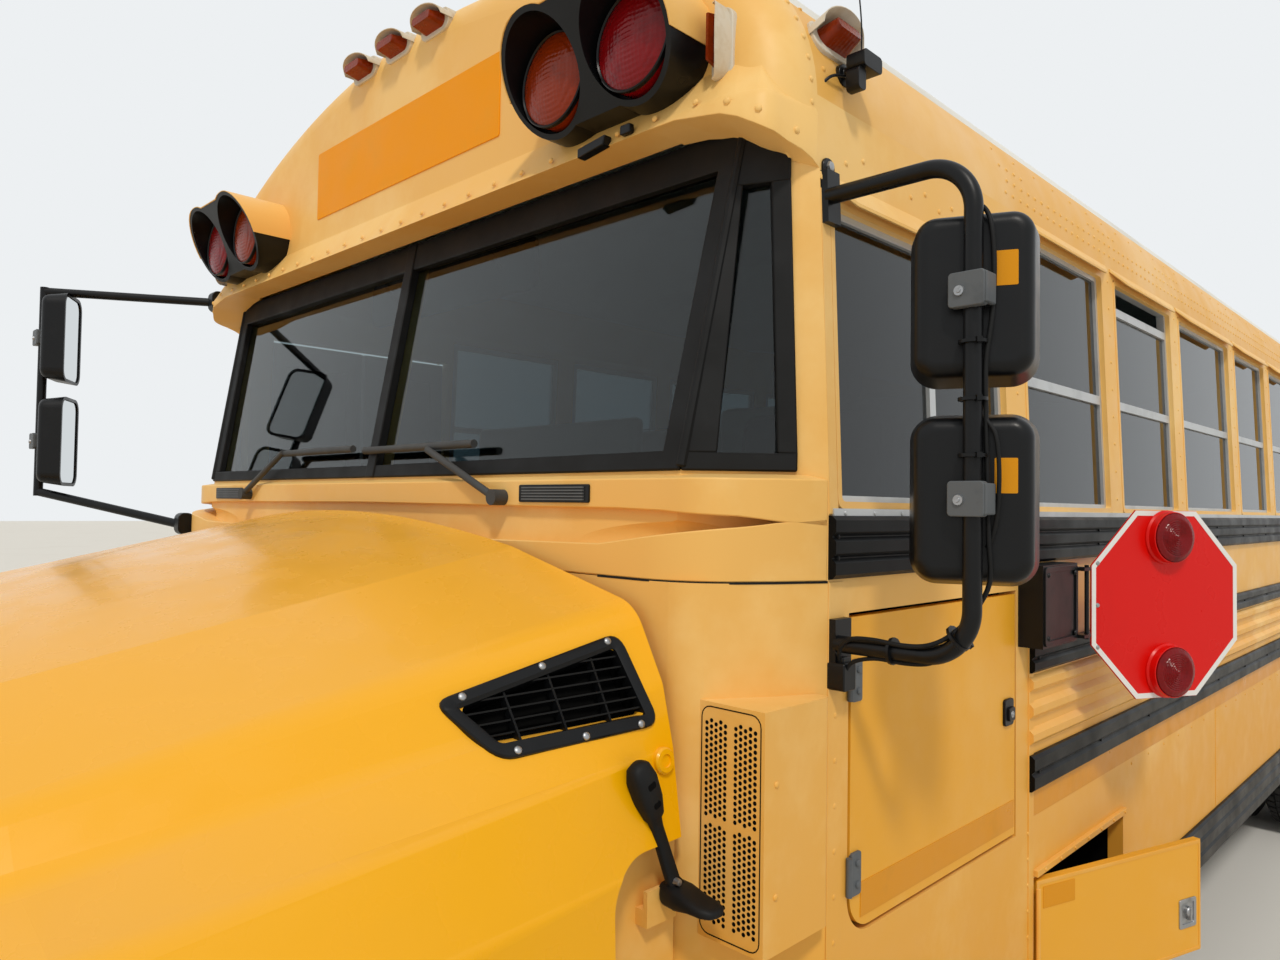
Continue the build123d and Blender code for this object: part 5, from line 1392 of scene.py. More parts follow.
    def roof_camera(self) -> None:
        """Camera on the roof's corner, with its aerial and cable."""
        x, _ = BODY.wall(1, 2.60)
        camera = Shape(place((x, -3.285, 2.585), (0, 1, 0)))
        camera.lathe([(0.0, -0.004), (0.020, -0.004), (0.020, 0.010), (0.012, 0.014),
                      (0.012, 0.030), (0.0, 0.030)], 16)
        camera.slab((0.060, 0.030, 0.008), 0.024, 0.060, 0.010, 0.012)
        camera.slab((0.024, 0.040, 0.008), 0.026, 0.052, -0.012, -0.022).at()
        aerial = [(x + 0.045, -3.29, 2.60), (x + 0.046, -3.292, 2.66), (x + 0.040, -3.293, 2.73)]
        cable = [(x + 0.02, -3.30, 2.575), (x + 0.016, -3.335, 2.565), (x + 0.004, -3.352, 2.548)]
        camera.tube(smooth(aerial), 0.0016, 6).tube(smooth(cable), 0.003, 6)
        camera.piece("roof_camera", BLACK_PLASTIC, bevel=0.0015)

    def markers(self) -> None:
        """Bases and shades of the marker lamps on the cap, the tail and the roof's corners."""
        bases, shades = Shape(), Shape()
        for x, z in ((-0.170, 2.976), (0.0, 2.978), (0.170, 2.976)):
            for spot in (place((x, BODY.cap_y, z), (1, 0, 0)), BODY.tail(x, 2.945)):
                bases.at(spot).slab((0.122, 0.056, 0.024), -0.02, 0.006)
                self.shade(shades, spot, 0.062, 0.028, 0.052)
        for side in SIDES:
            spot = place((side * 1.072, BODY.cap_y, 2.605), (1, 0, 0))
            bases.at(spot).slab((0.046, 0.126, 0.02), -0.02, 0.006)
            self.shade(shades, spot @ Matrix.Rotation(-side * math.pi / 2, 4, "Z"), 0.064, 0.024, 0.050)
            lift = math.radians(22)
            out = Vector((side * math.cos(lift), 0, math.sin(lift)))
            for y in (-3.300, 5.060):
                centre = Vector((side * BODY.shoulder_x, y, BODY.shoulder_z)) + out * BODY.shoulder_r
                spot = facing(centre, Vector((0, side, 0)), out)
                bases.at(spot).slab((0.124, 0.066, 0.026), -0.012, 0.006)
                self.shade(shades, spot, 0.063, 0.031, 0.058)
        bases.piece("marker_bases", PALE_PLASTIC, bevel=0.002)
        shades.piece("marker_shades", PALE_PLASTIC, sharp=50)

    def shade(self, shape: Shape, spot: Matrix, half: float, rise: float, out: float) -> None:
        """Curved shade over a marker lamp.

        Args:
            shape: the shape that takes it.
            spot: the marker's frame.
            half: half its width.
            rise: its height over the lamp's middle.
            out: how far it stands out.
        """
        rings = []
        for grow, root in ((0.0, True), (0.0, False), (0.0018, False), (0.0018, True)):
            points = []
            for i in range(15):
                angle = math.pi * i / 14
                depth = -0.004 if root else out * (0.55 + 0.45 * math.sin(angle))
                points.append(((half + grow) * math.cos(angle),
                               (rise + grow) * math.sin(angle) ** 0.7 - 0.004, depth))
            rings.append(points)
        shape.at(spot).skin([*rings, rings[0]], closed=False, caps=False)


@dataclass
class LampLenses:
    """Domed prism lenses over the warning and tail lamps, with their rims."""

    radius: float = 0.088
    warning_x: tuple[float, float] = (0.725, 0.940)
    tail_x: tuple[float, float] = (0.740, 0.950)
    front: tuple[float, float] = (-3.568, 2.630)
    rear: tuple[float, float] = (5.283, 2.670)
    tail: tuple[float, float] = (5.229, 1.500)
    rings: int = 48
    around: int = 32

    def build(self) -> None:
        """Make the amber and red lenses and the dark rims."""
        amber, red, rims = Shape(), Shape(), Shape()
        for side in SIDES:
            for (y, z), way in ((self.front, 1), (self.rear, -1)):
                for shape, x in zip((amber, red), self.warning_x):
                    self.lens(shape, rims, place((side * x, y, z), (way, 0, 0)), 0.014)
            for shape, x in zip((red, amber), self.tail_x):
                self.lens(shape, rims, place((side * x, self.tail[0], self.tail[1]), (-1, 0, 0)), 0.010)
        amber.piece("amber_lens_domes", AMBER_LENS, sharp=70)
        red.piece("red_lens_domes", RED_LENS, sharp=70)
        rims.piece("lens_rims", BLACK_PLASTIC)

    def lens(self, shape: Shape, rims: Shape, spot: Matrix, height: float) -> None:
        """One lens with fluted rows across it, and its rim.

        Args:
            shape: the shape that takes the lens.
            rims: the shape that takes the rim.
            spot: the lamp's frame, on the lens's foot.
            height: how far the lens crowns.
        """
        rings = []
        for i in range(self.rings + 1):
            crown = height * (1 - (i / self.rings) ** 2.4) + 0.001
            fade = min(1.0, (self.rings - i) / 4)
            rings.append([(x, y, crown + 0.0011 * abs(math.sin(math.pi * y / 0.0095)) * fade)
                          for x, y in circle(self.radius * 0.985 * i / self.rings, self.around)])
        shape.at(spot).skin(rings, caps=False)
        rims.at(spot).lathe([(0.0865, -0.004), (0.0905, -0.004), (0.0905, 0.004), (0.088, 0.0055),
                             (0.0855, 0.003),
                             (0.0855, -0.002)], 48)


@dataclass
class Mirrors:
    """Mirror glass, clamps, reflective patches and the cable tied to the driver's pole.

    A pole is given by X and Y, and each of its heads by its height and its size up and down.
    """

    driver: tuple[float, float] = (1.457, -3.362)
    passenger: tuple[float, float] = (-1.545, -3.915)
    heads: Outline = ((2.145, 0.265), (1.838, 0.265))
    far_heads: Outline = ((2.360, 0.300), (2.010, 0.300))
    width: float = 0.190
    depth: float = 0.088
    cable: tuple[Point, ...] = (
        (1.236, -3.360, 1.560), (1.240, -3.372, 1.590), (1.262, -3.378, 1.612), (1.300, -3.377, 1.616),
        (1.352, -3.376, 1.613), (1.392, -3.374, 1.617), (1.424, -3.366, 1.634), (1.452, -3.350, 1.668),
        (1.476, -3.346, 1.716), (1.477, -3.352, 1.780), (1.476, -3.354, 1.860), (1.474, -3.356, 1.960),
        (1.474, -3.357, 2.040), (1.481, -3.352, 2.110), (1.483, -3.350, 2.190), (1.478, -3.352, 2.250),
        (1.462, -3.345, 2.275), (1.455, -3.338, 2.262),
    )
    branch: tuple[Point, ...] = (
        (1.474, -3.356, 1.955), (1.488, -3.354, 1.930), (1.492, -3.352, 1.880), (1.489, -3.350, 1.820),
        (1.478, -3.346, 1.775), (1.470, -3.342, 1.768),
    )
    lower: tuple[Point, ...] = (
        (1.238, -3.361, 1.540), (1.258, -3.366, 1.572), (1.300, -3.366, 1.585), (1.352, -3.365, 1.584),
        (1.394, -3.366, 1.590), (1.424, -3.371, 1.612),
    )

    def build(self) -> None:
        """Dress both pairs of mirrors."""
        glass, clamps, patches, screws = Shape(), Shape(), Shape(), Shape()
        screw = [(0.0, 0.008), (0.003, 0.008), (0.0036, 0.0065), (0.0075, 0.0065), (0.0085, 0.003)]
        for (px, py), heads, outer, degrees in ((self.driver, self.heads, 1, 24),
                                                (self.passenger, self.far_heads, -1, -28)):
            pole = Matrix.Translation((px, py, 0))
            turned = pole @ Matrix.Rotation(math.radians(degrees), 4, "Z") @ pole.inverted()
            for z, tall in heads:
                rear = place((px, py + self.depth, z), (-1, 0, 0))
                glass.at(turned @ rear).slab((self.width - 0.024, tall - 0.024, 0.030), -0.0075, -0.004)
                ahead = place((px, py - 0.022, z), (1, 0, 0))
                clamps.at(ahead).slab((0.056, 0.052, 0.006), -0.012, 0.0035)
                clamps.slab((0.010, 0.046, 0.003), -0.03, 0.0015, 0.026)
                screws.at(ahead).lathe(screw, 12, -0.010, -0.002)
                skin = place((px + outer * 0.046, py + 0.0125, z + 0.035), (1, 0, 0))
                patches.at(turned @ skin).slab((0.032, 0.052, 0.002), -0.002, 0.0012)
        glass.piece("mirror_glass", MIRROR_GLASS)
        clamps.piece("mirror_clamps", ZINC_GREY, bevel=0.0015)
        screws.piece("mirror_clamp_screws", ZINC)
        patches.piece("mirror_patches", YELLOW_SHEETING)
        self.cables()
        self.feet()

    def cables(self) -> None:
        """Heater cable from the black box along the lower arm and up the pole, with its ties."""
        shape = Shape()
        for path, radius in ((self.cable, 0.0038), (self.branch, 0.0034), (self.lower, 0.0034)):
            shape.tube(smooth(path, 5), radius, 8)
        shape.piece("mirror_cable", SEAL_RUBBER, sharp=70)
        ties = Shape()
        px, py = self.driver
        loop = [(0.0145, -0.0025), (0.0215, -0.0025), (0.0215, 0.0025), (0.0145, 0.0025), (0.0145, -0.0025)]
        for x, z, way in ((px, 1.985, (0, 0, 1)), (px, 1.902, (0, 0, 1)), (1.330, 1.600, (1, 0, 0)),
                          (1.436, 1.632, (0.75, 0, 0.65)), (px, 2.070, (0, 0, 1))):
            out = Vector(way).normalized()
            ties.at(place((x, py, z), out.orthogonal().cross(out), out.orthogonal())).lathe(loop, 14)
            ties.block((0.018, -0.004, -0.004), (0.027, 0.004, 0.004))
        ties.piece("cable_ties", BLACK_PLASTIC)

    def feet(self) -> None:
        """Bracket plates and bolts of the poles, and the small black box on the seam."""
        plates, bolts = Shape(), Shape()
        for z, tall in ((2.372, 0.086), (1.578, 0.100)):
            x, normal = BODY.wall(1, z)
            spot = facing((x, -3.352, z), Vector((0, 1, 0)), normal)
            plates.at(spot).slab((0.034, tall, 0.015), -0.002, 0.0055)
            for rise in (-0.028, 0.028):
                bolts.at(spot).lathe([(0.0, 0.012), (0.006, 0.0115), (0.0085, 0.010), (0.0095, 0.005)],
                                     6, 0.0, rise)
        for x, y, z in ((-1.197, -3.480, 2.505), (-1.100, -3.600, 1.742)):
            plates.at(place((x, y, z), (0, -1, 0))).slab((0.050, 0.070, 0.02), -0.03, 0.010)
        plates.piece("mirror_feet", BLACK_PLASTIC, bevel=0.002)
        bolts.piece("mirror_foot_bolts", ZINC)
        box = Shape(place((WALL, -3.357, 1.548), (0, 1, 0))).slab((0.036, 0.046, 0.005), -0.002, 0.032)
        box.slab((0.022, 0.010, 0.002), 0.004, 0.026, 0.0, 0.026)
        box.piece("mirror_cable_box", BLACK_PLASTIC, bevel=0.002)


@dataclass
class HoodTrim:
    """Fittings of the hood: side vents with their slats and screws, nose grille, rubber bumpers and latches.

    The vent's corners are Y and Z; the grille is half its width, its bottom and its top.
    """

    hood: Item
    vent: Outline = ((-3.905, 1.472), (-3.637, 1.486), (-3.662, 1.622), (-3.965, 1.548))
    band: float = 0.016
    corner_cut: float = 0.024
    slats: int = 9
    slat_z: tuple[float, float] = (1.494, 1.612)
    uprights: Point = (-3.862, -3.790, -3.716)
    grille: Point = (0.400, 0.910, 1.270)
    grille_y: float = -5.115

    def build(self) -> None:
        """Place the fittings on the hood's outer skin."""
        heads, hollow_shades, work, bumpers = Shape(), Shape(), Shape(), Shape()
        for side in SIDES:
            self.vent_frame(work, hollow_shades, side)
            self.slat_rows(work, side)
            line = inset(self.vent, 0.0075)
            for i, share in ((0, 0.10), (0, 0.52), (0, 0.90), (2, 0.06), (2, 0.46), (2, 0.90)):
                y, z = Vector(line[i]).lerp(Vector(line[(i + 1) % 4]), share)
                heads.at(self.seat(side, y, z, 0.0055))
                heads.lathe([(0.0062, -0.001), (0.0060, 0.0012), (0.0046, 0.0026), (0.0, 0.0030)], 12)
            bumpers.at(self.seat(side, -3.640, 1.436, 0.0)).lathe([
                (0.020, -0.004), (0.020, 0.005), (0.0172, 0.008), (0.010, 0.0085), (0.0095, 0.0055),
                (0.0, 0.0055)], 20)
        self.nose_grille(work)
        heads.piece("vent_screws", ZINC, body="hood", sharp=60)
        # Unlit black box behind each vent's slats: painted shade for the hollow
        hollow_shades.piece("vent_hollow_shade", SHADOW, body="hood")
        bumpers.piece("hood_bumpers", FRESH_ENAMEL, body="hood")
        item = work.piece("hood_grille_work", BLACK_PLASTIC, body="hood", bevel=0.0006)
        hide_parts("hood_grilles")
        self.latches()
        self.mesh()

    def skin(self, side: int, y: float, z: float) -> tuple[Vector, Vector]:
        """Point and normal of the hood's outer skin, met by a line from outside.

        Args:
            side: 1 for the left side, -1 for the right.
            y: place along the bus.
            z: height.

        Returns:
            The point and its outward normal.
        """
        hit, spot, normal, _ = self.hood.ray_cast(Vector((side * 2, y, z)), Vector((-side, 0, 0)))
        if not hit:
            raise ValueError(f"no hood skin at {y}, {z}")
        return spot, normal if normal.x * side > 0 else -normal

    def seat(self, side: int, y: float, z: float, out: float) -> Matrix:
        """Frame of a round fitting on the skin, or a little out of it."""
        spot, normal = self.skin(side, y, z)
        return facing(spot + normal * out, normal.orthogonal(), normal)

    def follow(self, side: int, outline: Outline, out: float, draw: float) -> list[Vector]:
        """Points of an outline in Y and Z laid on the hood's skin.

        Args:
            side: 1 for the left side, -1 for the right.
            outline: points in Y and Z.
            out: distance out of the skin.
            draw: how far each point is then drawn in from the outline.

        Returns:
            The points in space.
        """
        spots = []
        for i, (y, z) in enumerate(outline):
            spot, normal = self.skin(side, y, z)
            along = Vector(outline[(i + 1) % len(outline)]) - Vector(outline[i - 1])
            spots.append(spot + normal * out + Vector((0, -along.y, along.x)).normalized() * draw)
        return spots

    def vent_frame(self, work: Shape, hollow_shades: Shape, side: int) -> None:
        """Frame round one vent and the box behind it, in unlit black as painted shade for the vent's hollow.

        Args:
            work: the shape that takes the frame.
            hollow_shades: the shape that takes the box of painted shade.
            side: 1 for the left side, -1 for the right.
        """
        # How far in from the vent's outline, how far out of the skin, and how far drawn in after that
        section = ((0.0, -0.003, 0.0), (0.0008, 0.004, 0.0), (0.003, 0.0062, 0.0), (0.0135, 0.0062, 0.0),
                   (self.band, 0.004, 0.003), (self.band, -0.016, 0.006))
        loops = [self.follow(side, soften(inset(self.vent, by), self.corner_cut - by), out, draw)
                 for by, out, draw in section]
        work.skin([*loops, loops[0]], caps=False)
        hole = soften(inset(self.vent, self.band), self.corner_cut - self.band)
        walls = [self.follow(side, hole, out, 0.005) for out in (-0.010, -0.040)]
        hollow_shades.skin(walls, caps=False).add(walls[1], [range(len(hole))])

    def slat_rows(self, work: Shape, side: int) -> None:
        """Thin sloping slats and their uprights across one vent.

        Args:
            work: the shape that takes them.
            side: 1 for the left side, -1 for the right.
        """
        hole = inset(self.vent, self.band)
        first, last = self.slat_z
        for row in range(self.slats):
            start = first + row * (last - first) / (self.slats - 1)
            cross = []
            for (y0, z0), (y1, z1) in zip(hole, [*hole[1:], hole[0]]):
                a, b = (z - start - 0.06 * (y + 3.79) for y, z in ((y0, z0), (y1, z1)))
                if a * b < 0:
                    cross.append((y0 + (y1 - y0) * a / (a - b), z0 + (z1 - z0) * a / (a - b)))
            if len(cross) == 2:
                section = ((-0.001, 0.0), (-0.001, -0.0026), (-0.016, -0.0090), (-0.016, -0.0064))
                work.skin([[self.skin(side, y, z)[0] + Vector((side * out, 0, up)) for out, up in section]
                           for y, z in sorted(cross)])
        section = ((-0.003, -0.0018), (-0.003, 0.0018), (-0.018, 0.0018), (-0.018, -0.0018))
        for y in self.uprights:
            heights = (level(((hole[0][0], hole[3][1]), hole[3], hole[2]), y), level(hole[:2], y))
            work.skin([[self.skin(side, y, z)[0] + Vector((side * out, along, 0)) for out, along in section]
                       for z in heights])

    def nose_grille(self, work: Shape) -> None:
        """Frame and sloping bars of the nose grille.

        Args:
            work: the shape that takes them.
        """
        half, low, high = self.grille
        middle = (low + high) / 2
        work.at(place((0, self.grille_y, middle), (1, 0, 0)))
        work.rim((2 * half, high - low, 0.012), (2 * half - 0.05, high - low - 0.044, 0.008), 0.0, 0.0298)
        for row in range(5):
            z = low + 0.068 + row * 0.054 - middle
            work.skin([[(x, z + 0.008, 0.004), (x, z - 0.002, 0.028), (x, z - 0.008, 0.028),
                        (x, z - 0.008, 0.004)]
                       for x in (0.02 - half, half - 0.02)])

    def mesh(self) -> None:
        """Wire mesh behind the nose grille."""
        wires = Shape()
        for i in range(39):
            x = -0.38 + i * 0.02
            wires.block((x - 0.0018, -5.118, 0.93), (x + 0.0018, -5.116, 1.25))
        for i in range(17):
            z = 0.935 + i * 0.0195
            wires.block((-0.385, -5.1165, z - 0.0016), (0.385, -5.1145, z + 0.0016))
        wires.piece("grille_mesh", BLACK_PLASTIC, body="hood")

    def latches(self) -> None:
        """Rubber pull-down latches: bulb head, strap and flat grip, with their pins."""
        rubber, pins, slots = Shape(), Shape(), Shape()
        # Distance along, half width and half thickness of each section
        strap = ((0.0, 0.008, 0.008), (0.006, 0.017, 0.014), (0.026, 0.022, 0.019), (0.060, 0.021, 0.019),
                 (0.088, 0.016, 0.015), (0.096, 0.012, 0.009), (0.110, 0.0105, 0.008), (0.205, 0.0115, 0.009),
                 (0.222, 0.020, 0.012))
        tongue = ((0.0, 0.018, 0.014), (0.010, 0.024, 0.018), (0.034, 0.0255, 0.018), (0.060, 0.0255, 0.011),
                  (0.084, 0.0245, 0.009), (0.098, 0.018, 0.007), (0.1035, 0.010, 0.004))
        down, across = Vector((0, 0.39, -0.92)), Vector((0, 0.92, 0.39))
        for side in SIDES:
            out = Vector((side, 0, 0))
            top = Vector((side * 1.119, -3.713, 1.449))
            self.loft(rubber, top, down, across, out, strap)
            grip_way = Vector((side, 0, -0.06)).normalized()
            self.loft(rubber, Vector((side * 1.100, -3.626, 1.240)), grip_way, Vector((0, 1, 0)),
                      Vector((0, 0, 1)), tongue)
            # Two unlit black plates on each strap: painted shade in the strap's slots
            for along, size in ((0.034, 0.010), (0.066, 0.009)):
                slots.at(place(top + down * along + out * 0.0185, across * side, -down))
                slots.slab((size * 1.5, size, 0.003), -0.004, 0.0006)
            pins.at(place((side * 1.133, -3.636, 1.262), (0, side, 0)))
            pins.lathe([(0.0, 0.004), (0.005, 0.003), (0.006, -0.006)], 12)
        item = rubber.piece("rubber_hood_latches", SEAL_RUBBER, body="hood", sharp=60, slot="latch_rubber")
        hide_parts("hood_latches")
        slots.piece("latch_slot_shades", SHADOW, body="hood")
        pins.piece("latch_pins", ZINC, body="hood")

    def loft(self, shape: Shape, start: Vector, way: Vector, across: Vector, out: Vector,
             rows: Sequence[Point]) -> None:
        """Rounded bar through oval sections.

        Args:
            shape: the shape that takes it.
            start: where the bar begins.
            way: direction along it.
            across: direction of its width.
            out: direction of its thickness.
            rows: distance along, half width and half thickness of each section.
        """
        oval = [[math.copysign(abs(v) ** 0.65, v) for v in point] for point in circle(1.0, 16)]
        shape.skin([[start + way * along + across * (wide * x) + out * (thick * y) for x, y in oval]
                    for along, wide, thick in rows])


@dataclass
class CowlTrim:
    """Louvres on the ledge, the seam under it, the perforated face and the seam strips behind the cap.

    The band's top and the brow's low edge are heights at distances from the bus's middle.
    """

    seam_z: float = 1.700
    front_y: float = -3.595
    inner_y: float = -3.528
    set_back: float = 0.044
    flat_x: tuple[float, ...] = (0.0, 0.4, 0.7, 0.9, 0.98)
    corner: tuple[float, float] = (1.0095, -3.435)
    corner_r: float = 0.160
    inner_r: float = 0.082
    corner_turn: float = math.radians(59)
    band_top: Outline = (
        (0.0, 1.745), (0.90, 1.756), (1.01, 1.771), (1.15, 1.790), (1.178, 1.797), (1.219, 1.805))
    brow_low: Outline = (
        (0.0, 1.820), (0.90, 1.816), (1.01, 1.813), (1.15, 1.806), (1.178, 1.799), (1.219, 1.790))
    hole_r: float = 0.0034
    hole_pitch: float = 0.0093
    hole_rows: int = 16

    def build(self) -> None:
        """Make the cowl's trim."""
        plates, slots = Shape(), Shape()
        for x in (0.727, -0.842):
            spot = place((x, self.front_y + self.set_back, 1.842), (1, 0, 0))
            plates.at(spot).slab((0.205, 0.034, 0.004), -0.002, 0.004)
            for i in range(5):
                slots.at(spot).block((-0.090, -0.0125 + i * 0.0056, 0.003),
                                     (0.090, -0.0098 + i * 0.0056, 0.0075))
        plates.piece("cowl_louvre_plates", BLACK_PLASTIC, bevel=0.001)
        slots.piece("cowl_louvre_slats", ZINC_GREY)
        self.ledge()
        self.seams()
        self.perforations()

    def plan(self, offset: float) -> list[tuple[float, float]]:
        """Plan of the lower shell from the middle to the seam.

        Args:
            offset: how far it is set back, which fades at the corner.

        Returns:
            Points from the middle to the left seam.
        """
        spots = [(x, self.front_y + offset) for x in self.flat_x]
        for i in range(13):
            share = i / 12
            radius = self.corner_r - offset * (1 - 0.8 * share * share * (3 - 2 * share))
            spots.append(self.round_corner(share, radius))
        return [*spots, (1.1625 - 0.1 * offset, -3.491), (1.178, -3.465), (WALL, -3.3755)]

    def round_corner(self, share: float, radius: float) -> tuple[float, float]:
        """X and Y at a share of the corner's turn, with a radius about its middle."""
        turn = self.corner_turn * share
        return self.corner[0] + radius * math.sin(turn), self.corner[1] - radius * math.cos(turn)

    def ledge(self) -> None:
        """Band over the joint line and brow under the windshield, with a wedge-shaped recess between them."""
        inner = [(x, self.inner_y) for x in self.flat_x]
        inner += [self.round_corner(i / 12, self.inner_r) for i in range(13)]
        inner += [(1.152, -3.425), (1.160, -3.415), (1.190, -3.377)]
        foot = self.seam_z + 0.0015
        shape = Shape()
        for side in SIDES:
            band, brow = [], []
            for (x, y), (bx, by), (ix, iy) in zip(self.plan(0.0), self.plan(self.set_back), inner):
                top, low = level(self.band_top, x), level(self.brow_low, x)
                band.append([(side * x, y, foot), (side * x, y, top), (side * ix, iy, top - 0.010),
                             (side * ix, iy, foot)])
                brow.append([(side * bx, by, low), (side * bx, by, 1.868), (side * ix, iy, 1.8765),
                             (side * ix, iy, low + 0.004)])
            shape.skin(band).skin(brow)
        shape.piece("cowl_ledge", CHALKED_ENAMEL, bevel=0.0025)

    def seams(self) -> None:
        """Dark joint line round the cowl and the seam cover strips on both sides."""
        line, strips = Shape(), Shape()
        low, high = self.seam_z - 0.0015, self.seam_z + 0.002
        for side in SIDES:
            line.skin([[(side * (x + out), y - out, z)
                        for out, z in ((0.0006, low), (0.0006, high), (-0.004, high), (-0.004, low))]
                       for x, y in self.plan(0.0)[3:]])
            strips.flank(side, (WALL, WALL + 0.0018), (-3.374, -3.330), (0.64, 1.700))
            (x0, normal), (x1, _) = BODY.wall(side, 1.812), BODY.wall(side, 2.36)
            strips.ribbon([(x0, -3.3735, 1.812), (x0, -3.3480, 1.812), (x1, -3.3480, 2.36),
                           (x1, -3.3735, 2.36)],
                          normal, 0.0018)
        line.piece("cowl_joint_line", SEAL_RUBBER)
        strips.piece("front_seam_strips", CHALKED_ENAMEL, bevel=0.0006)

    def perforations(self) -> None:
        """Frame and holes of the perforated face in four fields; each hole is an unlit black disc, painted
        shade for its depth.
        """
        face = place((1.176, -3.570, 1.340), (1, 0, 0))
        gap = 0.0055
        holes = Shape(face)
        for column in range(10):
            x = (column - 4.5) * 0.0092 + (gap if column > 4 else -gap)
            for row in range(2 * self.hole_rows):
                z = (row - self.hole_rows + 0.25) * self.hole_pitch + (gap if row >= self.hole_rows else -gap)
                z += 0.5 * self.hole_pitch * (column % 5 % 2)
                # Unlit black disc on the face: painted shade in one hole
                holes.plate(circle(self.hole_r, 8, x, z), -0.001, 0.0004)
        holes.piece("perforation_hole_shades", SHADOW)
        joint = Shape(face).rim((0.116, 0.348, 0.018), (0.1125, 0.3445, 0.016), -0.001, 0.0006)
        joint.piece("perforated_face_joint", SHADOW)
        screws = Shape()
        for z in (1.410, 1.245):
            screws.dome((1.2400, -3.540, z), (1, 0, 0), 0.0055, 0.003, 10)
        screws.piece("perforated_box_screws", CHALKED_ENAMEL, sharp=60)


@dataclass
class SideTrim:
    """Reflective stripe, panel laps, gutters and rail screws of both sides."""

    stripe: tuple[float, float] = (1.122, 1.178)
    laps: tuple[float, ...] = (-0.82, 0.90, 3.02, 4.60)
    rail_rows: tuple[float, ...] = (1.739, 1.775, 1.484, 1.223)
    screw_pitch: float = 0.42
    rear_y: float = 5.12

    def build(self) -> None:
        """Make the sides' trim."""
        stripe, laps, screws, sills = Shape(), Shape(), Shape(), Shape()
        for side in SIDES:
            # The driver's side reaches the front seam, the other one ends at the entrance
            start, front = (-2.535, -3.365) if side == 1 else (-2.47, -2.47)
            stripe.flank(side, (1.2185, 1.2200), (start, self.rear_y), self.stripe)
            for y in self.laps:
                for heights in ((0.77, 1.118), (1.520, 1.700)):
                    laps.flank(side, (1.218, 1.2205), (y - 0.022, y + 0.022), heights)
            laps.flank(side, (1.218, 1.2215), (start - 0.012, start + 0.016), (0.642, 1.700))
            sills.flank(side, (1.217, 1.2235), (front, self.rear_y), (1.806, 1.8215))
            for i in range(8):
                sills.dome((side * 1.2235, -3.33 + i * 0.095, 1.814), (side, 0, 0), 0.0045, 0.0022, 8)
            for z in self.rail_rows:
                first = -3.36 if z > 1.7 and side == 1 else start + 0.03
                for i in range(int((5.1 - first) / self.screw_pitch) + 1):
                    screws.dome((side * 1.2275, first + i * self.screw_pitch, z), (side, 0, 0), 0.006, 0.003, 8)
        stripe.piece("side_reflective_stripe", YELLOW_SHEETING)
        laps.piece("side_panel_laps", CHALKED_ENAMEL, bevel=0.0006)
        screws.piece("rail_screws", BLACK_ENAMEL, sharp=60)
        sills.piece("window_sills", ALUMINIUM, bevel=0.0005)


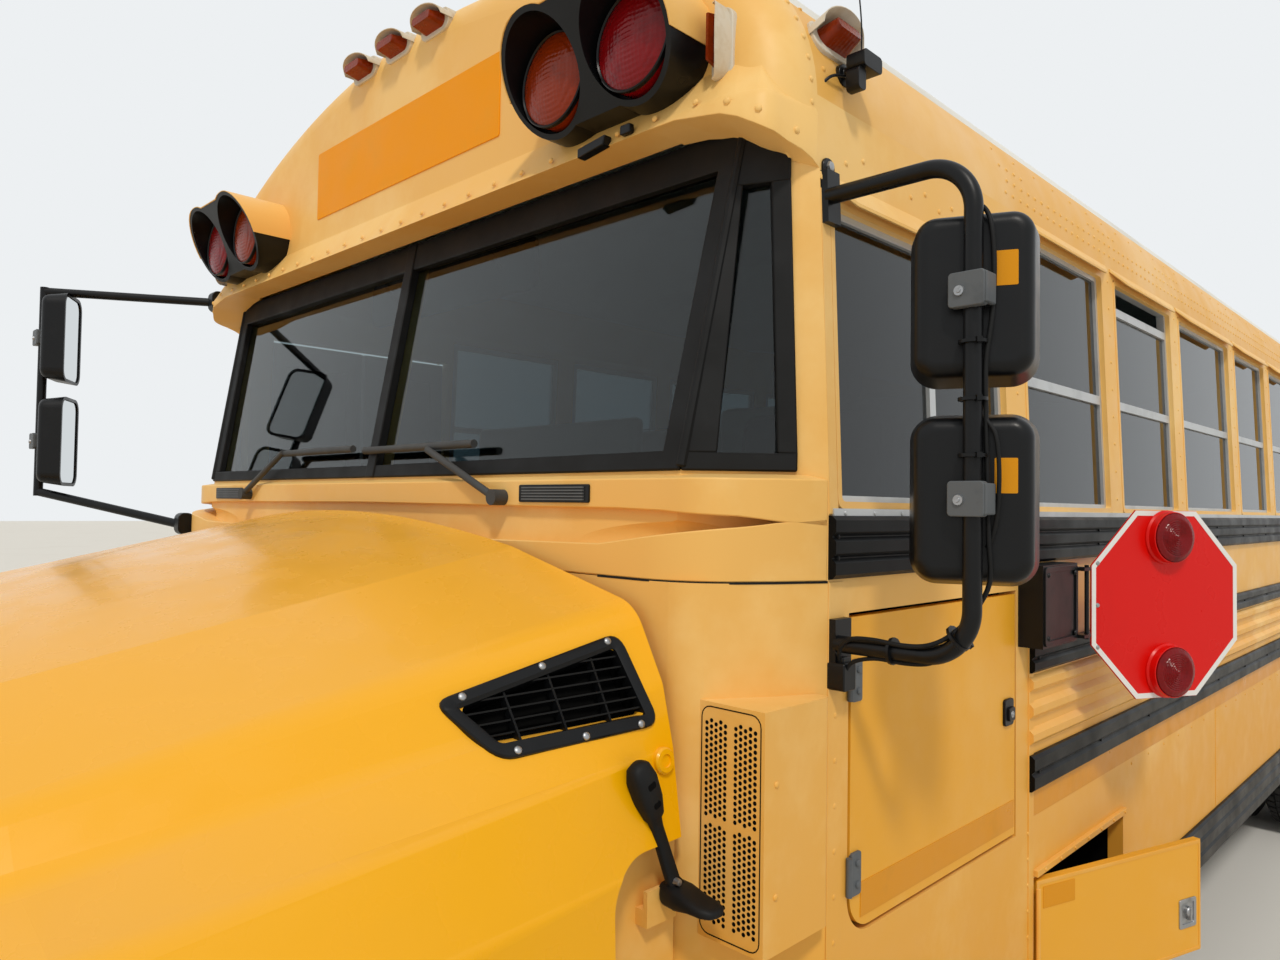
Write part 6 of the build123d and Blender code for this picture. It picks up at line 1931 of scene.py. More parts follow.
@dataclass
class Doors:
    """Fittings of the electrical, battery, entrance and rear doors.

    The battery door's window of sizes is given along the door from its pin and up from the road.
    """

    battery_pin: tuple[float, float] = (1.231, -2.515)
    battery_turn: float = 18.0
    latch_at: tuple[float, float] = (0.575, 0.792)
    hinges_z: tuple[float, float] = (1.205, 1.530)
    leaves: tuple[tuple[str, float, float], ...] = (("front", -3.282, -2.932), ("rear", -2.918, -2.568))
    panes: Outline = ((0.560, 1.300), (1.380, 2.310))
    rear_size: tuple[float, float] = (0.940, 1.304)
    rear_middle: float = 1.780
    pane_z: float = 2.095

    def build(self) -> None:
        """Dress every door."""
        self.electrical()
        self.battery()
        self.entrance()
        self.rear()

    def electrical(self) -> None:
        """Latch, hinges and reflective band of the electrical door."""
        run, body = (0, 1, 0), "electrical_door"
        latch = Shape(place((WALL, -2.663, 1.382), run)).slab((0.046, 0.058, 0.008), -0.002, 0.006)
        latch.slab((0.030, 0.030, 0.006), 0.004, 0.011, 0.004, -0.004)
        latch.piece("electrical_latch", BLACK_PLASTIC, body=body, bevel=0.0015)
        bolt = Shape(place((WALL, -2.659, 1.378), run))
        bolt.lathe([(0.0, 0.0135), (0.003, 0.0135), (0.0035, 0.012), (0.007, 0.012), (0.008, 0.0105)], 14)
        bolt.piece("electrical_latch_bolt", ZINC, body=body)
        band = Shape(place((WALL, 0, 0), run))
        band.plate([(-3.268, 1.125), (-2.628, 1.125), (-2.628, 1.184), (-3.268, 1.184)], -0.001, 0.0010)
        band.piece("electrical_door_band", YELLOW_SHEETING, body=body)
        leaves, barrels = Shape(), Shape()
        for z in self.hinges_z:
            leaves.at(place((WALL, -3.2995, z), run)).slab((0.030, 0.072, 0.005), -0.002, 0.005, 0.012)
            for rise in (0.018, -0.018):
                leaves.lathe([(0.0, 0.0095), (0.004, 0.0095), (0.006, 0.0075), (0.0065, 0.004)],
                             10, 0.014, rise)
            barrels.tube([(1.2245, -3.312, z - 0.032), (1.2245, -3.312, z + 0.032)], 0.0055, 12)
        leaves.piece("electrical_hinge_leaves", ZINC_GREY, body=body, bevel=0.001)
        barrels.piece("electrical_hinge_barrels", ZINC_GREY)

    def battery(self) -> None:
        """Recessed latch and reflective patch of the battery door, and the lipped opening behind it."""
        turn = math.radians(self.battery_turn)
        out = Vector((math.cos(turn), -math.sin(turn), 0))
        face = place(Vector((*self.battery_pin, 0)) - out * 0.012, (math.sin(turn), math.cos(turn), 0))
        x, z = self.latch_at
        latch = Shape(face).rim((0.070, 0.074, 0.006), (0.050, 0.054, 0.005), -0.002, 0.003, x, z)
        latch.slab((0.052, 0.056, 0.005), -0.002, 0.0006, x, z)
        latch.lathe([(0.0, 0.010), (0.010, 0.010), (0.0125, 0.007), (0.0125, 0.0)], 18, x, z + 0.005)
        latch.slab((0.006, 0.034, 0.002), 0.0, 0.012, x, z)
        latch.piece("battery_latch", ZINC, body="battery_door", bevel=0.0008)
        patch = Shape(face).slab((0.110, 0.050, 0.002), -0.001, 0.001, 0.085, 0.930)
        patch.piece("battery_door_patch", YELLOW_SHEETING, body="battery_door")
        hems = Shape(face).rim((0.622, 0.280, 0.006), (0.606, 0.264, 0.004), -0.001, 0.0012, 0.320, 0.830)
        hems.piece("battery_door_hem", CHALKED_ENAMEL, body="battery_door", bevel=0.0005)
        lip = Shape().block((1.218, -2.515, 0.984), (1.2300, -1.870, 0.999))
        for i in range(7):
            lip.dome((1.2300, -2.47 + i * 0.096, 0.9915), (1, 0, 0), 0.005, 0.003)
        lip.tube([(*self.battery_pin, 0.70), (*self.battery_pin, 0.96)], 0.0050, 10)
        lip.piece("battery_bay_lip", CHALKED_ENAMEL, bevel=0.001)

    def entrance(self) -> None:
        """Rubber edges, push rail and window seals of the entrance leaves."""
        for end, front, rear in self.leaves:
            name = f"entrance_leaf_{end}"
            seals = Shape(place((-WALL, 0, 0), (0, -1, 0)))
            middle, wide = -(front + rear) / 2, rear - front
            for low, high in self.panes:
                tall = high - low
                seals.rim((wide - 0.090, tall + 0.020, 0.020), (wide - 0.116, tall - 0.006, 0.012),
                          -0.002, 0.003,
                          middle, (low + high) / 2)
            seals.piece(f"{name}_seals", SEAL_RUBBER, body=name, bevel=0.001)
            path = [(-1.186, front + 0.05, 1.34), (-1.150, front + 0.07, 1.34), (-1.150, rear - 0.07, 1.34),
                    (-1.186, rear - 0.05, 1.34)]
            Shape().tube(smooth(path, 4), 0.011, 10).piece(f"{name}_rail", ALUMINIUM, body=name)

    def rear(self) -> None:
        """Panel, pane, handle, hinges and window seal of the rear door, and seals of the rear lights."""
        body = "rear_door"
        handle = Shape(BODY.tail(0.385, 1.55)).slab((0.050, 0.110, 0.010), -0.002, 0.006)
        handle.slab((0.150, 0.022, 0.009), 0.020, 0.032, 0.050)
        handle.lathe([(0.014, 0.004), (0.014, 0.022), (0.0, 0.024)], 14)
        handle.piece("rear_door_handle", ZINC, body=body, bevel=0.002)
        wide, tall = self.rear_size
        door = Shape(BODY.tail()).hoop(rounded(wide, tall, 0.004, 0, self.rear_middle),
                                       rounded(wide - 0.180, 0.500, 0.030, 0, self.pane_z), -0.045, 0.0)
        item = door.piece("rear_door_panel", CHALKED_ENAMEL, body=body, bevel=0.002)
        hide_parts("rear_door")
        pane = Shape(BODY.tail(0, self.pane_z)).slab((wide - 0.176, 0.504, 0.030), -0.024, -0.018)
        pane.piece("rear_door_pane", TINTED_GLASS, body=body)
        seal = Shape(BODY.tail(0, self.pane_z)).rim((0.800, 0.530, 0.045), (0.744, 0.474, 0.030), -0.004, 0.005)
        seal.piece("rear_door_window_seal", SEAL_RUBBER, body=body, bevel=0.0015)
        lights = Shape()
        for x in (0.830, -0.830):
            lights.at(BODY.tail(-x, 2.12)).rim((0.500, 0.600, 0.050), (0.444, 0.544, 0.032), -0.004, 0.006)
        lights.piece("rear_light_seals", SEAL_RUBBER, bevel=0.0015)
        hinges = Shape()
        for z in (1.30, 1.80, 2.28):
            hinges.at(BODY.tail(-0.474, z)).slab((0.030, 0.090, 0.006), -0.002, 0.004, 0.022)
            hinges.at().tube([(-0.474, 5.199, z - 0.044), (-0.474, 5.199, z + 0.044)], 0.006, 10)
        hinges.piece("rear_door_hinges", ZINC_GREY, bevel=0.001)


@dataclass
class StopArm:
    """White border and lamps of the stop sign, and the box's ribs and screws."""

    pin: tuple[float, float] = (1.285, -2.365)
    turn: float = 28.0
    across: float = 0.457
    centre_z: float = 1.600
    lamp_rise: float = 0.163
    box_at: Point = (1.274, -2.500, 1.610)

    def build(self) -> None:
        """Dress the sign on both faces and its box."""
        turn = math.radians(self.turn)
        front = place((*self.pin, 0), (math.sin(turn), math.cos(turn), 0))
        borders, lamps, rims, rivets = Shape(), Shape(), Shape(), Shape()
        eighth = math.pi / 8
        half = self.across / 2
        lens = [(0.060, 0.0245), (0.0585, 0.030), (0.050, 0.0335)]
        for i in range(9):
            radius = 0.046 - i * 0.005
            lens += [(radius, 0.0350 + 0.0008 * i), (radius - 0.0028, 0.0336 + 0.0008 * i)]
        lens.append((0.0, 0.042))
        bowl = [(0.0605, 0.0015), (0.0665, 0.0015), (0.0665, 0.006), (0.0625, 0.010),
                (0.0625, 0.0265), (0.0605, 0.0275)]
        for flip in SIDES:
            face = front if flip == 1 else front @ Matrix.Rotation(math.pi, 4, "Y")
            x = (0.012 + half) * flip
            outer, inner = (circle(reach / math.cos(eighth), 8, x, self.centre_z, eighth)
                            for reach in (half * 0.997, half - 0.013))
            borders.at(face).hoop(outer, inner, 0.0015, 0.0028)
            for rise in (-self.lamp_rise, self.lamp_rise):
                lamps.at(face).lathe(lens, 48, x, self.centre_z + rise)
                rims.at(face).lathe(bowl, 40, x, self.centre_z + rise)
            for rise in (-0.10, 0.0, 0.10):
                rivets.at(face).lathe([(0.0, 0.0055), (0.004, 0.005), (0.006, 0.0022)], 10, 0.030 * flip,
                                      self.centre_z + rise)
        borders.piece("stop_sign_border", WHITE_SHEETING, body="stop_sign")
        lamps.piece("stop_sign_lamps", RED_LENS, body="stop_sign", sharp=50)
        rims.piece("stop_sign_lamp_rims", RED_SHEETING, body="stop_sign")
        rivets.piece("stop_sign_rivets", ZINC, body="stop_sign")
        self.box()

    def box(self) -> None:
        """Face frame, screws and ribs of the arm's box."""
        box = Shape(place(self.box_at, (0, 1, 0)))
        box.rim((0.200, 0.176, 0.012), (0.176, 0.152, 0.008), -0.002, 0.004)
        for x in (-0.082, 0.082):
            for z in (-0.070, 0.070):
                box.lathe([(0.0, 0.0075), (0.0035, 0.0075), (0.0055, 0.005), (0.006, 0.003)], 10, x, z)
        box.at()
        for i in range(6):
            z = 1.545 + 0.025 * i
            box.block((WALL, -2.395, z - 0.003), (1.268, -2.389, z + 0.003))
        box.piece("stop_arm_box_trim", BLACK_PLASTIC, bevel=0.001)


@dataclass
class RoadWheels:
    """Treaded tyres in place of the plain ones, and the wheels' nuts and hub caps.

    The sidewall holds radius and distance from the tyre's middle; a tread column its two edges and its shift.
    """

    tyre_r: float = 0.505
    front: tuple[float, float] = (1.010, -4.345)
    rear: tuple[float, float] = (1.065, 1.955)
    inner: float = 0.730
    nut_circle: float = 0.143
    nuts: int = 10
    lugs: int = 60
    groove_r: float = 0.484
    sidewall: Outline = (
        (0.285, 0.112), (0.292, 0.121), (0.300, 0.122), (0.306, 0.128), (0.325, 0.1335), (0.352, 0.1375),
        (0.360, 0.1385), (0.364, 0.1375), (0.395, 0.1390), (0.425, 0.1375), (0.429, 0.1385), (0.445, 0.1355),
        (0.466, 0.1285), (0.478, 0.1200), (0.487, 0.1100), (0.4915, 0.0900), (0.4915, 0.0700), (0.4925, 0.0),
    )
    columns: tuple[Point, ...] = (
        (-0.110, -0.076, 0.4), (-0.068, -0.030, 0.0), (-0.021, 0.021, 0.5),
        (0.030, 0.068, 0.0), (0.076, 0.110, 0.4),
    )

    def build(self) -> None:
        """Make the six tyres and dress the four wheels."""
        (front_x, front_y), (rear_x, rear_y) = self.front, self.rear
        for side, name in zip(SIDES, ("left", "right")):
            tyre = Shape()
            self.tyre(tyre, side * front_x, front_y)
            item = tyre.piece(f"tread_front_{name}", TYRE_RUBBER, body=f"wheel_front_{name}", sharp=28)
            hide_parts(f"tyre_front_{name}")
            pair = Shape()
            for x in (self.inner, rear_x):
                self.tyre(pair, side * x, rear_y)
            item = pair.piece(f"treads_rear_{name}", TYRE_RUBBER, body=f"wheels_rear_{name}", sharp=28)
            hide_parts(f"tyres_rear_{name}")
            hub = self.nut_ring(side, front_x + 0.084, front_y, front_x + 0.150)
            hub.piece(f"hub_front_{name}", CAST_IRON, body=f"wheel_front_{name}", bevel=0.0015)
            hub = self.nut_ring(side, (rear_x + self.inner) / 2 + 0.014, rear_y, rear_x + 0.110)
            hub.piece(f"hubs_rear_{name}", CAST_IRON, body=f"wheels_rear_{name}", bevel=0.0015)

    def tyre(self, shape: Shape, x: float, y: float) -> None:
        """Tyre with sidewall rings, shoulder lugs and grooved tread.

        Args:
            shape: the shape that takes it.
            x: middle of its width.
            y: axle's place along the bus.
        """
        profile = [*self.sidewall, *((radius, -out) for radius, out in reversed(self.sidewall[:-1]))]
        shape.at(place((x, y, self.tyre_r), (0, 1, 0))).lathe(profile, 120)
        pitch = FULL_TURN / self.lugs
        for low, high, shift in self.columns:
            shoulder = abs(low + high) > 0.15
            length = pitch * (0.74 if shoulder else 0.86)
            slant = 0.0 if shoulder else 0.012
            # Angle from the lug's start, distance out and share of the shoulder's drop at each corner
            corners = [(angle + lean, out, 0.007 if shoulder and abs(out) > 0.1 else 0.0)
                       for angle, lean, out in ((0.0, 0.0, low), (length, 0.0, low), (length, slant, high),
                                                (0.0, slant, high))]
            for i in range(self.lugs):
                start = pitch * (i + shift)
                rings = []
                for radius, falls in ((self.groove_r, 0), (self.tyre_r - 0.0006, 1)):
                    rings.append([((radius - falls * drop) * math.cos(start + angle),
                                   (radius - falls * drop) * math.sin(start + angle), out)
                                  for angle, out, drop in corners])
                shape.skin(rings)

    def nut_ring(self, side: int, flat_x: float, y: float, hub_x: float) -> Shape:
        """Nuts and studs on the disc and a flanged cap on the hub.

        Args:
            side: 1 for the left side, -1 for the right.
            flat_x: distance of the disc's outer face from the bus's middle.
            y: axle's place along the bus.
            hub_x: distance of the hub's end.

        Returns:
            The shape.
        """
        shape = Shape(place((side * flat_x, y, self.tyre_r), (0, side, 0)))
        nut = [(0.021, -0.001), (0.021, 0.004), (0.0165, 0.004), (0.0165, 0.022), (0.013, 0.026), (0.0, 0.026)]
        for x, z in circle(self.nut_circle, self.nuts, turn=math.pi / self.nuts):
            shape.lathe(nut, 6, x, z)
            shape.lathe([(0.009, 0.020), (0.009, 0.034), (0.0, 0.036)], 10, x, z)
        shape.at(place((side * (hub_x - 0.001), y, self.tyre_r), (0, side, 0)))
        shape.lathe([(0.105, -0.002), (0.105, 0.002), (0.090, 0.005), (0.060, 0.006),
                     (0.055, 0.009), (0.0, 0.0095)], 40)
        for x, z in circle(0.080, 8):
            shape.lathe([(0.008, 0.003), (0.008, 0.0085), (0.0, 0.009)], 6, x, z)
        return shape


def inflate(item: Item, limit: float, pressure: float = 4.0, frames: int = 20) -> None:
    """Swell a pad with a short cloth simulation and keep the result in its mesh.

    Args:
        item: the pad.
        limit: the most that a point may move, in metres.
        pressure: pressure inside the pad.
        frames: steps of the simulation.
    """
    scene = bpy.context.scene
    start = [v.co.copy() for v in item.data.vertices]
    cloth = item.modifiers.new("swell", "CLOTH")
    cloth.settings.use_pressure = True
    cloth.settings.uniform_pressure_force = pressure
    cloth.settings.effector_weights.gravity = 0.0
    cloth.point_cache.frame_end = frames
    for frame in range(1, frames + 1):
        scene.frame_set(frame)
    swollen = item.evaluated_get(bpy.context.evaluated_depsgraph_get()).data
    ends = [v.co.copy() for v in swollen.vertices]
    item.modifiers.remove(cloth)
    for vertex, before, after in zip(item.data.vertices, start, ends):
        move = after - before
        vertex.co = before + move * min(1.0, limit / max(move.length, 1e-9))
    scene.frame_set(1)


@dataclass
class Pad:
    """A sewn, padded cushion: a rounded slab whose broad faces crown and whose rims carry welts."""

    width: float
    depth: float
    height: float
    edge: float = 0.034
    crown: float = 0.008
    cell: float = 0.022
    limit: float = 0.010

    def shape(self) -> Shape:
        """Rounded slab about its middle, with its broad faces up and down.

        Returns:
            The slab's points and faces.
        """
        sizes = (self.width, self.depth, self.height)
        counts = [max(2, round(size / self.cell)) for size in sizes]
        halves = [size / 2 for size in sizes]
        shape = Shape()
        for axis in range(3):
            a, b = (axis + 1) % 3, (axis + 2) % 3
            for way in (-1, 1):
                rows = []
                for i in range(counts[a] + 1):
                    row = []
                    for j in range(counts[b] + 1):
                        spot = [0.0, 0.0, 0.0]
                        spot[axis] = way * halves[axis]
                        spot[a] = -halves[a] + 2 * halves[a] * i / counts[a]
                        spot[b] = -halves[b] + 2 * halves[b] * j / counts[b]
                        row.append(self.surface(Vector(spot), halves))
                    rows.append(row)
                shape.skin(rows, closed=False, caps=False)
        return shape

    def surface(self, spot: Vector, halves: Sequence[float]) -> Vector:
        """Place on the rounded, crowned surface.

        Args:
            spot: the place on the plain box.
            halves: half the box's sizes.

        Returns:
            The point.
        """
        radius = min(self.edge, halves[2] * 0.98)
        core = Vector([max(radius - half, min(half - radius, s)) for s, half in zip(spot, halves)])
        point = core + (spot - core).normalized() * radius
        bulge = self.crown * (1 - (point.x / halves[0]) ** 2) * (1 - (point.y / halves[1]) ** 2)
        point.z += bulge * point.z / halves[2]
        return point

    def welt(self, shape: Shape, frame: Matrix, radius: float = 0.0032) -> None:
        """Add the welts round the upper and lower rims.

        Args:
            shape: the shape that takes them.
            frame: the pad's frame.
            radius: the welts' radius.
        """
        edge = min(self.edge, self.height * 0.49)
        rise, draw = self.height / 2 - edge * 0.28, edge * 0.24
        outline = rounded(self.width - 2 * draw, self.depth - 2 * draw, self.edge, steps=4)
        for z in (rise, -rise):
            path = [(x, y, z) for x, y in outline]
            shape.at(frame).tube([*path, path[0]], radius, 5)


def pose(spot: Point, degrees: float) -> Matrix:
    """Frame at a spot, turned about the bus's crosswise direction."""
    return Matrix.Translation(spot) @ Matrix.Rotation(math.radians(degrees), 4, "X")


@dataclass
class Seating:
    """Passenger benches and barriers on their frames, and the driver's seat, in place of the plain blocks.

    A driver's pad is its name, its form, its place and its turn.
    """

    first_row: float = -2.250
    barrier_y: float = -2.3975
    aisle: float = 0.180
    width: float = 0.960
    floor: float = 1.140
    wall: float = 1.140
    seat: Pad = field(default_factory=lambda: Pad(0.955, 0.400, 0.088))
    back: Pad = field(default_factory=lambda: Pad(0.955, 0.735, 0.080))
    barrier: Pad = field(default_factory=lambda: Pad(0.955, 0.795, 0.046, edge=0.020, crown=0.002, limit=0.004))
    driver_at: tuple[float, float] = (0.620, -2.720)
    driver_pads: tuple[tuple[str, Pad, Point, float], ...] = field(default_factory=lambda: (
        ("driver_cushion", Pad(0.490, 0.450, 0.115, 0.045, 0.012, 0.020), (0.620, -2.725, 1.588), 0.0),
        ("driver_back", Pad(0.470, 0.440, 0.095, 0.045, 0.012, 0.020), (0.620, -2.528, 1.875), 88.0),
        ("driver_head_pad", Pad(0.270, 0.140, 0.080, 0.038, 0.006, 0.016), (0.620, -2.525, 2.172), 88.0),
    ))

    def build(self) -> None:
        """Make one pad of each kind, then set copies of it in every row."""
        seat_mesh = self.mesh("seat_pad", self.seat)
        back_mesh = self.mesh("back_pad", self.back)
        barrier_mesh = self.mesh("barrier_pad", self.barrier)
        for side, name in zip(SIDES, ("left", "right")):
            x = side * (self.aisle + self.width / 2)
            welts, frames = Shape(), Shape()
            self.put(f"barrier_{name}", barrier_mesh, pose((x, self.barrier_y, self.floor + 0.600), 90))
            self.leg(frames, side, self.barrier_y, 0.210)
            for row in range(WINDOW_COUNT):
                y = self.first_row + row * WINDOW_PITCH
                flat = pose((x, y + 0.202, self.floor + 0.284), -2.5)
                lean = pose((x, y + 0.478, self.floor + 0.662), 84.6)
                self.put(f"seat_{name}_{row + 1}", seat_mesh, flat)
                self.put(f"back_{name}_{row + 1}", back_mesh, lean)
                self.seat.welt(welts, flat)
                self.back.welt(welts, lean)
                self.frame(frames, side, y)
            welts.piece(f"bench_welts_{name}", SEAT_VINYL, sharp=80)
            frames.piece(f"bench_frames_{name}", BLACK_ENAMEL)
        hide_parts("benches")
        self.driver()
        self.pedestal()

    def mesh(self, name: str, pad: Pad) -> bpy.types.Mesh:
        """Make a pad's mesh, swollen by simulation.

        Args:
            name: the mesh's name.
            pad: the pad.

        Returns:
            The finished mesh.
        """
        trial = pad.shape().piece(name, SEAT_VINYL, sharp=180)
        inflate(trial, pad.limit)
        mesh = trial.data
        bpy.data.objects.remove(trial)
        return mesh

    def put(self, name: str, mesh: bpy.types.Mesh, frame: Matrix) -> None:
        """Args:
            name: the piece's name.
            mesh: the pad's mesh.
            frame: its place and turn.
        """
        item = link(name, mesh)
        item.matrix_world = frame
        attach(item, "chassis")
        log.info("%s: %d faces on chassis", name, len(mesh.polygons))

    def leg(self, shape: Shape, side: int, y: float, height: float) -> None:
        """Square leg with a foot plate on the floor, near the aisle.

        Args:
            shape: the shape that takes it.
            side: 1 for the left side, -1 for the right.
            y: its place along the bus.
            height: its height over the floor.
        """
        x = side * (self.aisle + 0.160)
        shape.block((x - 0.015, y - 0.015, self.floor), (x + 0.015, y + 0.015, self.floor + height))
        shape.block((x - 0.030, y - 0.032, self.floor), (x + 0.030, y + 0.032, self.floor + 0.005))

    def frame(self, shape: Shape, side: int, y: float) -> None:
        """One bench's legs, board, rails and wall bracket.

        Args:
            shape: the shape that takes them.
            side: 1 for the left side, -1 for the right.
            y: the bench's front edge.
        """
        for back in (0.060, 0.400):
            self.leg(shape, side, y + back, 0.232)
        reach = (self.aisle + 0.02, self.aisle + self.width - 0.02)
        # Distances from the middle, along the bus from the front edge, and up from the floor
        for x, run, rise in ((reach, (0.012, 0.392), (0.228, 0.240)), (reach, (0.030, 0.056), (0.205, 0.228)),
                             (reach, (0.360, 0.386), (0.205, 0.228)),
                             ((self.wall - 0.03, self.wall), (0.02, 0.40), (0.17, 0.228))):
            shape.flank(side, x, [y + v for v in run], [self.floor + v for v in rise])

    def driver(self) -> None:
        """Driver's cushion, back and head pad with their welts."""
        welts = Shape()
        for name, pad, spot, turn in self.driver_pads:
            item = pad.shape().piece(name, SEAT_CLOTH, sharp=180)
            inflate(item, 0.008)
            item.matrix_world = pose(spot, turn)
            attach(item, "chassis")
            pad.welt(welts, pose(spot, turn))
        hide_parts("driver_seat")
        welts.piece("driver_seat_welts", SEAT_VINYL_DARK, sharp=80)

    def pedestal(self) -> None:
        """Bellows, base plates and back posts under the driver's seat."""
        x, y = self.driver_at
        rings = []
        for i in range(19):
            wide = 0.0 if i % 2 else 0.022
            rings.append([(px, py, 0.02 + i * 0.018) for px, py in rounded(0.270 + wide, 0.290 + wide, 0.040)])
        bellows = Shape(Matrix.Translation((x, y, self.floor + 0.020))).skin(rings)
        bellows.piece("driver_seat_bellows", SEAL_RUBBER, sharp=60)
        base = Shape(Matrix.Translation((x, y, self.floor)))
        base.slab((0.300, 0.320, 0.03), 0.0, 0.042).slab((0.400, 0.400, 0.05), 0.372, 0.392).at()
        for post_x in (x - 0.060, x + 0.060):
            base.tube([(post_x, -2.526, 2.080), (post_x, -2.525, 2.120)], 0.007, 8)
            base.tube(smooth([(post_x, -2.56, 1.545), (post_x, -2.51, 1.56), (post_x, -2.505, 1.68)]), 0.012, 8)
        base.piece("driver_seat_base", BLACK_ENAMEL, bevel=0.002)


@dataclass
class Cab:
    """Steering wheel rim, gauges and switches on the dashboard, and the inside mirror.

    A gauge is its distance from the panel's middle and its radius.
    """

    hub: Point = (0.600, -3.148, 1.702)
    rim_r: float = 0.215
    grip_r: float = 0.0205
    panel: Point = (0.600, -3.300, 1.700)
    gauges: Outline = ((-0.105, 0.040), (0.0, 0.046), (0.105, 0.040))
    mirror: Point = (0.0, -3.318, 2.395)

    def build(self) -> None:
        """Make the cab's fittings."""
        self.wheel()
        self.dashboard()
        self.dials()
        self.inside_mirror()

    def wheel(self) -> None:
        """Grip of the steering wheel, moulded with finger ribs, and its hub cap."""
        tilt = Vector((0, 0.75, 0.66)).normalized()
        rings = []
        steps = 64
        for i in range(steps + 1):
            angle = FULL_TURN * i / steps
            grip = self.grip_r - (0.0012 if i // 2 % 2 else 0.0)
            rings.append([((self.rim_r + across) * math.cos(angle),
                           (self.rim_r + across) * math.sin(angle), out)
                          for across, out in circle(grip, 12)])
        rim = Shape(facing(Vector(self.hub) + tilt * 0.013, Vector((1, 0, 0)), tilt)).skin(rings, caps=False)
        rim.lathe([(0.062, 0.010), (0.062, 0.018), (0.050, 0.026), (0.030, 0.029), (0.0, 0.030)], 32)
        rim.piece("steering_wheel_grip", BLACK_PLASTIC, sharp=60)

    def dashboard(self) -> None:
        """Gauge panel and switch plate with its rockers."""
        panel = Shape(place(self.panel, (1, 0, 0)) @ Matrix.Rotation(math.pi, 4, "Y"))
        panel.slab((0.340, 0.130, 0.040), -0.01, 0.030)
        panel.at(place((0.20, -3.300, 1.62), (-1, 0, 0))).slab((0.220, 0.180, 0.012), -0.01, 0.012)
        for column in range(4):
            for row in range(3):
                panel.slab((0.034, 0.020, 0.004), 0.010, 0.020, -0.075 + column * 0.05, -0.055 + row * 0.05)
        panel.piece("instrument_panel", BLACK_PLASTIC, bevel=0.003)

    def dials(self) -> None:
        """Blank gauge faces with their marks and bezels."""
        dials, bezels = Shape(), Shape()
        for x, radius in self.gauges:
            face = place((self.panel[0] + x, -3.270, self.panel[2]), (-1, 0, 0))
            dials.at(face).plate(circle(radius, 32), -0.001, 0.001)
            for i in range(9):
                bezels.at(face @ Matrix.Rotation(math.radians(225 - i * 33.75), 4, "Z"))
                bezels.block((radius * 0.76, -0.0012, 0.001), (radius * 0.92, 0.0012, 0.0018))
            bezels.at(face).lathe([(radius, 0.0), (radius + 0.005, 0.0), (radius + 0.005, 0.006),
                                   (radius, 0.007),
                                   (radius, 0.0)], 32)
        dials.piece("gauge_faces", GREY_PLASTIC)
        bezels.piece("gauge_rings", WHITE_SHEETING, slot="steel")

    def inside_mirror(self) -> None:
        """Long mirror over the windshield on two stalks."""
        x, y, z = self.mirror
        frame = Shape(place(self.mirror, (-1, 0, 0))).slab((0.760, 0.130, 0.03), -0.012, 0.004).at()
        for stalk in (x - 0.25, x + 0.25):
            frame.tube([(stalk, -3.330, z), (stalk, -3.372, 2.440)], 0.006, 8)
        frame.piece("inside_mirror_frame", BLACK_PLASTIC, bevel=0.002)
        glass = Shape(place(self.mirror, (-1, 0, 0))).slab((0.740, 0.112, 0.024), 0.003, 0.0055)
        glass.piece("inside_mirror_glass", MIRROR_GLASS)


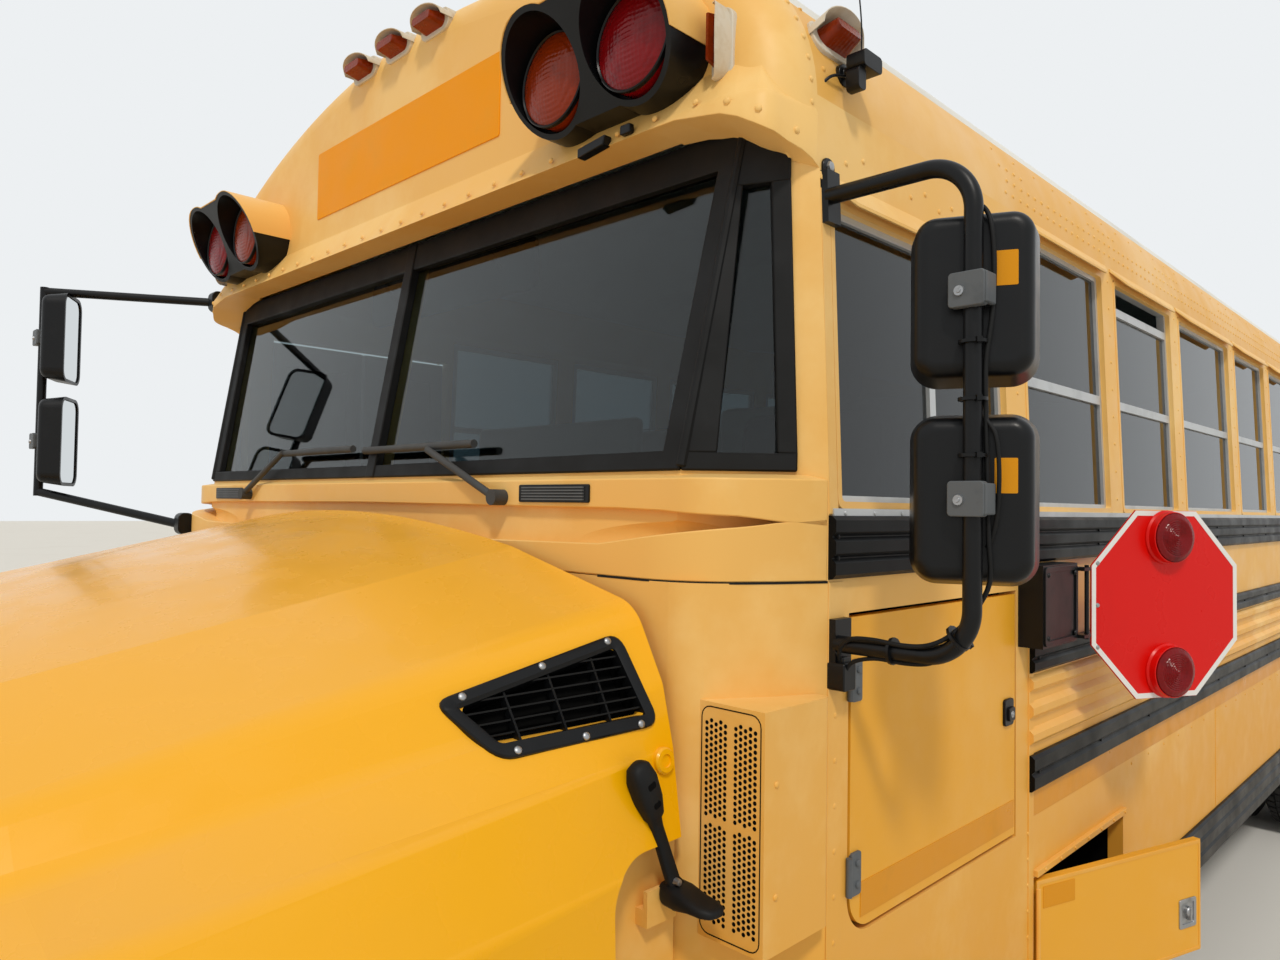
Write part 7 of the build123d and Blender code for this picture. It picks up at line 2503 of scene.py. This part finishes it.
@dataclass
class NoseLamps:
    """Headlamps and turn lamps in the hood, in place of the plain lamp blocks.

    Each opening is its two distances from the middle, its bottom and its top.
    """

    head: tuple[float, float, float, float] = (0.600, 0.860, 0.985, 1.150)
    turn: tuple[float, float, float, float] = (0.885, 0.975, 0.985, 1.130)
    front_y: float = -5.143
    columns: int = 56
    rows: int = 10

    def build(self) -> None:
        """Make bezels, reflectors and lenses."""
        bezels, bowls, lenses, amber = Shape(), Shape(), Shape(), Shape()
        for side in SIDES:
            for (near, far, low, top), floor in ((self.head, -0.078), (self.turn, -0.048)):
                wide, tall = far - near, top - low
                spot = place((side * (near + far) / 2, self.front_y, (low + top) / 2), (1, 0, 0))
                bezels.at(spot).rim((wide, tall, 0.014), (wide - 0.026, tall - 0.026, 0.016), -0.045, 0.0)
                bezels.slab((wide - 0.004, tall - 0.004, 0.012), floor, floor + 0.004)
                if near == self.head[0]:
                    self.bowl(bowls.at(spot), wide - 0.026, tall - 0.026)
                    self.lens(lenses.at(spot), wide - 0.027, tall - 0.027, 0.010)
                else:
                    self.lens(amber.at(spot), wide - 0.027, tall - 0.027, 0.008)
        item = bezels.piece("headlamp_bezels", BLACK_PLASTIC, body="hood", bevel=0.001)
        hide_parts("headlamps")
        bowls.piece("headlamp_reflectors", MIRROR_GLASS, body="hood", slot="lamp_glass")
        lenses.piece("headlamp_lenses", LAMP_GLASS, body="hood")
        amber.piece("turn_lamp_lenses", AMBER_LENS, body="hood")

    def bowl(self, shape: Shape, wide: float, tall: float) -> None:
        """Reflector that narrows to the back, and the bulb's shield in it.

        Args:
            shape: the shape that takes it, in the lamp's frame.
            wide: width.
            tall: height.
        """
        rings = []
        for i in range(9):
            share = 1 - (i / 9) ** 1.6
            depth = -0.012 - 0.055 * math.sin(i / 8 * math.pi / 2)
            outline = rounded(wide * share + 0.004, tall * share + 0.004, 0.016 * share + 0.0015)
            rings.append([(x, y, depth) for x, y in outline])
        shape.skin(rings, caps=False)
        shape.lathe([(0.010, -0.066), (0.010, -0.036), (0.006, -0.030), (0.0, -0.029)], 16)

    def lens(self, shape: Shape, wide: float, tall: float, back: float) -> None:
        """Crowned lens with upright flutes, closed behind.

        Args:
            shape: the shape that takes it, in the lamp's frame.
            wide: width.
            tall: height.
            back: how far its rim lies behind the front.
        """
        x1, y1 = wide / 2, tall / 2
        lines = []
        for i in range(self.columns + 1):
            u = 2 * i / self.columns - 1
            flute = 0.9 + 0.1 * (-1) ** i
            heights = [2 * j / self.rows - 1 for j in range(self.rows + 1)]
            lines.append([(u * x1, v * y1, -back + (back - 0.001) * (1 - u ** 4) * (1 - v ** 4) * flute)
                          for v in heights])
        shape.skin(lines, closed=False, caps=False)
        shape.plate([(-x1, -y1), (x1, -y1), (x1, y1), (-x1, y1)], -back - 0.003, -back)


@dataclass
class Underbody:
    """Straps, clamps, flaps, shackles and bumper bolts under the bus."""

    tank_straps: Point = (3.22, 3.62, 4.02)
    hangers: Point = (-2.2, -1.92, -0.88, 0.4, 1.2, 2.9, 4.1, 4.9)
    pipe_r: float = 0.042
    silencer_r: float = 0.0865
    silencer: tuple[float, float] = (-1.95, -0.85)
    axles: Outline = ((-4.345, 0.680), (1.955, 0.700))
    spring_x: float = 0.390
    bolt_y: float = 5.3245

    def build(self) -> None:
        """Make the underbody's fittings."""
        straps, bolts, flaps = Shape(), Shape(), Shape()
        for y in self.tank_straps:
            straps.at(place((0, y, 0.67), (1, 0, 0)))
            straps.rim((0.668, 0.268, 0.064), (0.660, 0.260, 0.060), -0.02, 0.02)
            for x in (-0.331, 0.331):
                straps.block((x - 0.006, 0.10, -0.02), (x + 0.006, 0.272, 0.02))
        for y in self.hangers:
            straps.at(place((-0.520, y, 0.780), (1, 0, 0)))
            radius = self.silencer_r if self.silencer[0] < y < self.silencer[1] else self.pipe_r
            straps.hoop(circle(radius + 0.003, 28), circle(radius - 0.001, 28), -0.012, 0.012)
            straps.block((-0.004, radius, -0.012), (0.004, 0.175, 0.012))
        head = [(0.014, -0.002), (0.014, 0.0), (0.010, 0.0003), (0.0, 0.0004)]
        for side in SIDES:
            for axle_y, reach in self.axles:
                for end_y in (axle_y - reach, axle_y + reach):
                    straps.at(place((side * self.spring_x, end_y, 0.672), (0, 1, 0)))
                    straps.slab((0.060, 0.070, 0.02), -0.050, 0.050)
            straps.at().flank(side, (0.650, 1.130), (2.652, 2.660), (0.985, 1.020))
            flaps.flank(side, (0.640, 1.140), (2.660, 2.669), (0.280, 1.060))
            # The front bumper's ends are swept back
            for x, back in ((0.385, 0.0), (0.800, 0.0), (1.050, 0.0705)):
                bolts.at(place((side * x, back - self.bolt_y, 0.625), (1, 0, 0))).lathe(head, 20)
            for x in (0.385, 0.900):
                bolts.at(place((side * x, self.bolt_y, 0.565), (-1, 0, 0))).lathe(head, 20)
        straps.piece("underbody_straps", UNDERCOAT, bevel=0.0008)
        bolts.piece("bumper_bolts", ZINC)
        flaps.piece("mud_flaps", SEAL_RUBBER, bevel=0.002)


def main() -> None:
    """Load the frame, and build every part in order."""
    logging.basicConfig(level=logging.INFO, format="%(name)s | %(message)s")
    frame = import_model()
    Studio().build()
    PaintShop().build(frame["nodes"])
    parts = (Rivets(), WindscreenTrim(), SideWindows(), FrontCap(), LampLenses(), Mirrors(),
             HoodTrim(frame["nodes"]["hood"]), CowlTrim(), SideTrim(), Doors(), StopArm(), RoadWheels(),
             NoseLamps(),
             Seating(), Cab(), Underbody())
    for part in parts:
        part.build()


if __name__ == "__main__":
    main()
